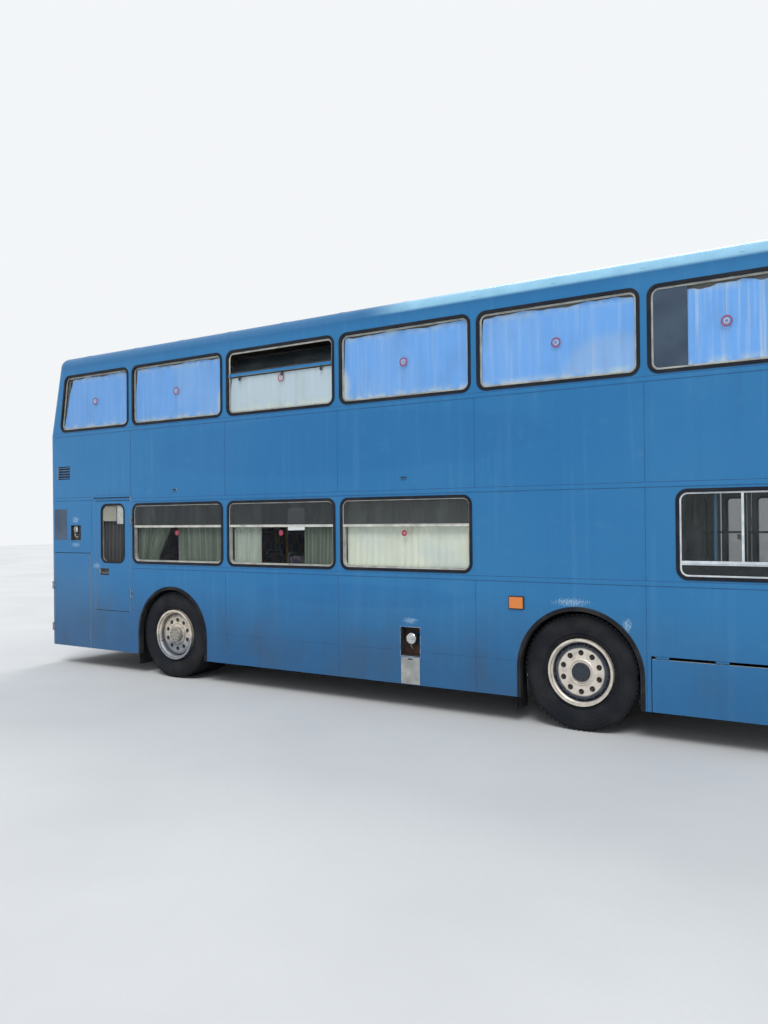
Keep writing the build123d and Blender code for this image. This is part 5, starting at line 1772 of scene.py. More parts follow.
@dataclass
class WindowTrim(OneSide):
    """Inner frames, transoms and stickers of one side's windows.

    Attributes:
        frame_width: Width of the pale inner frame.
        glass: Outer and inner face of the glass, by distance from the middle.
        transom_z: Height of the bar under a sliding top light.
    """

    frame_width: float = 0.019
    glass: Flat = (1.242, 1.236)
    transom_z: float = 1.779

    def build(self) -> None:
        """Makes the frames, the transoms, the cab's sliding frames and the stickers."""
        label = self.side.label
        upper, lower, bars = Shape(), Shape(), Shape()
        for bay in range(-1, 5):
            self._ring(upper, upper_outline(bay), 0.0065)
        face = self.glass[0] + 0.0002
        for bay in self._lower_bays():
            outline = lower_outline(bay)
            self._ring(lower, outline, 0.028)
            lower.hoop(inset(outline, BUS.gasket - 0.001), 0.008, self._faces(face + 0.0016, face), 0.0005)
            self._transom(bars, edges_of(inset(outline, BUS.gasket))[:2])
        upper.place(f"upper_window_frames_{label}", FRAME_PAINT)
        board = Shape().box((3.064, 3.384), self._faces(1.2278, 1.2352), (3.022, 3.729), 0.001)
        board.place(f"upper_window_board_{label}", SLATE_BOARD)
        lower.place(f"lower_window_frames_{label}", FRAME_PAINT)
        bars.place(f"window_transoms_{label}", FRAME_PAINT)
        self._stickers()
        if self.side is Side.OFFSIDE:
            self._cab_window()
            self._open_light()
            self._door_window()
        else:
            ring = Shape()
            self._ring(ring, rounded((-3.756, -3.314), BUS.lower_z, BUS.corner), 0.024)
            ring.place("rear_side_window_frame", FRAME_PAINT)

    def _lower_bays(self) -> list[int]:
        """The bays that have a lower window."""
        return [1, 2, 3] if self.side is Side.OFFSIDE else [0, 1, 2, 3]

    def _ring(self, shape: Shape, outline: Sequence[Flat], deep: float) -> None:
        """Adds a frame that stands behind the glass, inside the rubber.

        Args:
            shape: What the frame is added to.
            outline: The window's cut.
            deep: The frame's depth behind the glass.
        """
        back = self.glass[1] - 0.0006
        shape.hoop(
            inset(outline, BUS.gasket - 0.001), self.frame_width, self._faces(back, back - deep), 0.0015
        )

    def _transom(self, bars: Shape, x: Flat) -> None:
        """Adds the bar under a sliding top light, with its lower lip and catch.

        Args:
            bars: The shape that it joins.
            x: Its two ends.
        """
        face, back, z, middle = self.glass[0] + 0.0003, self.glass[1] - 0.0003, self.transom_z, sum(x) / 2
        bars.box(x, self._faces(face, face + 0.006), (z - 0.010, z + 0.008), 0.0015)
        bars.box(x, self._faces(face, face + 0.003), (z + 0.010, z + 0.016), 0.001)
        bars.box(x, self._faces(back - 0.012, back), (z - 0.011, z + 0.011), 0.002)
        catch = self._faces(face + 0.004, face + 0.010)
        bars.box((middle - 0.022, middle + 0.022), catch, (z - 0.006, z + 0.005), 0.0015)

    def _stickers(self) -> None:
        """Blank round stickers: a red ring on a pale disc."""
        spots = [(x, 3.37, 0.044, 0.034) for x in (3.681, 2.274, 0.714, -0.824, -2.415, -3.867)]
        spots += [(x, 1.705, 0.030, 0.010) for x in (0.708, -0.840, -2.413)]
        rings, discs = Shape(), Shape()
        way = (0, self.side.value, 0)
        for x, z, outer, inner in spots:
            centre = (x, *self._faces(self.glass[0]), z)
            rings.turned(washer(inner, outer, 0.0007), centre, 28, way, closed=True)
            discs.turned(washer(inner * 0.42, inner * 0.66, 0.0003), centre, 20, way, closed=True)
        rings.place(f"sticker_rings_{self.side.label}", STICKER)
        discs.place(f"sticker_discs_{self.side.label}", STICKER_PAPER)

    def _cab_window(self) -> None:
        """The driver's side window: white outer frame, lower rail and sliding panes' uprights."""
        x0, x1, z0, z1 = BUS.cab_window
        outline = inset(rounded((x0, x1), (z0, z1), BUS.corner), BUS.gasket - 0.002)
        low_x, high_x, low_z, high_z = edges_of(outline)
        face, back = self.glass[0] + 0.0002, self.glass[1]
        white = Shape().hoop(outline, 0.015, self._faces(face + 0.005, face), 0.0015)
        white.box((low_x + 0.012, high_x - 0.012), self._faces(face, face + 0.005), (1.462, 1.486), 0.0015)
        white.box((low_x + 0.014, high_x - 0.014), self._faces(face, face + 0.003), (1.452, 1.460), 0.001)
        for x, half in ((3.781, 0.0095), (4.245, 0.006)):
            white.box((x - half, x + half), self._faces(face, face + 0.006), (1.484, high_z - 0.012), 0.0015)
        white.box((3.806, 3.812), self._faces(back - 0.010, back - 0.0004), (1.484, high_z), 0.001)
        white.place("cab_window_frame", WHITE_FRAME)
        pull = Shape().box((3.740, 3.768), self._faces(face, face + 0.009), (1.66, 1.70), 0.002)
        pull.place("cab_window_pull", PLASTIC)
        board, deep = Shape(), self._faces(1.228, 1.2345)
        board.box((low_x + 0.016, high_x - 0.016), deep, (low_z + 0.014, 1.452), 0.001)
        board.place("cab_window_foot_board", DARK_METAL)

    def _open_light(self) -> None:
        """The open top light: its frame and pane lean inwards, with clips under the bar."""
        x0, x1, _, _ = edges_of(inset(upper_outline(2), BUS.gasket + 0.012))
        foot, lean, tall, bar = (-1.2225, 3.479), math.radians(33), 0.232, 0.017
        frame_bars, pane, clips = Shape(), Shape(), Shape()

        def point(x: float, share: float, out: float) -> Point:
            """A point of the leaning light: along it, up it and through it."""
            y = foot[0] + math.sin(lean) * tall * share - math.cos(lean) * out
            return x, y, foot[1] + math.cos(lean) * tall * share + math.sin(lean) * out

        def plate(shape: Shape, x: Flat, share: Flat, half: float) -> None:
            """Adds a plate that lies in the light."""
            corners = [(share[0], -half), (share[1], -half), (share[1], half), (share[0], half)]
            shape.loft([[point(place, *corner) for corner in corners] for place in x])

        for share in ((0.0, 0.075), (0.925, 1.0)):
            plate(frame_bars, (x0, x1), share, 0.006)
        for x in ((x0, x0 + bar), (x1 - bar, x1)):
            plate(frame_bars, x, (0.075, 0.925), 0.006)
        plate(pane, (x0 + bar, x1 - bar), (0.075, 0.925), 0.002)
        for x in (-1.415, -0.810, -0.285):
            clips.box((x - 0.015, x + 0.015), (-1.2500, -1.2424), (3.392, 3.444), 0.002)
            clips.box((x - 0.006, x + 0.006), (-1.2535, -1.2495), (3.400, 3.436), 0.0015)
        frame_bars.place("open_light_frame", PLASTIC)
        pane.place("open_light_pane", LOWER_GLASS)
        clips.place("open_light_clips", PLASTIC)

    def _door_window(self) -> None:
        """The emergency door's inner window frame, its rubber, cards, handle and seal."""
        x0, x1, z0, z1 = BUS.emergency_window
        outline, door, card = rounded((x0, x1), (z0, z1), BUS.corner), "emergency_door", (-1.2352, -1.2340)
        inner = Shape().hoop(inset(outline, 0.004), 0.012, (-1.2354, -1.2130), 0.0015)
        inner.place("emergency_window_frame", FRAME_PAINT, door)
        rubber = Shape().hoop(inset(outline, -0.004), 0.026, (-1.2545, -1.2420), 0.004)
        rubber.place("emergency_window_rubber", RUBBER, door)
        narrow = Shape().box((-3.468, -3.330), card, (1.815, 2.048), 0.0004)
        narrow.place("emergency_window_card", PLATE_WHITE, door)
        wide = Shape().box((-3.740, -3.480), card, (1.850, 2.048), 0.0004)
        wide.place("emergency_window_wide_card", LINING, door)
        dark = Shape().box((-3.7795, -3.6085), (-1.2315, -1.2298), (1.1785, 1.2585), 0.0004)
        dark.turned([(0.010, 0.0), (0.010, 0.006), (0.008, 0.008)], (-3.735, -1.2315, 1.236), 14, (0, -1, 0))
        dark.place("emergency_handle_back", DARK_METAL, door)
        bends = ((-3.765, -1.2515), (-3.750, -1.256), (-3.640, -1.256), (-3.622, -1.2515))
        Shape().tube([(x, y, 1.201) for x, y in bends], 0.006, 8).place("emergency_handle_grip", STEEL, door)
        x0, x1, z0, z1 = BUS.emergency
        opening = oblong((x0 + 0.0004, x1 - 0.0004), (z0 + 0.0004, z1 - 0.0004))
        Shape().hoop(opening, 0.0042, (-1.2455, -1.2100), 0.001).place("emergency_door_seal", RUBBER)


@dataclass
class ArchTrim:
    """Wide rubber flanges round the four wheel arches.

    Attributes:
        radius: Radius of the flange's middle line.
        width: Width of the flange.
    """

    radius: float = 0.5505
    width: float = 0.036

    def build(self) -> None:
        """Makes one flange to an arch."""
        for side in Side:
            flanges = Shape()
            for x, z in (BUS.front_axle, BUS.rear_axle):
                foot = BUS.skirt_z - z + 0.004
                turns = [math.pi * k / 48 for k in range(49)]
                arc = [(self.radius * math.cos(turn), self.radius * math.sin(turn)) for turn in turns]
                spots = [
                    (self.radius, foot), (self.radius, -0.1), *arc, (-self.radius, -0.1), (-self.radius, foot)
                ]
                path = [((x + u, side.value * BUS.half_width, z + v), (0, side.value, 0)) for u, v in spots]
                flanges.ribbon(path, self.width, 0.0065)
            flanges.place(f"arch_flanges_{side.label}", FLAP_RUBBER)


@dataclass
class OffsideFittings:
    """Filler pocket, small recess, vents and side lamp surround of the offside.

    Attributes:
        filler: Low x, high x, low z and high z of the filler's pocket.
        recess: The same of the socket's recess.
    """

    filler: tuple[float, float, float, float] = (0.659, 0.879, 0.515, 0.797)
    recess: tuple[float, float, float, float] = (-4.345, -4.145, 1.606, 1.801)

    def build(self) -> None:
        """Makes the fittings."""
        self._filler()
        self._recess()
        self._both_sides()

    def _filler(self) -> None:
        """Worn edge, rusty back, cap with its wire stay, bare panel below with an oval dish at its top."""
        x0, x1, z0, z1 = self.filler
        outline = oblong((x0 - 0.006, x1 + 0.006), (z0 - 0.004, z1 + 0.006))
        Shape().hoop(outline, 0.0068, (-1.2520, -1.2485), 0.001).place("filler_edge", WORN_EDGE)
        back, walls, oval, cap = Shape(), Shape(), Shape(), Shape()
        neck_x, neck_z = (0.713, 0.825), (0.630, 0.742)
        plates = [((x0, x1), (z0, neck_z[0])), ((x0, x1), (neck_z[1], z1))]
        plates += [((x0, neck_x[0]), neck_z), ((neck_x[1], x1), neck_z)]
        for x, z in plates:
            back.box((x[0] + 0.001, x[1] - 0.001), (-1.1625, -1.1602), (z[0] + 0.001, z[1] - 0.001))
        back.place("filler_back", RUST)
        deep, thin, thick = (-1.249, -1.163), 0.0004, 0.003
        for wall in ((x0 + thin, x0 + thick), (x1 - thick, x1 - thin)):
            walls.box(wall, deep, (z0 + thick, z1 - thick))
        for wall in ((z0 + thin, z0 + thick), (z1 - thick, z1 - thin)):
            walls.box((x0 + thick, x1 - thick), deep, wall)
        walls.place("filler_walls", DARK_METAL)
        panel = Shape().box((0.664, 0.874), (-1.2525, -1.2495), (0.249, 0.507), 0.001)
        panel.place("filler_foot_panel", ALUMINIUM)
        oval.hoop(rounded((0.740, 0.798), (0.482, 0.498), 0.0078, 6), 0.003, (-1.2534, -1.2522), 0.0005)
        oval.slab(rounded((0.744, 0.794), (0.486, 0.494), 0.0038, 5), (-1.2527, -1.2522))
        oval.place("filler_panel_dish", DARK_METAL)
        profile = [
            (0.050, 0.0), (0.053, 0.003), (0.053, 0.010), (0.049, 0.013), (0.020, 0.014), (0.004, 0.0142)
        ]
        cap.turned(profile, (0.769, -1.2250, 0.686), 32, (0, -1, 0))
        cap.box((0.727, 0.811), (-1.2480, -1.2370), (0.680, 0.692), 0.003)
        stay = [(0.769, -1.240, 0.640), (0.772, -1.236, 0.610), (0.785, -1.215, 0.580)]
        cap.tube(stay + [(0.800, -1.180, 0.566), (0.806, -1.130, 0.570)], 0.0022, 6)
        cap.place("filler_cap", CHROME)

    def _recess(self) -> None:
        """Socket recess: dark back, socket ring, bent chrome bail, chrome flap."""
        x0, x1, z0, z1 = self.recess
        floor, deep, thin, thick = -1.2066, (-1.249, -1.2066), 0.0004, 0.002
        dark = Shape().box((x0 + 0.001, x1 - 0.001), (-1.2065, -1.2045), (z0 + 0.001, z1 - 0.001))
        for wall in ((x0 + thin, x0 + thick), (x1 - thick, x1 - thin)):
            dark.box(wall, deep, (z0 + thick, z1 - thick))
        dark.box((x0 + thick, x1 - thick), deep, (z1 - thick, z1 - thin))
        socket = [(0.034, 0.0), (0.034, 0.016), (0.026, 0.016), (0.026, 0.004), (0.004, 0.004)]
        dark.turned(socket, (-4.225, floor, 1.69), 24, (0, -1, 0))
        dark.place("socket_recess", DARK_METAL)
        outline = rounded((-4.328, -4.250), (1.712, 1.786), 0.012, 4)
        bright = Shape().hoop(outline, 0.010, (-1.222, floor), 0.002)
        bright.box((-4.316, -4.262), (-1.214, floor), (1.724, 1.774), 0.002)
        bail = [(-4.290, -1.214, 1.722), (-4.294, -1.226, 1.700), (-4.282, -1.232, 1.672)]
        bail += [(-4.262, -1.230, 1.652), (-4.240, -1.224, 1.648), (-4.226, -1.216, 1.664)]
        bright.tube(bail, 0.0045, 8)
        bright.place("socket_flap", CHROME)

    @staticmethod
    def _both_sides() -> None:
        """Wire screens behind the slats, the blank covers below them and the side lamps' dark bases."""
        for side in Side:
            way, label = side.value, side.label
            screen = Shape().box((-4.6195, -4.3585), (way * 1.2185, way * 1.2150), (2.3965, 2.5655))
            screen.place(f"vent_screen_{label}", SCREEN)
            cover = Shape().box((-4.676, -4.424), (way * 1.2492, way * 1.2518), (1.613, 2.010), 0.0008)
            cover.place(f"vent_cover_{label}", SLATE_BOARD)
        for side in Side:
            outline = rounded((1.806, 1.958), (1.025, 1.145), 0.012, 4)
            base = Shape().hoop(outline, 0.0100, (side.value * 1.2610, side.value * 1.2490), 0.003)
            base.place(f"side_lamp_base_{side.label}", PLASTIC)


@dataclass
class Wheel:
    """Tyres, nuts and hub fittings of one axle end.

    Attributes:
        side: Which side.
        body: The body that turns.
        faces: Outer face of each tyre, outermost first.
        disc: Y of the disc's outer face.
        cap: Y of the hub cap's outer face.
        metal: The wheel's finish, which also says where the axle is.
        tyre_radius: Radius over the tread.
        half_tyre: Half the tyre's width.
        stud_circle: Radius of the circle of studs.
        studs: How many studs there are.
        slot_circle: Radius of the circle of slots, and of the valve's foot.
        lugs: The blocks on the tyres' shoulders.
    """

    side: Side
    body: str
    faces: tuple[float, ...]
    disc: float
    cap: float
    metal: WheelMetal
    tyre_radius: float = 0.505
    half_tyre: float = 0.130
    stud_circle: float = 0.1675
    studs: int = 10
    slot_circle: float = 0.232
    lugs: Row = Row(Unit.BLOCK, 0.0445, (0.026, 0.024, 0.009))

    def build(self) -> None:
        """Makes the tyres with their shoulder lugs, then the metal fittings."""
        tyres, lines = Shape(), []
        for face in self.faces:
            middle = face - self.half_tyre
            tyres.turned(self._section(), self._spot(0.0, 0.0, middle), 112, self._way(), closed=True)
            lines += [self._circle(middle + shift, self.tyre_radius - 0.0062) for shift in (-0.106, 0.106)]
        node = self.body.replace("wheels", "tyres").replace("wheel", "tyre")
        name = node.replace("tyres", "tyre")
        tyres.place(f"{name}_section", TYRE, self.body, [node], sharp=24)
        self.lugs.lay(f"{name}_lugs", lines, TYRE, self.body)
        self._nuts()
        self._hub()
        self._valve()
        if self._is_front():
            self._slots()

    def _is_front(self) -> bool:
        """Whether it's a front wheel."""
        return self.body.startswith("front")

    def _way(self) -> Point:
        """The direction out of the wheel."""
        return 0, self.side.value, 0

    def _spot(self, radius: float, degrees: float, y: float) -> Point:
        """The point at a radius and an angle round the axle, y from the bus's middle."""
        along, up = math.cos(math.radians(degrees)) * radius, math.sin(math.radians(degrees)) * radius
        return self.metal.axle[0] + along, self.side.value * y, self.metal.axle[1] + up

    def _circle(self, y: float, radius: float) -> Line:
        """A closed circle round the axle, with its outward directions.

        Args:
            y: Distance from the bus's middle.
            radius: Its radius.

        Returns:
            The closed line.
        """
        degrees = [360 * step / 96 for step in range(97)]
        outs = [(math.cos(math.radians(turn)), 0.0, math.sin(math.radians(turn))) for turn in degrees]
        return [(self._spot(radius, turn, y), out) for turn, out in zip(degrees, outs)]

    @staticmethod
    def _section() -> list[Flat]:
        """The tyre's section: radius and distance from its middle, as a closed loop.

        Returns:
            The profile.
        """
        half = [
            (0.2925, 0.070), (0.297, 0.094), (0.304, 0.103), (0.313, 0.1075), (0.318, 0.1075),
            (0.322, 0.1045), (0.334, 0.1135), (0.341, 0.1185), (0.343, 0.1215), (0.348, 0.1220),
            (0.351, 0.1205), (0.365, 0.1245), (0.372, 0.1255), (0.374, 0.1275), (0.379, 0.1280),
            (0.381, 0.1265), (0.400, 0.1290), (0.420, 0.1300), (0.426, 0.1288), (0.440, 0.1276),
            (0.444, 0.1290), (0.450, 0.1285), (0.453, 0.1265), (0.468, 0.1240), (0.480, 0.1200),
            (0.4895, 0.1150), (0.4955, 0.1085), (0.4985, 0.0970), (0.5000, 0.0860),
        ]
        for groove in (0.070, 0.024):
            half += [(0.5008, groove + 0.0062), (0.4890, groove + 0.0042)]
            half += [(0.4890, groove - 0.0042), (0.5014, groove - 0.0062)]
        return half + [(radius, -far) for radius, far in half[::-1]]

    def _nuts(self) -> None:
        """Wheel nuts with their stud ends, sunk in the disc's ten holes."""
        nuts, way = Shape(), self._way()
        for index in range(self.studs):
            degrees = 90 + 360 / self.studs * index
            base = self._spot(self.stud_circle, degrees, self.disc - 0.013)
            rim = self._spot(self.stud_circle, degrees, self.disc - 0.0004)
            nuts.turned([(0.0145, 0.0), (0.0145, 0.007), (0.0125, 0.009), (0.0085, 0.009)], base, 6, way)
            ring = [(0.0172, 0.0), (0.0245, 0.0), (0.0245, 0.0012), (0.0225, 0.0022), (0.0172, 0.0014)]
            nuts.turned(ring, rim, 20, way, closed=True)
            nuts.turned([(0.0075, 0.005), (0.0075, 0.0135), (0.006, 0.0145)], base, 10, way)
        nuts.place(f"{self.body}_nuts", AXLE_NUT, self.body)

    def _hub(self) -> None:
        """A raised lip round the hub cap, the cap's rings and a ring of small bolts."""
        ring, bolts, way, radius = Shape(), Shape(), self._way(), self.metal.cap_radius
        lip = [
            (0.098, -0.002), (0.098, 0.004), (0.101, 0.0065), (0.112, 0.0065), (0.116, 0.004), (0.118, -0.002)
        ]
        ring.turned(lip, self._spot(0.0, 0.0, self.disc), 56, way, closed=True)
        steps = ((0.004, -0.010), (0.004, 0.0008), (0.010, 0.0022), (0.016, 0.0008), (0.016, -0.010))
        face = self._spot(0.0, 0.0, self.cap)
        ring.turned([(radius - inward, far) for inward, far in steps], face, 56, way, closed=True)
        ring.turned([(0.020, -0.002), (0.020, 0.0020), (0.015, 0.0034), (0.003, 0.0036)], face, 24, way)
        ring.place(f"{self.body}_hub_rings", self.metal, self.body)
        for index in range(8):
            bolt = [(0.0065, -0.002), (0.0065, 0.003), (0.0052, 0.0042), (0.001, 0.0044)]
            bolts.turned(bolt, self._spot(radius - 0.024, 22.5 + 45 * index, self.cap), 6, way)
        bolts.place(f"{self.body}_hub_bolts", AXLE_NUT, self.body)

    def _valve(self) -> None:
        """The tyre valve, bent outwards, with its cap."""
        degrees, foot = 72 if self._is_front() else 200, self.disc + 0.001
        bends = ((0.0, 0.0), (0.0, 0.010), (0.018, 0.022), (0.026, 0.032))
        path = [self._spot(self.slot_circle + out, degrees, foot + up) for out, up in bends]
        valve = Shape().tube(path[:3], 0.0042, 8).tube(path[2:], 0.0055, 8)
        valve.place(f"{self.body}_valve", AXLE_NUT, self.body)

    def _slots(self) -> None:
        """Twenty dark radial slots on the disc, at the foot of the rim: dark inserts as painted shade in the
        holes.
        """
        slots, outline = Shape(), rounded((-0.013, 0.013), (-0.0042, 0.0042), 0.004, 3)
        for index in range(20):
            angle = math.radians(9 + 18 * index)
            out = Vector((math.cos(angle), 0, math.sin(angle)))
            across = Vector((-math.sin(angle), 0, math.cos(angle)))
            middle = Vector(self._spot(self.slot_circle, 9 + 18 * index, 0.0))
            rings = []
            for level in (self.disc - 0.001, self.disc + 0.0012):
                spots = [middle + out * u + across * v for u, v in outline]
                rings.append([(spot.x, self.side.value * level, spot.z) for spot in spots])
            slots.loft(rings)
        slots.place(f"{self.body}_rim_slots", DARK_METAL, self.body)


@dataclass(frozen=True)
class Fold:
    """How one hanging sheet lies.

    Attributes:
        folds: Number of folds over its width.
        depth: Half depth of a fold.
        seed: Seed of its unevenness.
    """

    folds: float
    depth: float
    seed: int


def sheet_mesh(
    points: Sequence[Point], columns: int, turned: bool = False,
) -> tuple[bpy.types.Mesh, float]:
    """A sheet from its points.

    Args:
        points: The points, row by row, each row from side to side.
        columns: Faces in a row.
        turned: Whether its faces look the other way.

    Returns:
        The mesh and its area.
    """
    faces = []
    for start in range(0, len(points) - columns - 1, columns + 1):
        faces += [(a, a + 1, a + columns + 2, a + columns + 1) for a in range(start, start + columns)]
    data = bpy.data.meshes.new("sheet")
    data.from_pydata(points, [], faces)
    if turned:
        data.flip_normals()
    return data, sum(polygon.area for polygon in data.polygons)


def folded(
    x: Flat, z: Flat, y: float, fold: Fold, columns: int, rows: int,
    slack: Callable[[float, float], float] | None = None,
) -> tuple[bpy.types.Mesh, float]:
    """A hanging sheet with soft uneven folds.

    Args:
        x: Its low and high side.
        z: Its foot and its top.
        y: The middle of its folds.
        fold: How it is folded.
        columns: Faces across.
        rows: Faces down.
        slack: Shift of the foot along X by place across and down, for a sheet that is drawn aside.

    Returns:
        The mesh, and the width it was cut to.
    """
    rng = random.Random(fold.seed)
    phases = [rng.uniform(0, math.tau) for _ in range(5)]
    limit = fold.depth * 1.12
    points = []
    for row in range(rows + 1):
        v = row / rows
        for column in range(columns + 1):
            u = column / columns
            wander = 0.05 * math.sin(3.1 * v + phases[0]) + 0.025 * math.sin(6.3 * v + 4 * u + phases[1])
            turn = math.tau * fold.folds * (u + wander / max(fold.folds, 1) * 2) + phases[2]
            swell = 0.72 + 0.28 * math.sin(2.3 * math.tau * u + phases[3] + 0.9 * v)
            depth = fold.depth * swell * (0.8 + 0.2 * v)
            out = depth * (math.sin(turn) + 0.18 * math.sin(2.3 * turn + phases[4]))
            along = x[0] + (x[1] - x[0]) * u + (slack(u, v) if slack else 0.0)
            along, out = min(max(along, x[0]), x[1]), min(max(out, -limit), limit)
            points.append((along, y + out, z[1] + (z[0] - z[1]) * v))
    data, area = sheet_mesh(points, columns)
    return data, area / abs(z[1] - z[0])


@dataclass
class Liners(OneSide):
    """Foil liners stuck inside the upper windows, each with torn edges and slack waves.

    Attributes:
        y: Distance of the sheet from the middle.
        edge: How far the sheet stays off the window's cut.
    """

    y: float = 1.2215
    edge: float = 0.010

    def build(self) -> None:
        """Makes one sheet to a window, and the dark reveal round it."""
        for index, bay in enumerate(range(-1, 5)):
            under_light = self.side is Side.OFFSIDE and bay == 2
            if not under_light:
                reveal = Shape().hoop(inset(upper_outline(bay), 0.003), 0.085, self._faces(1.2125, 1.2095))
                reveal.place(f"window_reveal_{self.side.label}_{index + 1}", DARK_LINING)
            points, columns = self._points(index, bay, under_light)
            data, area = sheet_mesh(points, columns, turned=self.side is Side.OFFSIDE)
            wide = max(p[0] for p in points) - min(p[0] for p in points)
            stands_for = ["window_liners"] if index == 0 and self.side is Side.OFFSIDE else ()
            piece = settle(data, f"window_liner_{self.side.label}_{index + 1}", FOIL, replaces=stands_for)
            area / wide

    def _points(self, index: int, bay: int, under_light: bool) -> tuple[list[Point], int]:
        """One liner's fine grid, its edges torn and its face slack.

        Args:
            index: The window, counted from the front.
            bay: Its bay.
            under_light: Whether it ends under the open top light.

        Returns:
            The points, row by row, and the faces in a row.
        """
        outline = upper_outline(bay)
        x0, x1, z0, z1 = edges_of(outline)
        top = 3.432 if under_light else z1 - 0.026
        rng = random.Random(40 + index * 7 + self.side.value)
        columns, rows = int((x1 - x0) / 0.022), int((top - z0) / 0.028)
        phases = [rng.uniform(0, math.tau) for _ in range(6)]
        rear_gap, top_gap = self._gap(bay)
        points = []
        for row in range(rows + 1):
            v = row / rows
            z = z0 + self.edge + (top - z0 - self.edge) * v
            slack = 0.020 + 0.105 * v + 0.018 * self._tear(v, phases)
            low = self._rear_edge(x0, z) + self.edge + slack * rear_gap
            high = x1 - self.edge - 0.004
            for column in range(columns + 1):
                u = column / columns
                x = low + (high - low) * u
                torn = 0.030 + 0.042 * self._tear(u * 1.7 + 0.3, phases)
                sag = 0.0 if under_light else torn * (v ** 7) * top_gap
                wave = 0.0018 * math.sin(x * 37 + phases[3] + v) + 0.0016 * math.sin(
                    x * 71 + z * 3 + phases[4]
                )
                crease = 0.0009 * math.sin(x * 160 + 5 * v + phases[5])
                points.append((x, self.side.value * (self.y + wave + crease), z - sag))
        return points, columns

    @staticmethod
    def _rear_edge(x: float, z: float) -> float:
        """X of a window's rear edge at a height, which leans at the tail.

        Args:
            x: X of its foot.
            z: The height.

        Returns:
            The edge's x.
        """
        foot, head = BUS.rear_window_x
        low, high = BUS.upper_z
        return x if x > -4.5 else foot + (head - foot) * (z - low) / (high - low)

    @staticmethod
    def _gap(bay: int) -> Flat:
        """How much of a gap is left at a liner's edges.

        Args:
            bay: Which bay it hangs in.

        Returns:
            The shares for its rear edge and for its top.
        """
        return {
            4: (0.95, 0.6), 3: (0.5, 0.55), 2: (0.35, 0.35), 1: (0.4, 0.6), 0: (0.4, 0.7), -1: (0.2, 0.9)
        }[bay]

    @staticmethod
    def _tear(share: float, phases: Sequence[float]) -> float:
        """How far the torn edge is drawn back, 0 to 1.

        Args:
            share: Place along the edge, 0 to 1.
            phases: Phases of its waves.

        Returns:
            The share.
        """
        wave = math.sin(share * 7.3 + phases[0]) + 0.5 * math.sin(share * 19 + phases[1])
        wave += 0.22 * math.sin(share * 43 + phases[2])
        return min(max(0.5 + wave * 0.32, 0.0), 1.0)


# Each curtain of a side: ends along X and folds over its width
OFFSIDE_CURTAINS = [(-3.150, -2.480, 6), (-2.440, -1.680, 5), (-1.570, -1.150, 5), (-0.560, -0.115, 5)]
NEARSIDE_CURTAINS = [
    (-3.150, -2.750, 6), (-2.100, -1.680, 6), (-1.570, -1.150, 6), (-0.560, -0.115, 6),
    (-0.010, 0.400, 6), (1.030, 1.430, 6), (1.550, 1.950, 6), (2.560, 2.980, 6),
]


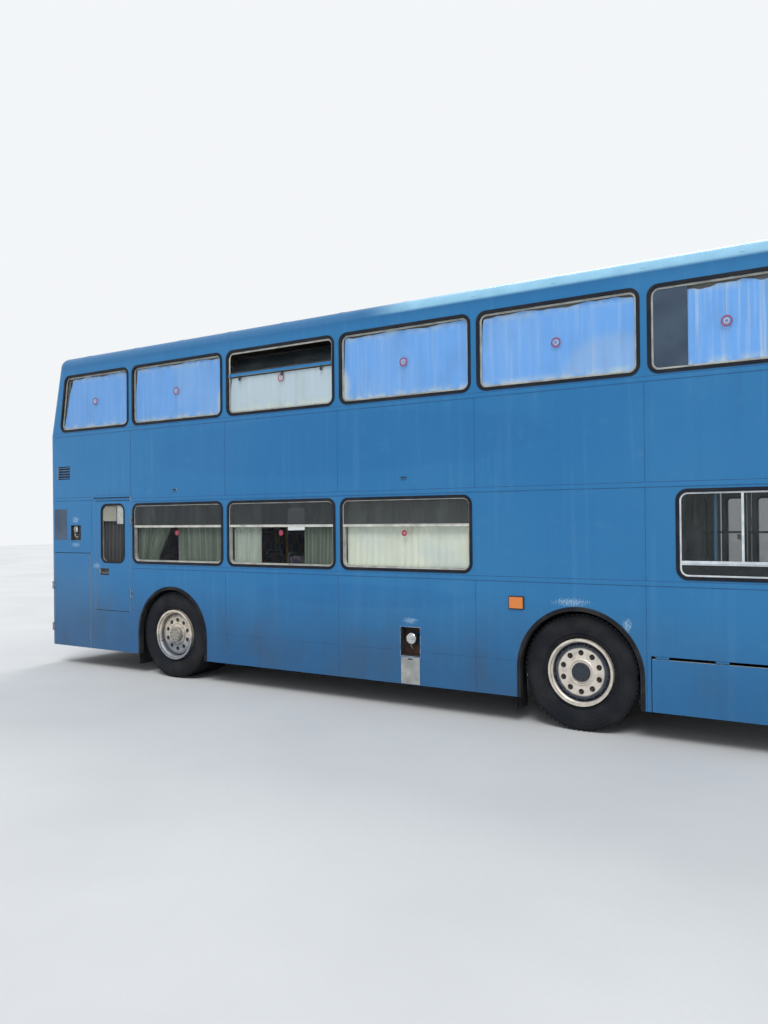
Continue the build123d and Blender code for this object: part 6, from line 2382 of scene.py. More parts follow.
@dataclass
class Curtains:
    """Lower deck curtains on their rails, one blind and the emergency door's curtain.

    Attributes:
        z: Foot and top of the cloth.
        y: Distance of the middle of the folds from the bus's middle.
        depth: Half depth of a fold.
        rail_z: Height of the rail.
    """

    z: Flat = (1.303, 2.074)
    y: float = 1.187
    depth: float = 0.0135
    rail_z: float = 2.096

    def build(self) -> None:
        """Makes every curtain, the blind and the rails."""
        for side, spans in ((Side.OFFSIDE, OFFSIDE_CURTAINS), (Side.NEARSIDE, NEARSIDE_CURTAINS)):
            for index, (x0, x1, folds) in enumerate(spans):
                self._curtain(side, index, (x0, x1), folds)
        self._blind()
        self._door_curtain()
        for side in Side:
            self._rail(side)

    def _curtain(self, side: Side, index: int, x: Flat, folds: int) -> None:
        """One curtain on its hooks.

        Args:
            side: Its side.
            index: Its place on the side, from the rear. The offside's first is drawn aside.
            x: Its low and high end.
            folds: Folds over its width.
        """
        first = side is Side.OFFSIDE and index == 0
        fold = Fold(folds * 1.7, self.depth, 11 * index + 3 + side.value)
        drawn = self._swept if first else None
        data, cut = folded((x[0] + 0.004, x[1] - 0.004), self.z, side.value * self.y, fold, 130, 26, drawn)
        if side is Side.OFFSIDE:
            data.flip_normals()
        cloth = DIM_CURTAIN if side is Side.OFFSIDE and index in (0, 1, 3) else CURTAIN
        stands_for = ["curtains"] if first else ()
        piece = settle(data, f"curtain_{side.label}_{index + 1}", cloth, replaces=stands_for, sharp=60)
        self._hooks(side, index, x)

    @staticmethod
    def _swept(u: float, v: float) -> float:
        """Draws a curtain's free edge back towards its foot."""
        return -0.30 * u * min(max((v - 0.12) / 0.75, 0.0), 1.0) ** 1.2

    def _hooks(self, side: Side, index: int, x: Flat) -> None:
        """The curtain's hooks, from its top to the rail.

        Args:
            side: Its side.
            index: Its place on the side.
            x: Its low and high end.
        """
        hooks, y = Shape(), side.value * self.y
        count = max(int((x[1] - x[0]) / 0.075), 3)
        for step in range(count):
            along = x[0] + 0.012 + (x[1] - x[0] - 0.024) * step / (count - 1)
            hooks.tube([(along, y, self.z[1] - 0.012), (along, y, self.rail_z - 0.004)], 0.0016, 5)
        hooks.place(f"curtain_hooks_{side.label}_{index + 1}", PLASTIC)

    def _blind(self) -> None:
        """The pleated blind that is pulled right across one offside window."""
        data, cut = folded((-0.006, 1.426), self.z, -self.y, Fold(19, 0.006, 77), 230, 22)
        data.flip_normals()
        piece = settle(data, "window_blind", BLIND, sharp=60)

    @staticmethod
    def _door_curtain() -> None:
        """The emergency door's own curtain, stretched between two wires."""
        data, cut = folded((-3.767, -3.303), (1.320, 2.060), -1.199, Fold(7, 0.0048, 29), 150, 24)
        data.flip_normals()
        piece = settle(
            data, "emergency_door_curtain", RED_CURTAIN, "emergency_door", ["door_curtain"], sharp=60
        )
        wires = Shape()
        for z in (1.326, 2.054):
            wires.tube([(-3.771, -1.1935, z), (-3.299, -1.1935, z)], 0.0012, 6)
        wires.place("emergency_door_curtain_wire", STEEL, "emergency_door")

    def _rail(self, side: Side) -> None:
        """One side's curtain rails, in lengths between the pillars, with their brackets.

        Args:
            side: Its side.
        """
        rail, y, z = Shape(), side.value * self.y, self.rail_z
        spans = [(-3.16, -1.665), (-1.60, -0.105), (-0.045, 1.455), (1.52, 3.0)]
        for x in spans if side is Side.NEARSIDE else spans[:3]:
            rail.box(x, (y - 0.006, y + 0.006), (z - 0.005, z + 0.006), 0.0015)
            for end in (x[0] + 0.03, x[1] - 0.03):
                wall = (side.value * 1.190, side.value * 1.2055)
                rail.box((end - 0.008, end + 0.008), wall, (z - 0.003, z + 0.014), 0.001)
        rail.place(f"curtain_rail_{side.label}", FRAME_PAINT)


def frozen(piece: bpy.types.Object) -> bpy.types.Mesh:
    """A scratch object's evaluated mesh. The object itself is removed.

    Args:
        piece: The scratch object.

    Returns:
        The plain mesh.
    """
    evaluated = piece.evaluated_get(bpy.context.evaluated_depsgraph_get())
    data = bpy.data.meshes.new_from_object(evaluated)
    bpy.data.objects.remove(piece)
    return data


@dataclass(frozen=True)
class Pad:
    """A stuffed pad, swollen by a cloth simulation from a flat cut form.

    It lies in its own frame: U along its depth, its thickness in the middle, W along its width.

    Attributes:
        deep: Size along U.
        thick: Thickness before it swells.
        wide: Size along W.
        voxel: Size of the remesh.
        cap: How far a point may move.
        channels: Places along W of sewn channels, as shares of the width.
        cross: Places along U of sewn channels, as shares of the depth.
        triangles: About how many triangles it ends with.
    """

    deep: float
    thick: float
    wide: float
    voxel: float = 0.011
    cap: float = 0.024
    channels: tuple[float, ...] = (0.5,)
    cross: tuple[float, ...] = (0.33, 0.66)
    triangles: int = 1500

    def form(self) -> tuple[np.ndarray, list[tuple[int, ...]]]:
        """The pad's points and faces.

        Returns:
            Points as (u, thickness, w) from the middle, and faces.
        """
        start = Shape()
        outline = rounded((-self.deep / 2, self.deep / 2), (-self.wide / 2, self.wide / 2), 0.035, 5)
        start.slab(outline, (-self.thick / 2, self.thick / 2), self.thick * 0.3)
        data = self._remeshed(start.mesh("pad_form"))
        data = self._swollen(data)
        self._sew(data)
        return self._thinned(data)

    def _scratch(self, data: bpy.types.Mesh) -> bpy.types.Object:
        """A scratch object for a mesh.

        Args:
            data: The mesh.

        Returns:
            The object.
        """
        made = bpy.data.objects.new("pad", data)
        bpy.context.scene.collection.objects.link(made)
        return made

    def _remeshed(self, data: bpy.types.Mesh) -> bpy.types.Mesh:
        """An even mesh of the same form.

        Args:
            data: The mesh.

        Returns:
            The new mesh.
        """
        made = self._scratch(data)
        remesh = made.modifiers.new("even", "REMESH")
        remesh.mode, remesh.voxel_size = "VOXEL", self.voxel
        return frozen(made)

    def _swollen(self, data: bpy.types.Mesh) -> bpy.types.Mesh:
        """The form after twenty frames of pressure, no point moved further than the cap.

        Args:
            data: The flat form.

        Returns:
            The swollen form.
        """
        before = np.array([v.co for v in data.vertices])
        made = self._scratch(data)
        cloth = made.modifiers.new("stuffing", "CLOTH")
        cloth.settings.use_pressure = True
        cloth.settings.uniform_pressure_force = 4.0
        cloth.settings.effector_weights.gravity = 0.0
        cloth.settings.quality = 4
        cloth.point_cache.frame_start, cloth.point_cache.frame_end = 1, 20
        for number in range(1, 21):
            bpy.context.scene.frame_set(number)
        result = frozen(made)
        moved = np.array([v.co for v in result.vertices]) - before
        length = np.linalg.norm(moved, axis=1, keepdims=True)
        capped = before + moved * np.minimum(1.0, self.cap / np.maximum(length, 1e-9))
        result.vertices.foreach_set("co", capped.astype(np.float32).ravel())
        bpy.context.scene.frame_set(1)
        return result

    def _sew(self, data: bpy.types.Mesh) -> None:
        """Pulls both faces in along the sewn channels.

        Args:
            data: The mesh, which is changed.
        """
        points = np.array([v.co for v in data.vertices])
        pull = np.zeros(len(points))
        for share in self.channels:
            pull = np.maximum(pull, np.exp(-(((points[:, 2] - (share - 0.5) * self.wide) / 0.012) ** 2)))
        for share in self.cross:
            pull = np.maximum(
                pull, 0.75 * np.exp(-(((points[:, 0] - (share - 0.5) * self.deep) / 0.010) ** 2))
            )
        points[:, 1] *= 1.0 - 0.30 * pull
        data.vertices.foreach_set("co", points.astype(np.float32).ravel())

    def _thinned(self, data: bpy.types.Mesh) -> tuple[np.ndarray, list[tuple[int, ...]]]:
        """The form with fewer faces.

        Args:
            data: The mesh.

        Returns:
            Its points and its faces.
        """
        made = self._scratch(data)
        fewer = made.modifiers.new("fewer", "DECIMATE")
        fewer.ratio = min(1.0, self.triangles / (2 * len(data.polygons)))
        result = frozen(made)
        points = np.array([v.co for v in result.vertices])
        return points, [tuple(p.vertices) for p in result.polygons]


@dataclass(frozen=True)
class Bench:
    """Where one bench stands.

    Attributes:
        x: X of its back's foot.
        floor: Height of its floor.
        side: Its side.
    """

    x: float
    floor: float
    side: Side

    def path(self, spots: Iterable[Point]) -> list[Point]:
        """Points given from the bench's back, the bus's middle and the floor, put in their place."""
        return [(self.x + x, self.side.value * y, self.floor + z) for x, y, z in spots]

    def box(self, shape: Shape, x: Flat, y: Flat, z: Flat, edge: float) -> None:
        """Adds a box, its sides given as the points of `path` are."""
        low, high = self.path([(x[0], y[0], z[0]), (x[1], y[1], z[1])])
        shape.box((low[0], high[0]), (low[1], high[1]), (low[2], high[2]), edge)


@dataclass
class Seats:
    """One deck's bench seats: frames, backs, cushions, squabs and grab rails.

    Attributes:
        deck: Which deck.
        benches: Its benches.
        y: Gangway end and window end of a bench.
        base: Height of the seat's base over the floor.
        top: Height of the grab rail's top over the floor.
    """

    deck: Deck
    benches: list[Bench]
    y: Flat = (0.330, 1.160)
    base: float = 0.410
    top: float = 0.980

    def build(self) -> None:
        """Makes the cushions, the squabs, the shells, the frames and the rails."""
        label = self.deck.value
        self._pads(f"{label}_cushions", Pad(0.352, 0.052, 0.790), self._cushion)
        self._pads(f"{label}_squabs", Pad(0.455, 0.036, 0.790, cap=0.022, cross=(0.5,)), self._squab)
        frames, shells, rails, piping = Shape(), Shape(), Shape(), Shape()
        for bench in self.benches:
            self._frame(frames, bench)
            self._shell(shells, bench)
            self._rail(rails, bench)
            self._piping(piping, bench)
        frames.place(f"{label}_seat_frames", STEEL_GREY, replaces=[f"{label}_seats"])
        shells.place(f"{label}_seat_shells", SHELL)
        rails.place(f"{label}_seat_rails", YELLOW)
        piping.place(f"{label}_seat_piping", SEAT_VINYL)

    def _pads(self, name: str, pad: Pad, laid: Callable[[np.ndarray, Bench], np.ndarray]) -> None:
        """Copies one pad to every bench, as one piece.

        Args:
            name: The piece's name.
            pad: The pad.
            laid: Puts the pad's points in their place at a bench.
        """
        form, faces = pad.form()
        shape = Shape()
        for index, bench in enumerate(self.benches):
            turned = form.copy()
            if index % 2:
                turned[:, 2] *= -1
            flip = (index % 2 == 1) != (bench.side is Side.OFFSIDE)
            shape.add(laid(turned, bench), [face[::-1] if flip else face for face in faces])
        shape.place(name, SEAT_CLOTH, sharp=75)

    def _cushion(self, form: np.ndarray, bench: Bench) -> np.ndarray:
        """A cushion's points at one bench.

        Args:
            form: The pad's points.
            bench: The bench.

        Returns:
            The points in their place.
        """
        spots = np.empty_like(form)
        spots[:, 0] = bench.x + 0.292 + form[:, 0]
        spots[:, 1] = bench.side.value * (sum(self.y) / 2 + form[:, 2])
        spots[:, 2] = np.maximum(bench.floor + 0.456 + form[:, 1], bench.floor + self.base + 0.006)
        return spots

    def _squab(self, form: np.ndarray, bench: Bench) -> np.ndarray:
        """A squab's points at one bench, leaning back.

        Args:
            form: The pad's points.
            bench: The bench.

        Returns:
            The points in their place.
        """
        lean, spots, thick = math.radians(7.0), np.empty_like(form), np.maximum(form[:, 1], -0.018)
        spots[:, 0] = bench.x + 0.0655 - form[:, 0] * math.sin(lean) + thick * math.cos(lean)
        spots[:, 1] = bench.side.value * (sum(self.y) / 2 + form[:, 2])
        spots[:, 2] = bench.floor + 0.727 + form[:, 0] * math.cos(lean) + thick * math.sin(lean)
        return spots

    def _frame(self, frames: Shape, bench: Bench) -> None:
        """Adds one bench's steelwork: end frames, rails under the cushion, leg, foot and wall bracket.

        Args:
            frames: The shape that it joins.
            bench: The bench.
        """
        under = self.base - 0.006
        for y in (0.350, 1.140):
            path = [
                (0.460, under), (0.140, under), (0.088, under + 0.030), (0.075, under + 0.080), (0.035, 0.930)
            ]
            frames.tube(bench.path((x, y, z) for x, z in path), 0.012, 8)
        for x in (0.150, 0.300, 0.450):
            frames.tube(bench.path([(x, 0.350, under), (x, 1.140, under)]), 0.009, 8)
        for x in (0.185, 0.345):
            frames.tube(bench.path([(x, 0.450, 0.004), (x, 0.450, under)]), 0.015, 10)
        bench.box(frames, (0.150, 0.380), (0.395, 0.505), (0.0005, 0.008), 0.002)
        bench.box(frames, (0.185, 0.345), (0.4475, 0.4525), (0.200, under - 0.01), 0.001)
        for x in (0.170, 0.440):
            frames.tube(bench.path([(x, 1.140, under), (x, 1.188, under - 0.03)]), 0.008, 6)
        bench.box(frames, (0.140, 0.470), (1.186, 1.192), (under - 0.055, under - 0.020), 0.001)

    def _shell(self, shells: Shape, bench: Bench) -> None:
        """Adds one bench's back shell, with a lip along its top, and the tray under its cushion.

        Args:
            shells: The shape that it joins.
            bench: The bench.
        """
        back = [
            (0.052, 0.430), (0.060, 0.430), (0.0105, 0.955), (0.042, 0.968), (0.040, 0.9775), (0.0015, 0.967)
        ]
        ends = (self.y[0] + 0.004, self.y[1] - 0.004)
        shells.loft([bench.path((x, y, z) for x, z in back) for y in ends])
        bench.box(shells, (0.085, 0.475), ends, (self.base - 0.002, self.base + 0.0055), 0.002)

    def _rail(self, rails: Shape, bench: Bench) -> None:
        """Adds the grab rail on a bench's gangway corner.

        Args:
            rails: The shape that it joins.
            bench: The bench.
        """
        top = self.top - 0.011
        path = [
            (0.020, 0.338, 0.80), (0.009, 0.336, 0.90), (0.006, 0.340, top - 0.015),
            (0.006, 0.356, top - 0.002),
        ]
        path += [
            (0.006, 0.395, top), (0.006, 0.575, top), (0.010, 0.600, top - 0.008), (0.018, 0.606, top - 0.040)
        ]
        rails.tube(bench.path(path), 0.0105, 10)

    @staticmethod
    def _piping(piping: Shape, bench: Bench) -> None:
        """Adds the welt round a cushion's front edge.

        Args:
            piping: The shape that it joins.
            bench: The bench.
        """
        half = [(0.13, 0.337), (0.44, 0.337), (0.468, 0.352), (0.474, 0.39)]
        path = half + [(x, 1.49 - y) for x, y in half[::-1]]
        piping.tube(bench.path((x, y, 0.452) for x, y in path), 0.0045, 6)


def lower_benches() -> list[Bench]:
    """The lower deck's benches.

    Returns:
        The benches.
    """
    rear, floor = BUS.rear_floor_z, BUS.lower_floor_z
    benches = [Bench(-3.85, rear, Side.NEARSIDE)]
    for x in (-3.05, -2.25, -1.60, -0.82, -0.04, 0.74):
        benches += [Bench(x, rear if x < -2.0 else floor, side) for side in Side]
    return benches


def upper_benches() -> list[Bench]:
    """The upper deck's benches, with none beside the stairs.

    Returns:
        The benches.
    """
    benches = []
    for row in range(11):
        x = -4.45 + 0.76 * row
        beside_stairs = x + 0.48 > 1.46 and x < 2.80
        sides = (Side.NEARSIDE,) if beside_stairs else (Side.NEARSIDE, Side.OFFSIDE)
        benches += [Bench(x, BUS.upper_floor_z, side) for side in sides]
    return benches


@dataclass
class Saloon:
    """Ceiling, lamps, poles, stair rails and the cab's furniture.

    Attributes:
        ceiling_z: Top of the lower deck's ceiling boards.
        stairs_y: Y of the stairs' rails.
    """

    ceiling_z: float = 2.2875
    stairs_y: float = -0.50

    def build(self) -> None:
        """Makes everything."""
        self._ceiling()
        self._poles()
        self._nosings()
        self._driver_seat()
        self._dash()
        self._cab_screen()

    def _ceiling(self) -> None:
        """Ceiling boards with joint strips, and the lamp covers."""
        boards, strips, lamps, high = Shape(), Shape(), Shape(), self.ceiling_z
        boards.box((-3.90, 1.48), (-1.196, 1.196), (high - 0.004, high), 0.001)
        boards.box((1.482, 3.07), (-0.56, 1.196), (high - 0.004, high), 0.001)
        boards.place("lower_ceiling", DARK_LINING)
        for x in (-3.2, -2.42, -1.64, -0.86, -0.08, 0.70, 1.479, 2.25):
            y = (-0.555 if x > 1.48 else -1.19, 1.19)
            strips.box((x - 0.014, x + 0.014), y, (high - 0.0068, high - 0.0045), 0.0008)
        strips.place("lower_ceiling_strips", FRAME_PAINT)
        lower, upper = (high - 0.040, high - 0.0072), (3.972, 4.002)
        for side in Side:
            spots = [
                (x, 0.43, lower)
                for x in (-3.5, -2.4, -1.3, -0.2, 0.9, 2.2) if side is Side.NEARSIDE or x < 1.4
            ]
            spots += [(x, 0.52, upper) for x in (-4.0, -2.9, -1.8, -0.7, 0.4, 1.5, 2.6, 3.6)]
            for x, far, z in spots:
                y = side.value * far
                lamps.box((x - 0.32, x + 0.32), (y - 0.055, y + 0.055), z, 0.012)
        lamps.place("ceiling_lamps", PLATE_WHITE)

    def _poles(self) -> None:
        """Yellow poles from floor to ceiling in both gangways and round the stairs."""
        poles, rings, y = Shape(), Shape(), self.stairs_y
        low, rear, upper, head = BUS.lower_floor_z, BUS.rear_floor_z, BUS.upper_floor_z, 2.284
        spots = [(-3.0, 0.320, rear, head), (-1.52, -0.320, low, head), (0.04, 0.320, low, head)]
        spots += [
            (0.78, -0.320, low, head), (1.42, 0.320, low, head), (3.02, 0.52, low, head),
            (2.42, -0.10, low, head),
        ]
        spots += [
            (-2.90, 0.320, upper, 4.045), (-0.62, -0.320, upper, 4.045), (1.46, y, upper, 4.02),
            (2.83, y, upper, 4.02),
        ]
        flange = [(0.020, 0.0), (0.034, 0.0), (0.034, 0.006), (0.024, 0.013), (0.020, 0.013)]
        for x, across, foot, top in spots:
            poles.tube([(x, across, foot + 0.001), (x, across, top)], 0.016, 12)
            for z in (foot + 0.0005, top - 0.014):
                rings.turned(flange, (x, across, z), 18, (0, 0, 1), closed=True)
        poles.tube([(1.46, y, 3.20), (1.50, y, 3.24), (2.79, y, 3.24), (2.83, y, 3.20)], 0.016, 12)
        poles.tube([(1.46, y, 2.82), (2.83, y, 2.82)], 0.014, 10)
        handrail = ((3.0, 1.95), (2.5, 1.98), (2.3, 2.12), (2.1, 2.28))
        poles.tube([(x, -0.595, z) for x, z in handrail], 0.015, 10)
        poles.place("grab_poles", YELLOW)
        rings.place("pole_flanges", STEEL_GREY)

    @staticmethod
    def _nosings() -> None:
        """Nosings on the steps that show through the entrance."""
        nosing, floor = Shape(), BUS.lower_floor_z
        step = (1.165 - floor) / 3
        for count in (1, 2):
            y, z = -0.58 + 0.25 * (3 - count), floor + step * count
            nosing.box((2.46, 3.04), (y - 0.030, y + 0.003), (z + 0.0003, z + 0.004), 0.001)
        nosing.place("stair_nosings", NOSING)

    @staticmethod
    def _driver_seat() -> None:
        """The driver's padded seat on its suspension base."""
        x, y, floor, lean = 3.23, -0.715, 0.80, math.radians(9.3)
        finer = {"voxel": 0.009, "channels": (0.24, 0.76), "triangles": 5000}
        form, faces = Pad(0.40, 0.060, 0.430, cross=(), **finer).form()
        deep, thick, wide = form.T
        spots = np.stack((x + 0.295 + deep, y + wide, floor + 0.400 + thick + 0.02 * deep), axis=1)
        Shape().add(spots, faces).place("driver_cushion", LEATHER, sharp=75)
        form, faces = Pad(0.55, 0.045, 0.430, cross=(0.72,), **finer).form()
        deep, thick, wide = form.T
        back = x + 0.083 - deep * math.sin(lean) + thick * math.cos(lean)
        up = floor + 0.720 + deep * math.cos(lean) + thick * math.sin(lean)
        spots = np.stack((back, y + wide, up), axis=1)
        Shape().add(spots, faces).place("driver_squab", LEATHER, sharp=75)
        base = Shape().box(
            (x + 0.06, x + 0.47), (y - 0.205, y + 0.205), (floor + 0.335, floor + 0.355), 0.006
        )
        for step in range(6):
            grow, z = 0.012 if step % 2 else 0.0, floor + 0.06 + step * 0.045
            base.box(
                (x + 0.15 - grow, x + 0.38 + grow), (y - 0.14 - grow, y + 0.14 + grow), (z, z + 0.046), 0.008
            )
        base.box((x + 0.12, x + 0.42), (y - 0.17, y + 0.17), (floor + 0.001, floor + 0.060), 0.008)
        lever = [(0.20, -0.215, 0.34), (0.30, -0.225, 0.345), (0.36, -0.225, 0.35)]
        base.tube([(x + u, y + v, floor + w) for u, v, w in lever], 0.008, 8)
        for shift in (-0.05, 0.05):
            base.tube([(x + 0.075, y + shift, floor + 0.36), (x + 0.060, y + shift, floor + 0.60)], 0.014, 8)
        base.place("driver_seat_base", PLASTIC, replaces=["driver_seat"])

    @staticmethod
    def _dash() -> None:
        """Instrument binnacle, dial rings, switches and a gear selector on the dashboard."""
        binnacle, dials, switches = Shape(), Shape(), Shape()
        binnacle.box((4.215, 4.300), (-0.94, -0.48), (1.232, 1.330), 0.014)
        for index in range(4):
            spot = (4.2145, -0.875 + index * 0.112, 1.282)
            dials.turned(washer(0.036, 0.045, 0.006), spot, 24, (-1, 0, 0), closed=True)
            dials.turned([(0.036, 0.001), (0.036, 0.002), (0.003, 0.002)], spot, 24, (-1, 0, 0))
        for index in range(9):
            y = -0.40 + index * 0.032
            switches.box((4.135, 4.148), (y - 0.010, y + 0.010), (1.130, 1.165), 0.003)
        switches.tube([(4.04, -0.74, 1.34), (4.06, -0.90, 1.37), (4.055, -0.98, 1.40)], 0.006, 8)
        knob = [(0.022, 0.0), (0.025, 0.010), (0.022, 0.030), (0.010, 0.036)]
        switches.turned(knob, (4.23, -0.36, 1.232), 16, (0, 0, 1))
        binnacle.place("instrument_binnacle", PLASTIC)
        dials.place("instrument_dials", STEEL_GREY)
        switches.place("dash_switches", SHELL)

    @staticmethod
    def _cab_screen() -> None:
        """The screen's frame beside the driver, the cab's upright pole and the ticket machine's stand."""
        y = -0.262
        outline = [(3.13, 1.255), (3.13, 2.20), (3.16, 2.235), (3.98, 2.235), (4.02, 2.20), (4.12, 1.26)]
        screen = Shape().tube([(x, y, z) for x, z in outline], 0.011, 8)
        screen.tube([(3.13, y, 1.70), (4.065, y, 1.70)], 0.009, 8).place("cab_screen_frame", STEEL_GREY)
        pole = Shape().tube([(3.56, -1.150, 0.81), (3.56, -1.150, 1.55), (3.565, -1.150, 2.27)], 0.013, 10)
        pole.place("cab_pole", BLUE_POLE)
        stand = Shape().box((3.90, 4.06), (-0.245, -0.090), (1.06, 1.24), 0.010)
        stand.box((3.93, 4.03), (-0.230, -0.110), (1.242, 1.285), 0.008)
        stand.tube([(3.98, -0.17, 0.53), (3.98, -0.17, 1.06)], 0.020, 10)
        stand.place("fare_stand", SHELL)


def end_facing(shape: Shape, way: int) -> Shape:
    """Turns a shape drawn in X and Z to face along X: its X becomes Y, its Y becomes distance along X.

    Args:
        shape: The shape, whose Y is the distance along X.
        way: 1 for the front end, -1 for the rear.

    Returns:
        The same shape, turned.
    """
    shape.points = [(way * far, across, up) for across, far, up in shape.points]
    return shape


def front_x(z: float) -> float:
    """X of the front end's middle at a height."""
    heights, backs = (0.245, 1.150, 2.125, 2.975, 4.200), (0.035, 0.004, 0.030, 0.060, 0.305)
    return BUS.half_length - float(np.interp(z, heights, backs))


def rear_x(z: float) -> float:
    """X of the rear end's middle at a height."""
    heights, backs = (0.245, 2.975, 4.200), (0.020, 0.0, 0.220)
    return -BUS.half_length + float(np.interp(z, heights, backs))


# How far along X the search for the ends' surface starts, and the heights of the cover strips there
SEARCH_X = 5.4
STRIP_HEIGHTS: Flat = (2.9745, 2.1045)
# Low and high y of the blank plates
PLATE_Y: Flat = (-0.260, 0.260)


@dataclass
class FrontEnd:
    """Strips, wipers, lamp rims, bumper, blank destination blind and blank plate.

    Attributes:
        wiper_z: Height of the wipers' spindles.
        lamp_z: Height of the headlamps.
        turn_lamp_z: Height of the turn lamps.
        lamp_y: Y of the middle between a side's two headlamps.
    """

    wiper_z: float = 1.120
    lamp_z: float = 0.790
    turn_lamp_z: float = 0.99
    lamp_y: float = 0.80

    def build(self) -> None:
        """Makes everything."""
        skin = Skin("front_lower", "front_upper", "lower_side", "upper_side")
        self._strips(skin)
        self._wipers()
        self._lamps(skin)
        self._bumper(skin)
        self._blind()

    @staticmethod
    def _across(skin: Skin, z: float, reach: float) -> Line:
        """A level line over the front, corner to corner."""
        return skin.line([(SEARCH_X, reach * step / 24, z) for step in range(-24, 25)], (-1, 0, 0))

    def _strips(self, skin: Skin) -> None:
        """Cover strips and joints over the front.

        Args:
            skin: The surface that they lie on.
        """
        strips, joints, rows, reach = Shape(), Shape(), [], 1.20
        for z in STRIP_HEIGHTS:
            rows.append(self._across(skin, z, reach))
            strips.ribbon(rows[-1], *STRIP)
            for edge in (-STRIP_JOINT, STRIP_JOINT):
                joints.ribbon(self._across(skin, z + edge, reach), *SEALANT)
        for z in (1.145, 0.600):
            joints.ribbon(self._across(skin, z, reach), *SEALANT)
        strips.place("front_cover_strips", PAINT)
        joints.place("front_joints", JOINT)
        RIVETS.lay("front_rivets", rows, PAINT)

    def _wipers(self) -> None:
        """Two wipers parked against the screen's middle post, with their spindles."""
        arms, blades, low, high = Shape(), Shape(), self.wiper_z, 1.60
        spindle = [(0.018, -0.020), (0.018, 0.006), (0.012, 0.016), (0.004, 0.018)]
        x, head_x = front_x(low) + 0.010, front_x(high) + 0.028
        for way in (-1, 1):
            y, head_y = way * 0.360, way * 0.165
            arms.turned(spindle, (x, y, low), 16, (1, 0, 0))
            arms.tube(
                [(x + 0.010, y, low), (x + 0.022, way * 0.345, low + 0.03), (head_x, head_y, high)], 0.0055, 8
            )
            link = [
                (x + 0.006, y - way * 0.03, low + 0.01), (head_x - 0.004, head_y - way * 0.012, high - 0.10)
            ]
            arms.tube(link, 0.0035, 6)
            for proud, radius, ends in ((0.0235, 0.0048, (1.27, 1.93)), (0.0150, 0.0040, (1.26, 1.94))):
                heights = (ends[0], 1.45, 1.60, 1.75, ends[1])
                blades.tube([(front_x(z) + proud, way * 0.158, z) for z in heights], radius, 6)
        arms.place("wiper_arms", PLASTIC)
        blades.place("wiper_blades", RUBBER)

    def _lamps(self, skin: Skin) -> None:
        """Bright rims and dark bowls round the headlamps, and turn lamps outboard.

        Args:
            skin: The surface that they lie on.
        """
        rims, bases, lenses, out = Shape(), Shape(), Shape(), (1, 0, 0)
        rim = [
            (0.0885, 0.0), (0.0885, 0.010), (0.0925, 0.0135), (0.099, 0.012), (0.1035, 0.006), (0.1035, 0.0)
        ]
        bowl = [(0.1035, 0.0), (0.1035, 0.0055), (0.112, 0.0055), (0.114, 0.0)]
        face = front_x(self.turn_lamp_z)
        for way in (-1, 1):
            for y in (0.905, 0.700):
                centre = (front_x(self.lamp_z) - 0.004, way * y, self.lamp_z)
                rims.turned(rim, centre, 48, out, closed=True)
                bases.turned(bowl, centre, 48, out, closed=True)
            y = way * self.lamp_y
            outline = rounded((y - 0.255, y + 0.255), (0.655, 0.925), 0.05, 6)
            spots = [(SEARCH_X, u, v) for u, v in [*outline, *outline[:2]]]
            bases.ribbon(skin.line(spots, (-1, 0, 0)), 0.011, 0.004)
            cut = rounded((y - 0.080, y + 0.080), (0.955, 1.025), 0.010, 3)
            lens = end_facing(Shape().slab(cut, (face - 0.004, face + 0.020), 0.005), 1)
            lenses.add(lens.points, lens.faces)
            cut = rounded((y - 0.089, y + 0.089), (0.946, 1.034), 0.014, 4)
            base = end_facing(Shape().hoop(cut, 0.0085, (face + 0.010, face - 0.004), 0.002), 1)
            bases.add(base.points, base.faces)
        rims.place("headlamp_rims", CHROME)
        bases.place("headlamp_bases", PLASTIC)
        lenses.place("front_turn_lamps", AMBER)

    def _bumper(self, skin: Skin) -> None:
        """A rubber-faced bumper strip, a blank plate and a row of air slots, the slots dark inserts as
        painted shade.

        Args:
            skin: The surface that they lie on.
        """
        bumper = Shape().ribbon(self._across(skin, 0.430, 1.17), 0.120, 0.022)
        bumper.ribbon(self._across(skin, 0.555, 1.17), 0.030, 0.014).place("front_bumper", FLAP_RUBBER)
        face = front_x(0.43) + 0.022
        plate = Shape().slab(rounded(PLATE_Y, (0.375, 0.486), 0.008, 3), (face, face + 0.004), 0.001)
        end_facing(plate, 1).place("front_blank_plate", PLATE_WHITE)
        # Dark inserts: painted shade in the air slots.
        slots = Shape()
        for index in range(5):
            z = 0.885 + index * 0.028
            slots.slab(
                rounded((-0.310, 0.310), (z, z + 0.013), 0.006, 3), (front_x(z) - 0.002, front_x(z) + 0.0012)
            )
        end_facing(slots, 1).place("front_air_slots", DARK_METAL)

    @staticmethod
    def _blind() -> None:
        """A blank roller blind behind the destination glass, and the upper saloon's front rail."""
        rolls, wide, columns, rows, points = Shape(), 1.18, 24, 24, []
        for z in (2.333, 2.757):
            rolls.tube([(front_x(z) - 0.085, y, z) for y in (-0.60, 0.60)], 0.020, 14)
        rolls.place("destination_rollers", BLANK_CLOTH)
        for row in range(rows + 1):
            z = 2.338 + 0.414 * row / rows
            x = front_x(z) - 0.0645 - 0.003 * math.sin(
                math.pi * row / rows
            ) + 0.001 * math.sin(8.8 * row / rows)
            points += [(x, wide * (column / columns - 0.5), z) for column in range(columns + 1)]
        data, area = sheet_mesh(points, columns)
        piece = settle(data, "blank_destination_blind", BLANK_CLOTH)
        rail = [(4.45, -1.00, 3.22), (4.50, -0.90, 3.22), (4.50, 0.90, 3.22), (4.45, 1.00, 3.22)]
        Shape().tube(rail, 0.014, 10).place("upper_front_rail", YELLOW)


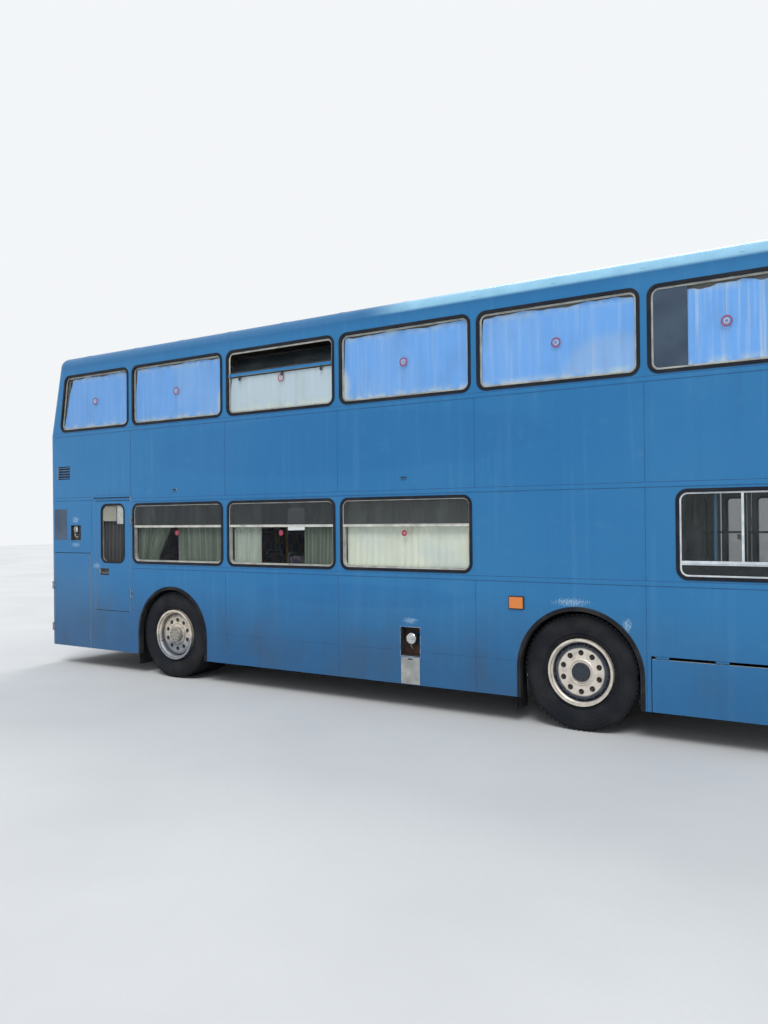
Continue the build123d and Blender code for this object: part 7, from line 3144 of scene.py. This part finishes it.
@dataclass
class RearEnd:
    """Bonnet louvres and handle, lamp surrounds, strips and a blank plate.

    Attributes:
        louvre: The louvres' row.
        corner_lamp: Low and high y of a lamp cluster.
    """

    louvre: Row = Row(Unit.BLOCK, 0.034, (0.016, 0.560, 0.012))
    corner_lamp: Flat = (1.040, 1.130)

    def build(self) -> None:
        """Makes everything."""
        skin = Skin("rear_lower", "rear_upper", "lower_side", "upper_side", "engine_bonnet")
        self._bonnet()
        self._lamps()
        strips, joints = Shape(), Shape()
        for z in (*STRIP_HEIGHTS, 1.545):
            strips.ribbon(self._across(skin, z, 1.17), *STRIP)
            for edge in (-STRIP_JOINT, STRIP_JOINT):
                joints.ribbon(self._across(skin, z + edge, 1.17), *SEALANT)
        strips.place("rear_cover_strips", PAINT)
        joints.place("rear_joints", JOINT)
        strip = Shape().ribbon(self._across(skin, 0.288, 1.12), 0.060, 0.012)
        strip.place("rear_bumper_strip", FLAP_RUBBER)
        face, outline = -rear_x(3.38), rounded((-0.536, 0.536), (3.084, 3.676), 0.07, 6)
        window = Shape().hoop(outline, 0.016, (face - 0.012, face - 0.034), 0.002)
        end_facing(window, -1).place("rear_window_frame", FRAME_PAINT)

    @staticmethod
    def _across(skin: Skin, z: float, reach: float) -> Line:
        """A level line over the rear, corner to corner."""
        return skin.line([(-SEARCH_X, reach * step / 20, z) for step in range(-20, 21)], (1, 0, 0))

    def _bonnet(self) -> None:
        """Louvres, a handle with its lock, and the plate, on the bonnet."""
        ends, node, out = [(rear_x(z) + 0.001, z) for z in (0.98, 1.30)], "engine_bonnet", (-1, 0, 0)
        lines = [[((x, y, z), out) for x, z in ends] for y in (-0.49, 0.49)]
        self.louvre.lay("bonnet_louvres", lines, PAINT, node)
        x, bends = rear_x(0.42), ((0.002, -0.07), (-0.022, -0.06), (-0.022, 0.06), (0.002, 0.07))
        metal = Shape().tube([(x + u, v, 0.42) for u, v in bends], 0.007, 8)
        for y in (-0.85, 0.85):
            lock = [(0.020, -0.004), (0.020, 0.004), (0.015, 0.008), (0.004, 0.008)]
            metal.turned(lock, (rear_x(0.40), y, 0.40), 18, out)
        metal.place("bonnet_handle", STEEL, node)
        face = -rear_x(0.60)
        outline = rounded(PLATE_Y, (0.545, 0.656), 0.008, 3)
        plate = Shape().slab(outline, (face - 0.002, face + 0.004), 0.001)
        end_facing(plate, -1).place("rear_blank_plate", PLATE_YELLOW, node)
        outline = rounded((-0.10, 0.10), (0.672, 0.700), 0.006, 3)
        lamp = Shape().slab(outline, (face - 0.002, face + 0.026), 0.005)
        end_facing(lamp, -1).place("plate_lamp", PLASTIC, node)

    def _lamps(self) -> None:
        """Frames and bands of the lamp clusters, and round reflectors."""
        frames, amber, clear, reflectors, face = Shape(), Shape(), Shape(), Shape(), -rear_x(0.76)
        lens = (face + 0.006, face + 0.0165)
        for way in (-1, 1):
            low, high = sorted(way * y for y in self.corner_lamp)
            outline = rounded((low - 0.010, high + 0.010), (0.608, 0.912), 0.012, 4)
            frames.hoop(outline, 0.0098, (face + 0.010, face - 0.004), 0.002)
            for z in (0.700, 0.805):
                frames.slab(rounded((low, high), (z, z + 0.008), 0.003, 2), (face + 0.002, face + 0.0175))
            amber.slab(rounded((low + 0.003, high - 0.003), (0.815, 0.897), 0.006, 3), lens, 0.001)
            clear.slab(rounded((low + 0.003, high - 0.003), (0.623, 0.698), 0.006, 3), lens, 0.001)
            outline = rounded((low + 0.012, high - 0.012), (0.500, 0.566), 0.033, 8)
            reflectors.slab(outline, (face - 0.004, face + 0.008), 0.003)
        end_facing(frames, -1).place("rear_lamp_frames", PLASTIC)
        end_facing(amber, -1).place("rear_turn_lamps", AMBER)
        end_facing(clear, -1).place("reversing_lamps", CLEAR_LENS)
        end_facing(reflectors, -1).place("rear_reflectors", RED_LENS)


@dataclass
class EntranceTrim:
    """Rubber edges, pane seals, kick plates and handles of the four leaves, and the step's nosing.

    Attributes:
        leaf_faces: Inner and outer face of the leaves.
        edge: Width of a leaf's frame beside and over its pane.
        kick: Height of a leaf's frame under its pane.
    """

    leaf_faces: Flat = (1.212, 1.244)
    edge: float = 0.052
    kick: float = 0.120

    def build(self) -> None:
        """Makes the fittings of each leaf."""
        for pair in ("rear", "front"):
            for which in ("inner", "outer"):
                self._leaf(pair, which)
        cover = Shape().box((3.14, 4.34), (1.060, 1.196), (2.125, 2.262), 0.008)
        cover.place("door_gear_cover", FRAME_PAINT)
        nosing = Shape().box((3.150, 4.330), (1.150, 1.204), (0.3452, 0.3465), 0.0004)
        nosing.place("entrance_nosing", NOSING)

    def _leaf(self, pair: str, which: str) -> None:
        """One leaf's fittings.

        Args:
            pair: The pair that it belongs to, rear or front.
            which: Its place in the pair, inner or outer.
        """
        node = f"entrance_{pair}_{which}"
        leaf = f"{node}_leaf"
        low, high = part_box(leaf)
        glass_low, glass_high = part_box(f"{node}_glass")
        z0, z1, (inner, outer) = low[2], high[2], self.leaf_faces
        x0, x1 = glass_low[0] - self.edge, glass_high[0] + self.edge
        across = (glass_low[0] - 0.001, glass_high[0] + 0.001)
        up = (z0 + self.kick - 0.001, z1 - self.edge + 0.001)
        pane = inset(rounded(across, up, 0.046, 6), -0.006)
        seals = Shape().hoop(pane, 0.020, (outer + 0.0020, outer - 0.006), 0.0008)
        seals.hoop(pane, 0.020, (inner - 0.0040, inner + 0.006), 0.001)
        seals.box((x0 + 0.006, x1 - 0.006), (inner + 0.010, inner + 0.022), (z0 - 0.0035, z0 + 0.001), 0.001)
        meeting, way = (x1, 1) if pair == "rear" else (x0, -1)
        if which == "outer":
            span = sorted((meeting - way * 0.001, meeting + way * 0.0072))
            seals.box(tuple(span), (inner + 0.004, outer - 0.004), (z0 + 0.004, z1 - 0.004), 0.003)
        seals.place(f"{node}_seals", RUBBER, leaf)
        plate, foot = Shape(), (z0 + 0.012, z0 + 0.100)
        plate.box((x0 + 0.012, x1 - 0.012), (inner - 0.0018, inner + 0.001), foot, 0.0006)
        plate.box((x0 + 0.034, x1 - 0.034), (outer - 0.001, outer + 0.0015), foot, 0.0006)
        plate.place(f"{node}_kick_plates", ALUMINIUM, leaf)
        if which == "outer":
            half = [(0.002, 0.95), (-0.038, 0.97), (-0.042, 1.0)]
            bends = half + [(far, 2.5 - z) for far, z in half[::-1]]
            grip = Shape().tube([(meeting - way * 0.030, inner + far, z) for far, z in bends], 0.009, 10)
            grip.place(f"{node}_handle", YELLOW, leaf)


@dataclass
class Roof:
    """Riveted strips over the roof at the hoops.

    Attributes:
        hoops: X of each hoop.
        rivet: The rivets' row.
        spread: First and last angle of a strip round the roof.
    """

    hoops: tuple[float, ...] = (-4.10, -3.2, -2.42, -1.641, -0.862, -0.082, 0.697, 1.477, 2.257, 3.036, 3.80)
    rivet: Row = Row(Unit.DOME, 0.075, (0.008, 0.008, 0.005))
    spread: Flat = (46, 134)

    def build(self) -> None:
        """Makes the strips and the rivets."""
        skin = Skin("roof", "upper_side", "rear_upper", "front_upper")
        strips, rows = Shape(), []
        for x in self.hoops:
            path = self._fanned(skin, x)
            strips.ribbon(path, 0.040, 0.0035)
            rows.extend(
                [((p[0] + shift, p[1], p[2] + 0.002), n) for p, n in path] for shift in (-0.011, 0.011)
            )
        strips.place("roof_strips", PAINT)
        self.rivet.lay("roof_rivets", rows, PAINT)

    def _fanned(self, skin: Skin, x: float) -> Line:
        """The roof's outline over one hoop, found from outside.

        Args:
            skin: The surface.
            x: X of the hoop.

        Returns:
            Its points and normals.
        """
        found, (first, last) = [], self.spread
        for step in range(61):
            angle = math.radians(first + (last - first) * step / 60)
            way = (0.0, -math.cos(angle), -math.sin(angle))
            found.append(skin.hit((x, 3 * math.cos(angle), 2.6 + 3 * math.sin(angle)), way))
        return [hit for hit in found if hit]


@dataclass
class Underside:
    """Exhaust, air tanks with straps, and engine fittings.

    Attributes:
        exhaust: Y and z of the silencer's axis.
        tank_z: Height of the air tanks' axes.
    """

    exhaust: Flat = (0.62, 0.37)
    tank_z: float = 0.365

    def build(self) -> None:
        """Makes everything."""
        self._exhaust()
        self._tanks()
        self._engine()

    def _exhaust(self) -> None:
        """Silencer and tail pipe."""
        y, z = self.exhaust
        pipe = Shape().tube(
            [(-4.02, 0.46, 0.62), (-4.00, 0.52, 0.45), (-4.05, 0.60, 0.38), (-4.16, y, z)], 0.038, 14
        )
        silencer = [(0.04, 0.0), (0.095, 0.01), (0.100, 0.03), (0.100, 0.36), (0.095, 0.38), (0.04, 0.39)]
        pipe.turned(silencer, (-4.15, y, z), 24, (-1, 0, 0))
        pipe.tube([(-4.53, y, z), (-4.62, y, 0.35), (-4.70, y, 0.315), (-4.745, y, 0.300)], 0.033, 14)
        pipe.place("exhaust", EXHAUST)

    def _tanks(self) -> None:
        """Air tanks between the wheels, hung from the floor by straps."""
        tanks, straps, z = Shape(), Shape(), self.tank_z
        places = ((-1.45, 0.85, 0.70, 0.105), (-0.55, 0.85, 0.55, 0.105), (-1.35, -0.88, 0.75, 0.110))
        for x, y, length, radius in places:
            end = [(0.004, 0.0), (radius * 0.6, 0.006), (radius * 0.93, 0.022), (radius, 0.045)]
            tanks.turned(end + [(r, length - far) for r, far in end[::-1]], (x, y, z), 28, (1, 0, 0))
            for share in (0.22, 0.78):
                at = x + length * share
                strap = [(radius + out, far) for out, far in washer(0.0005, 0.004, 0.016, -0.016)]
                straps.turned(strap, (at, y, z), 28, (1, 0, 0), closed=True)
                for shift in (-radius - 0.003, radius + 0.003):
                    straps.tube([(at, y + shift, z), (at, y + shift, 0.489)], 0.005, 6)
        tanks.place("air_tanks", CHASSIS)
        straps.place("air_tank_straps", STEEL_GREY)

    @staticmethod
    def _engine() -> None:
        """Covers, pulleys, belt, filter and pipes on the engine, seen with the bonnet open."""
        low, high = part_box("engine_block")
        back, top = low[0], high[2]
        covers, bright, belt, hoses = Shape(), Shape(), Shape(), Shape()
        cap = [(0.013, 0.0), (0.013, 0.010), (0.007, 0.014), (0.002, 0.014)]
        for x in (back + 0.05, back + 0.29):
            covers.box((x, x + 0.21), (-0.14, 0.14), (top - 0.002, top + 0.075), 0.014)
            for y in (-0.07, 0.07):
                bright.turned(cap, (x + 0.105, y, top + 0.0745), 12, (0, 0, 1))
        pulleys = ((-0.02, 0.72, 0.085), (0.20, 0.88, 0.050), (-0.24, 0.96, 0.060), (-0.04, 1.12, 0.045))
        for y, z, radius in pulleys:
            groove = [(radius, 0.018), (radius - 0.010, 0.013), (radius, 0.008), (radius, 0.0)]
            profile = [
                (0.003, 0.030), (0.012, 0.030), (0.024, 0.036), (radius * 0.55, 0.022), (radius, 0.026)
            ]
            bright.turned(profile + groove, (back, y, z), 36, (-1, 0, 0))
        path = [
            (-0.02 - 0.085, 0.70), (-0.05, 0.64), (0.03, 0.65), (0.075, 0.72), (0.245, 0.86), (0.24, 0.91)
        ]
        path += [(0.20, 0.93), (-0.02, 1.165), (-0.07, 1.15), (-0.275, 1.01), (-0.298, 0.96), (-0.28, 0.92)]
        belt.tube([(back - 0.013, y, z) for y, z in path], 0.007, 6, closed=True)
        belt.place("engine_belt", RUBBER)
        half = [(0.003, 0.0), (0.10, 0.004), (0.11, 0.02), (0.11, 0.27), (0.10, 0.29), (0.003, 0.292)]
        covers.turned(half, (back + 0.08, 0.28, top + 0.080), 28, (1, 0, 0))
        covers.box((back - 0.030, back + 0.002), (-0.385, -0.300), (0.78, 1.10), 0.008)
        thick = [
            (0.02, 0.28, top + 0.08), (-0.02, 0.28, top + 0.07), (-0.035, 0.28, top), (-0.035, 0.30, 1.10)
        ]
        thick += [(-0.02, 0.33, 1.02), (0.01, 0.34, 1.0)]
        thin = [
            (0.01, -0.20, 1.20), (-0.03, -0.20, 1.19), (-0.035, -0.16, 0.98), (-0.03, -0.20, 0.80),
            (0.01, -0.24, 0.76),
        ]
        for bends, radius, sides in ((thick, 0.028, 12), (thin, 0.017, 10)):
            hoses.tube([(back + x, y, z) for x, y, z in bends], radius, sides)
        hoses.place("engine_hoses", RUBBER)
        covers.place("engine_covers", IRON)
        bright.place("engine_pulleys", STEEL_GREY)


@dataclass
class MirrorGlass:
    """Mirror glass with its rim, facing the rear.

    Attributes:
        y: Distance of a mirror's middle from the bus's middle.
        z: Low and high side of the rim.
    """

    y: float = 1.40
    z: Flat = (1.706, 1.994)

    def build(self) -> None:
        """Makes both."""
        rims, glass = Shape(), Shape()
        for way in (-1, 1):
            outline = rounded((way * self.y - 0.079, way * self.y + 0.079), self.z, 0.018, 5)
            rims.hoop(outline, 0.008, (-4.3435, -4.348), 0.001)
            glass.slab(inset(outline, 0.0075), (-4.3465, -4.3448))
        end_facing(rims, -1).place("mirror_rims", RUBBER)
        end_facing(glass, -1).place("mirror_glass", MIRROR)


SUB_ASSEMBLIES = [
    *(Wheel(side, f"front_wheel_{side.label}", (1.215,), 1.183, 1.200, FRONT_WHEEL) for side in Side),
    *(Wheel(side, f"rear_wheels_{side.label}", (1.215, 0.905), 1.155, 1.205, REAR_WHEEL) for side in Side),
    *(SideTrim(side) for side in Side),
    *(WindowTrim(side) for side in Side),
    ArchTrim(),
    OffsideFittings(),
    *(Liners(side) for side in Side),
    Curtains(),
    Seats(Deck.LOWER, lower_benches()),
    Seats(Deck.UPPER, upper_benches()),
    Saloon(),
    FrontEnd(),
    RearEnd(),
    EntranceTrim(),
    Roof(),
    Underside(),
    MirrorGlass(),
]


def main() -> None:
    """Dresses the CAD nodes, adds every piece and sets the stage."""
    logging.basicConfig(level=logging.INFO)
    Studio().build()
    dress_nodes()
    for sub_assembly in SUB_ASSEMBLIES:
        sub_assembly.build()


if __name__ == "__main__":
    main()
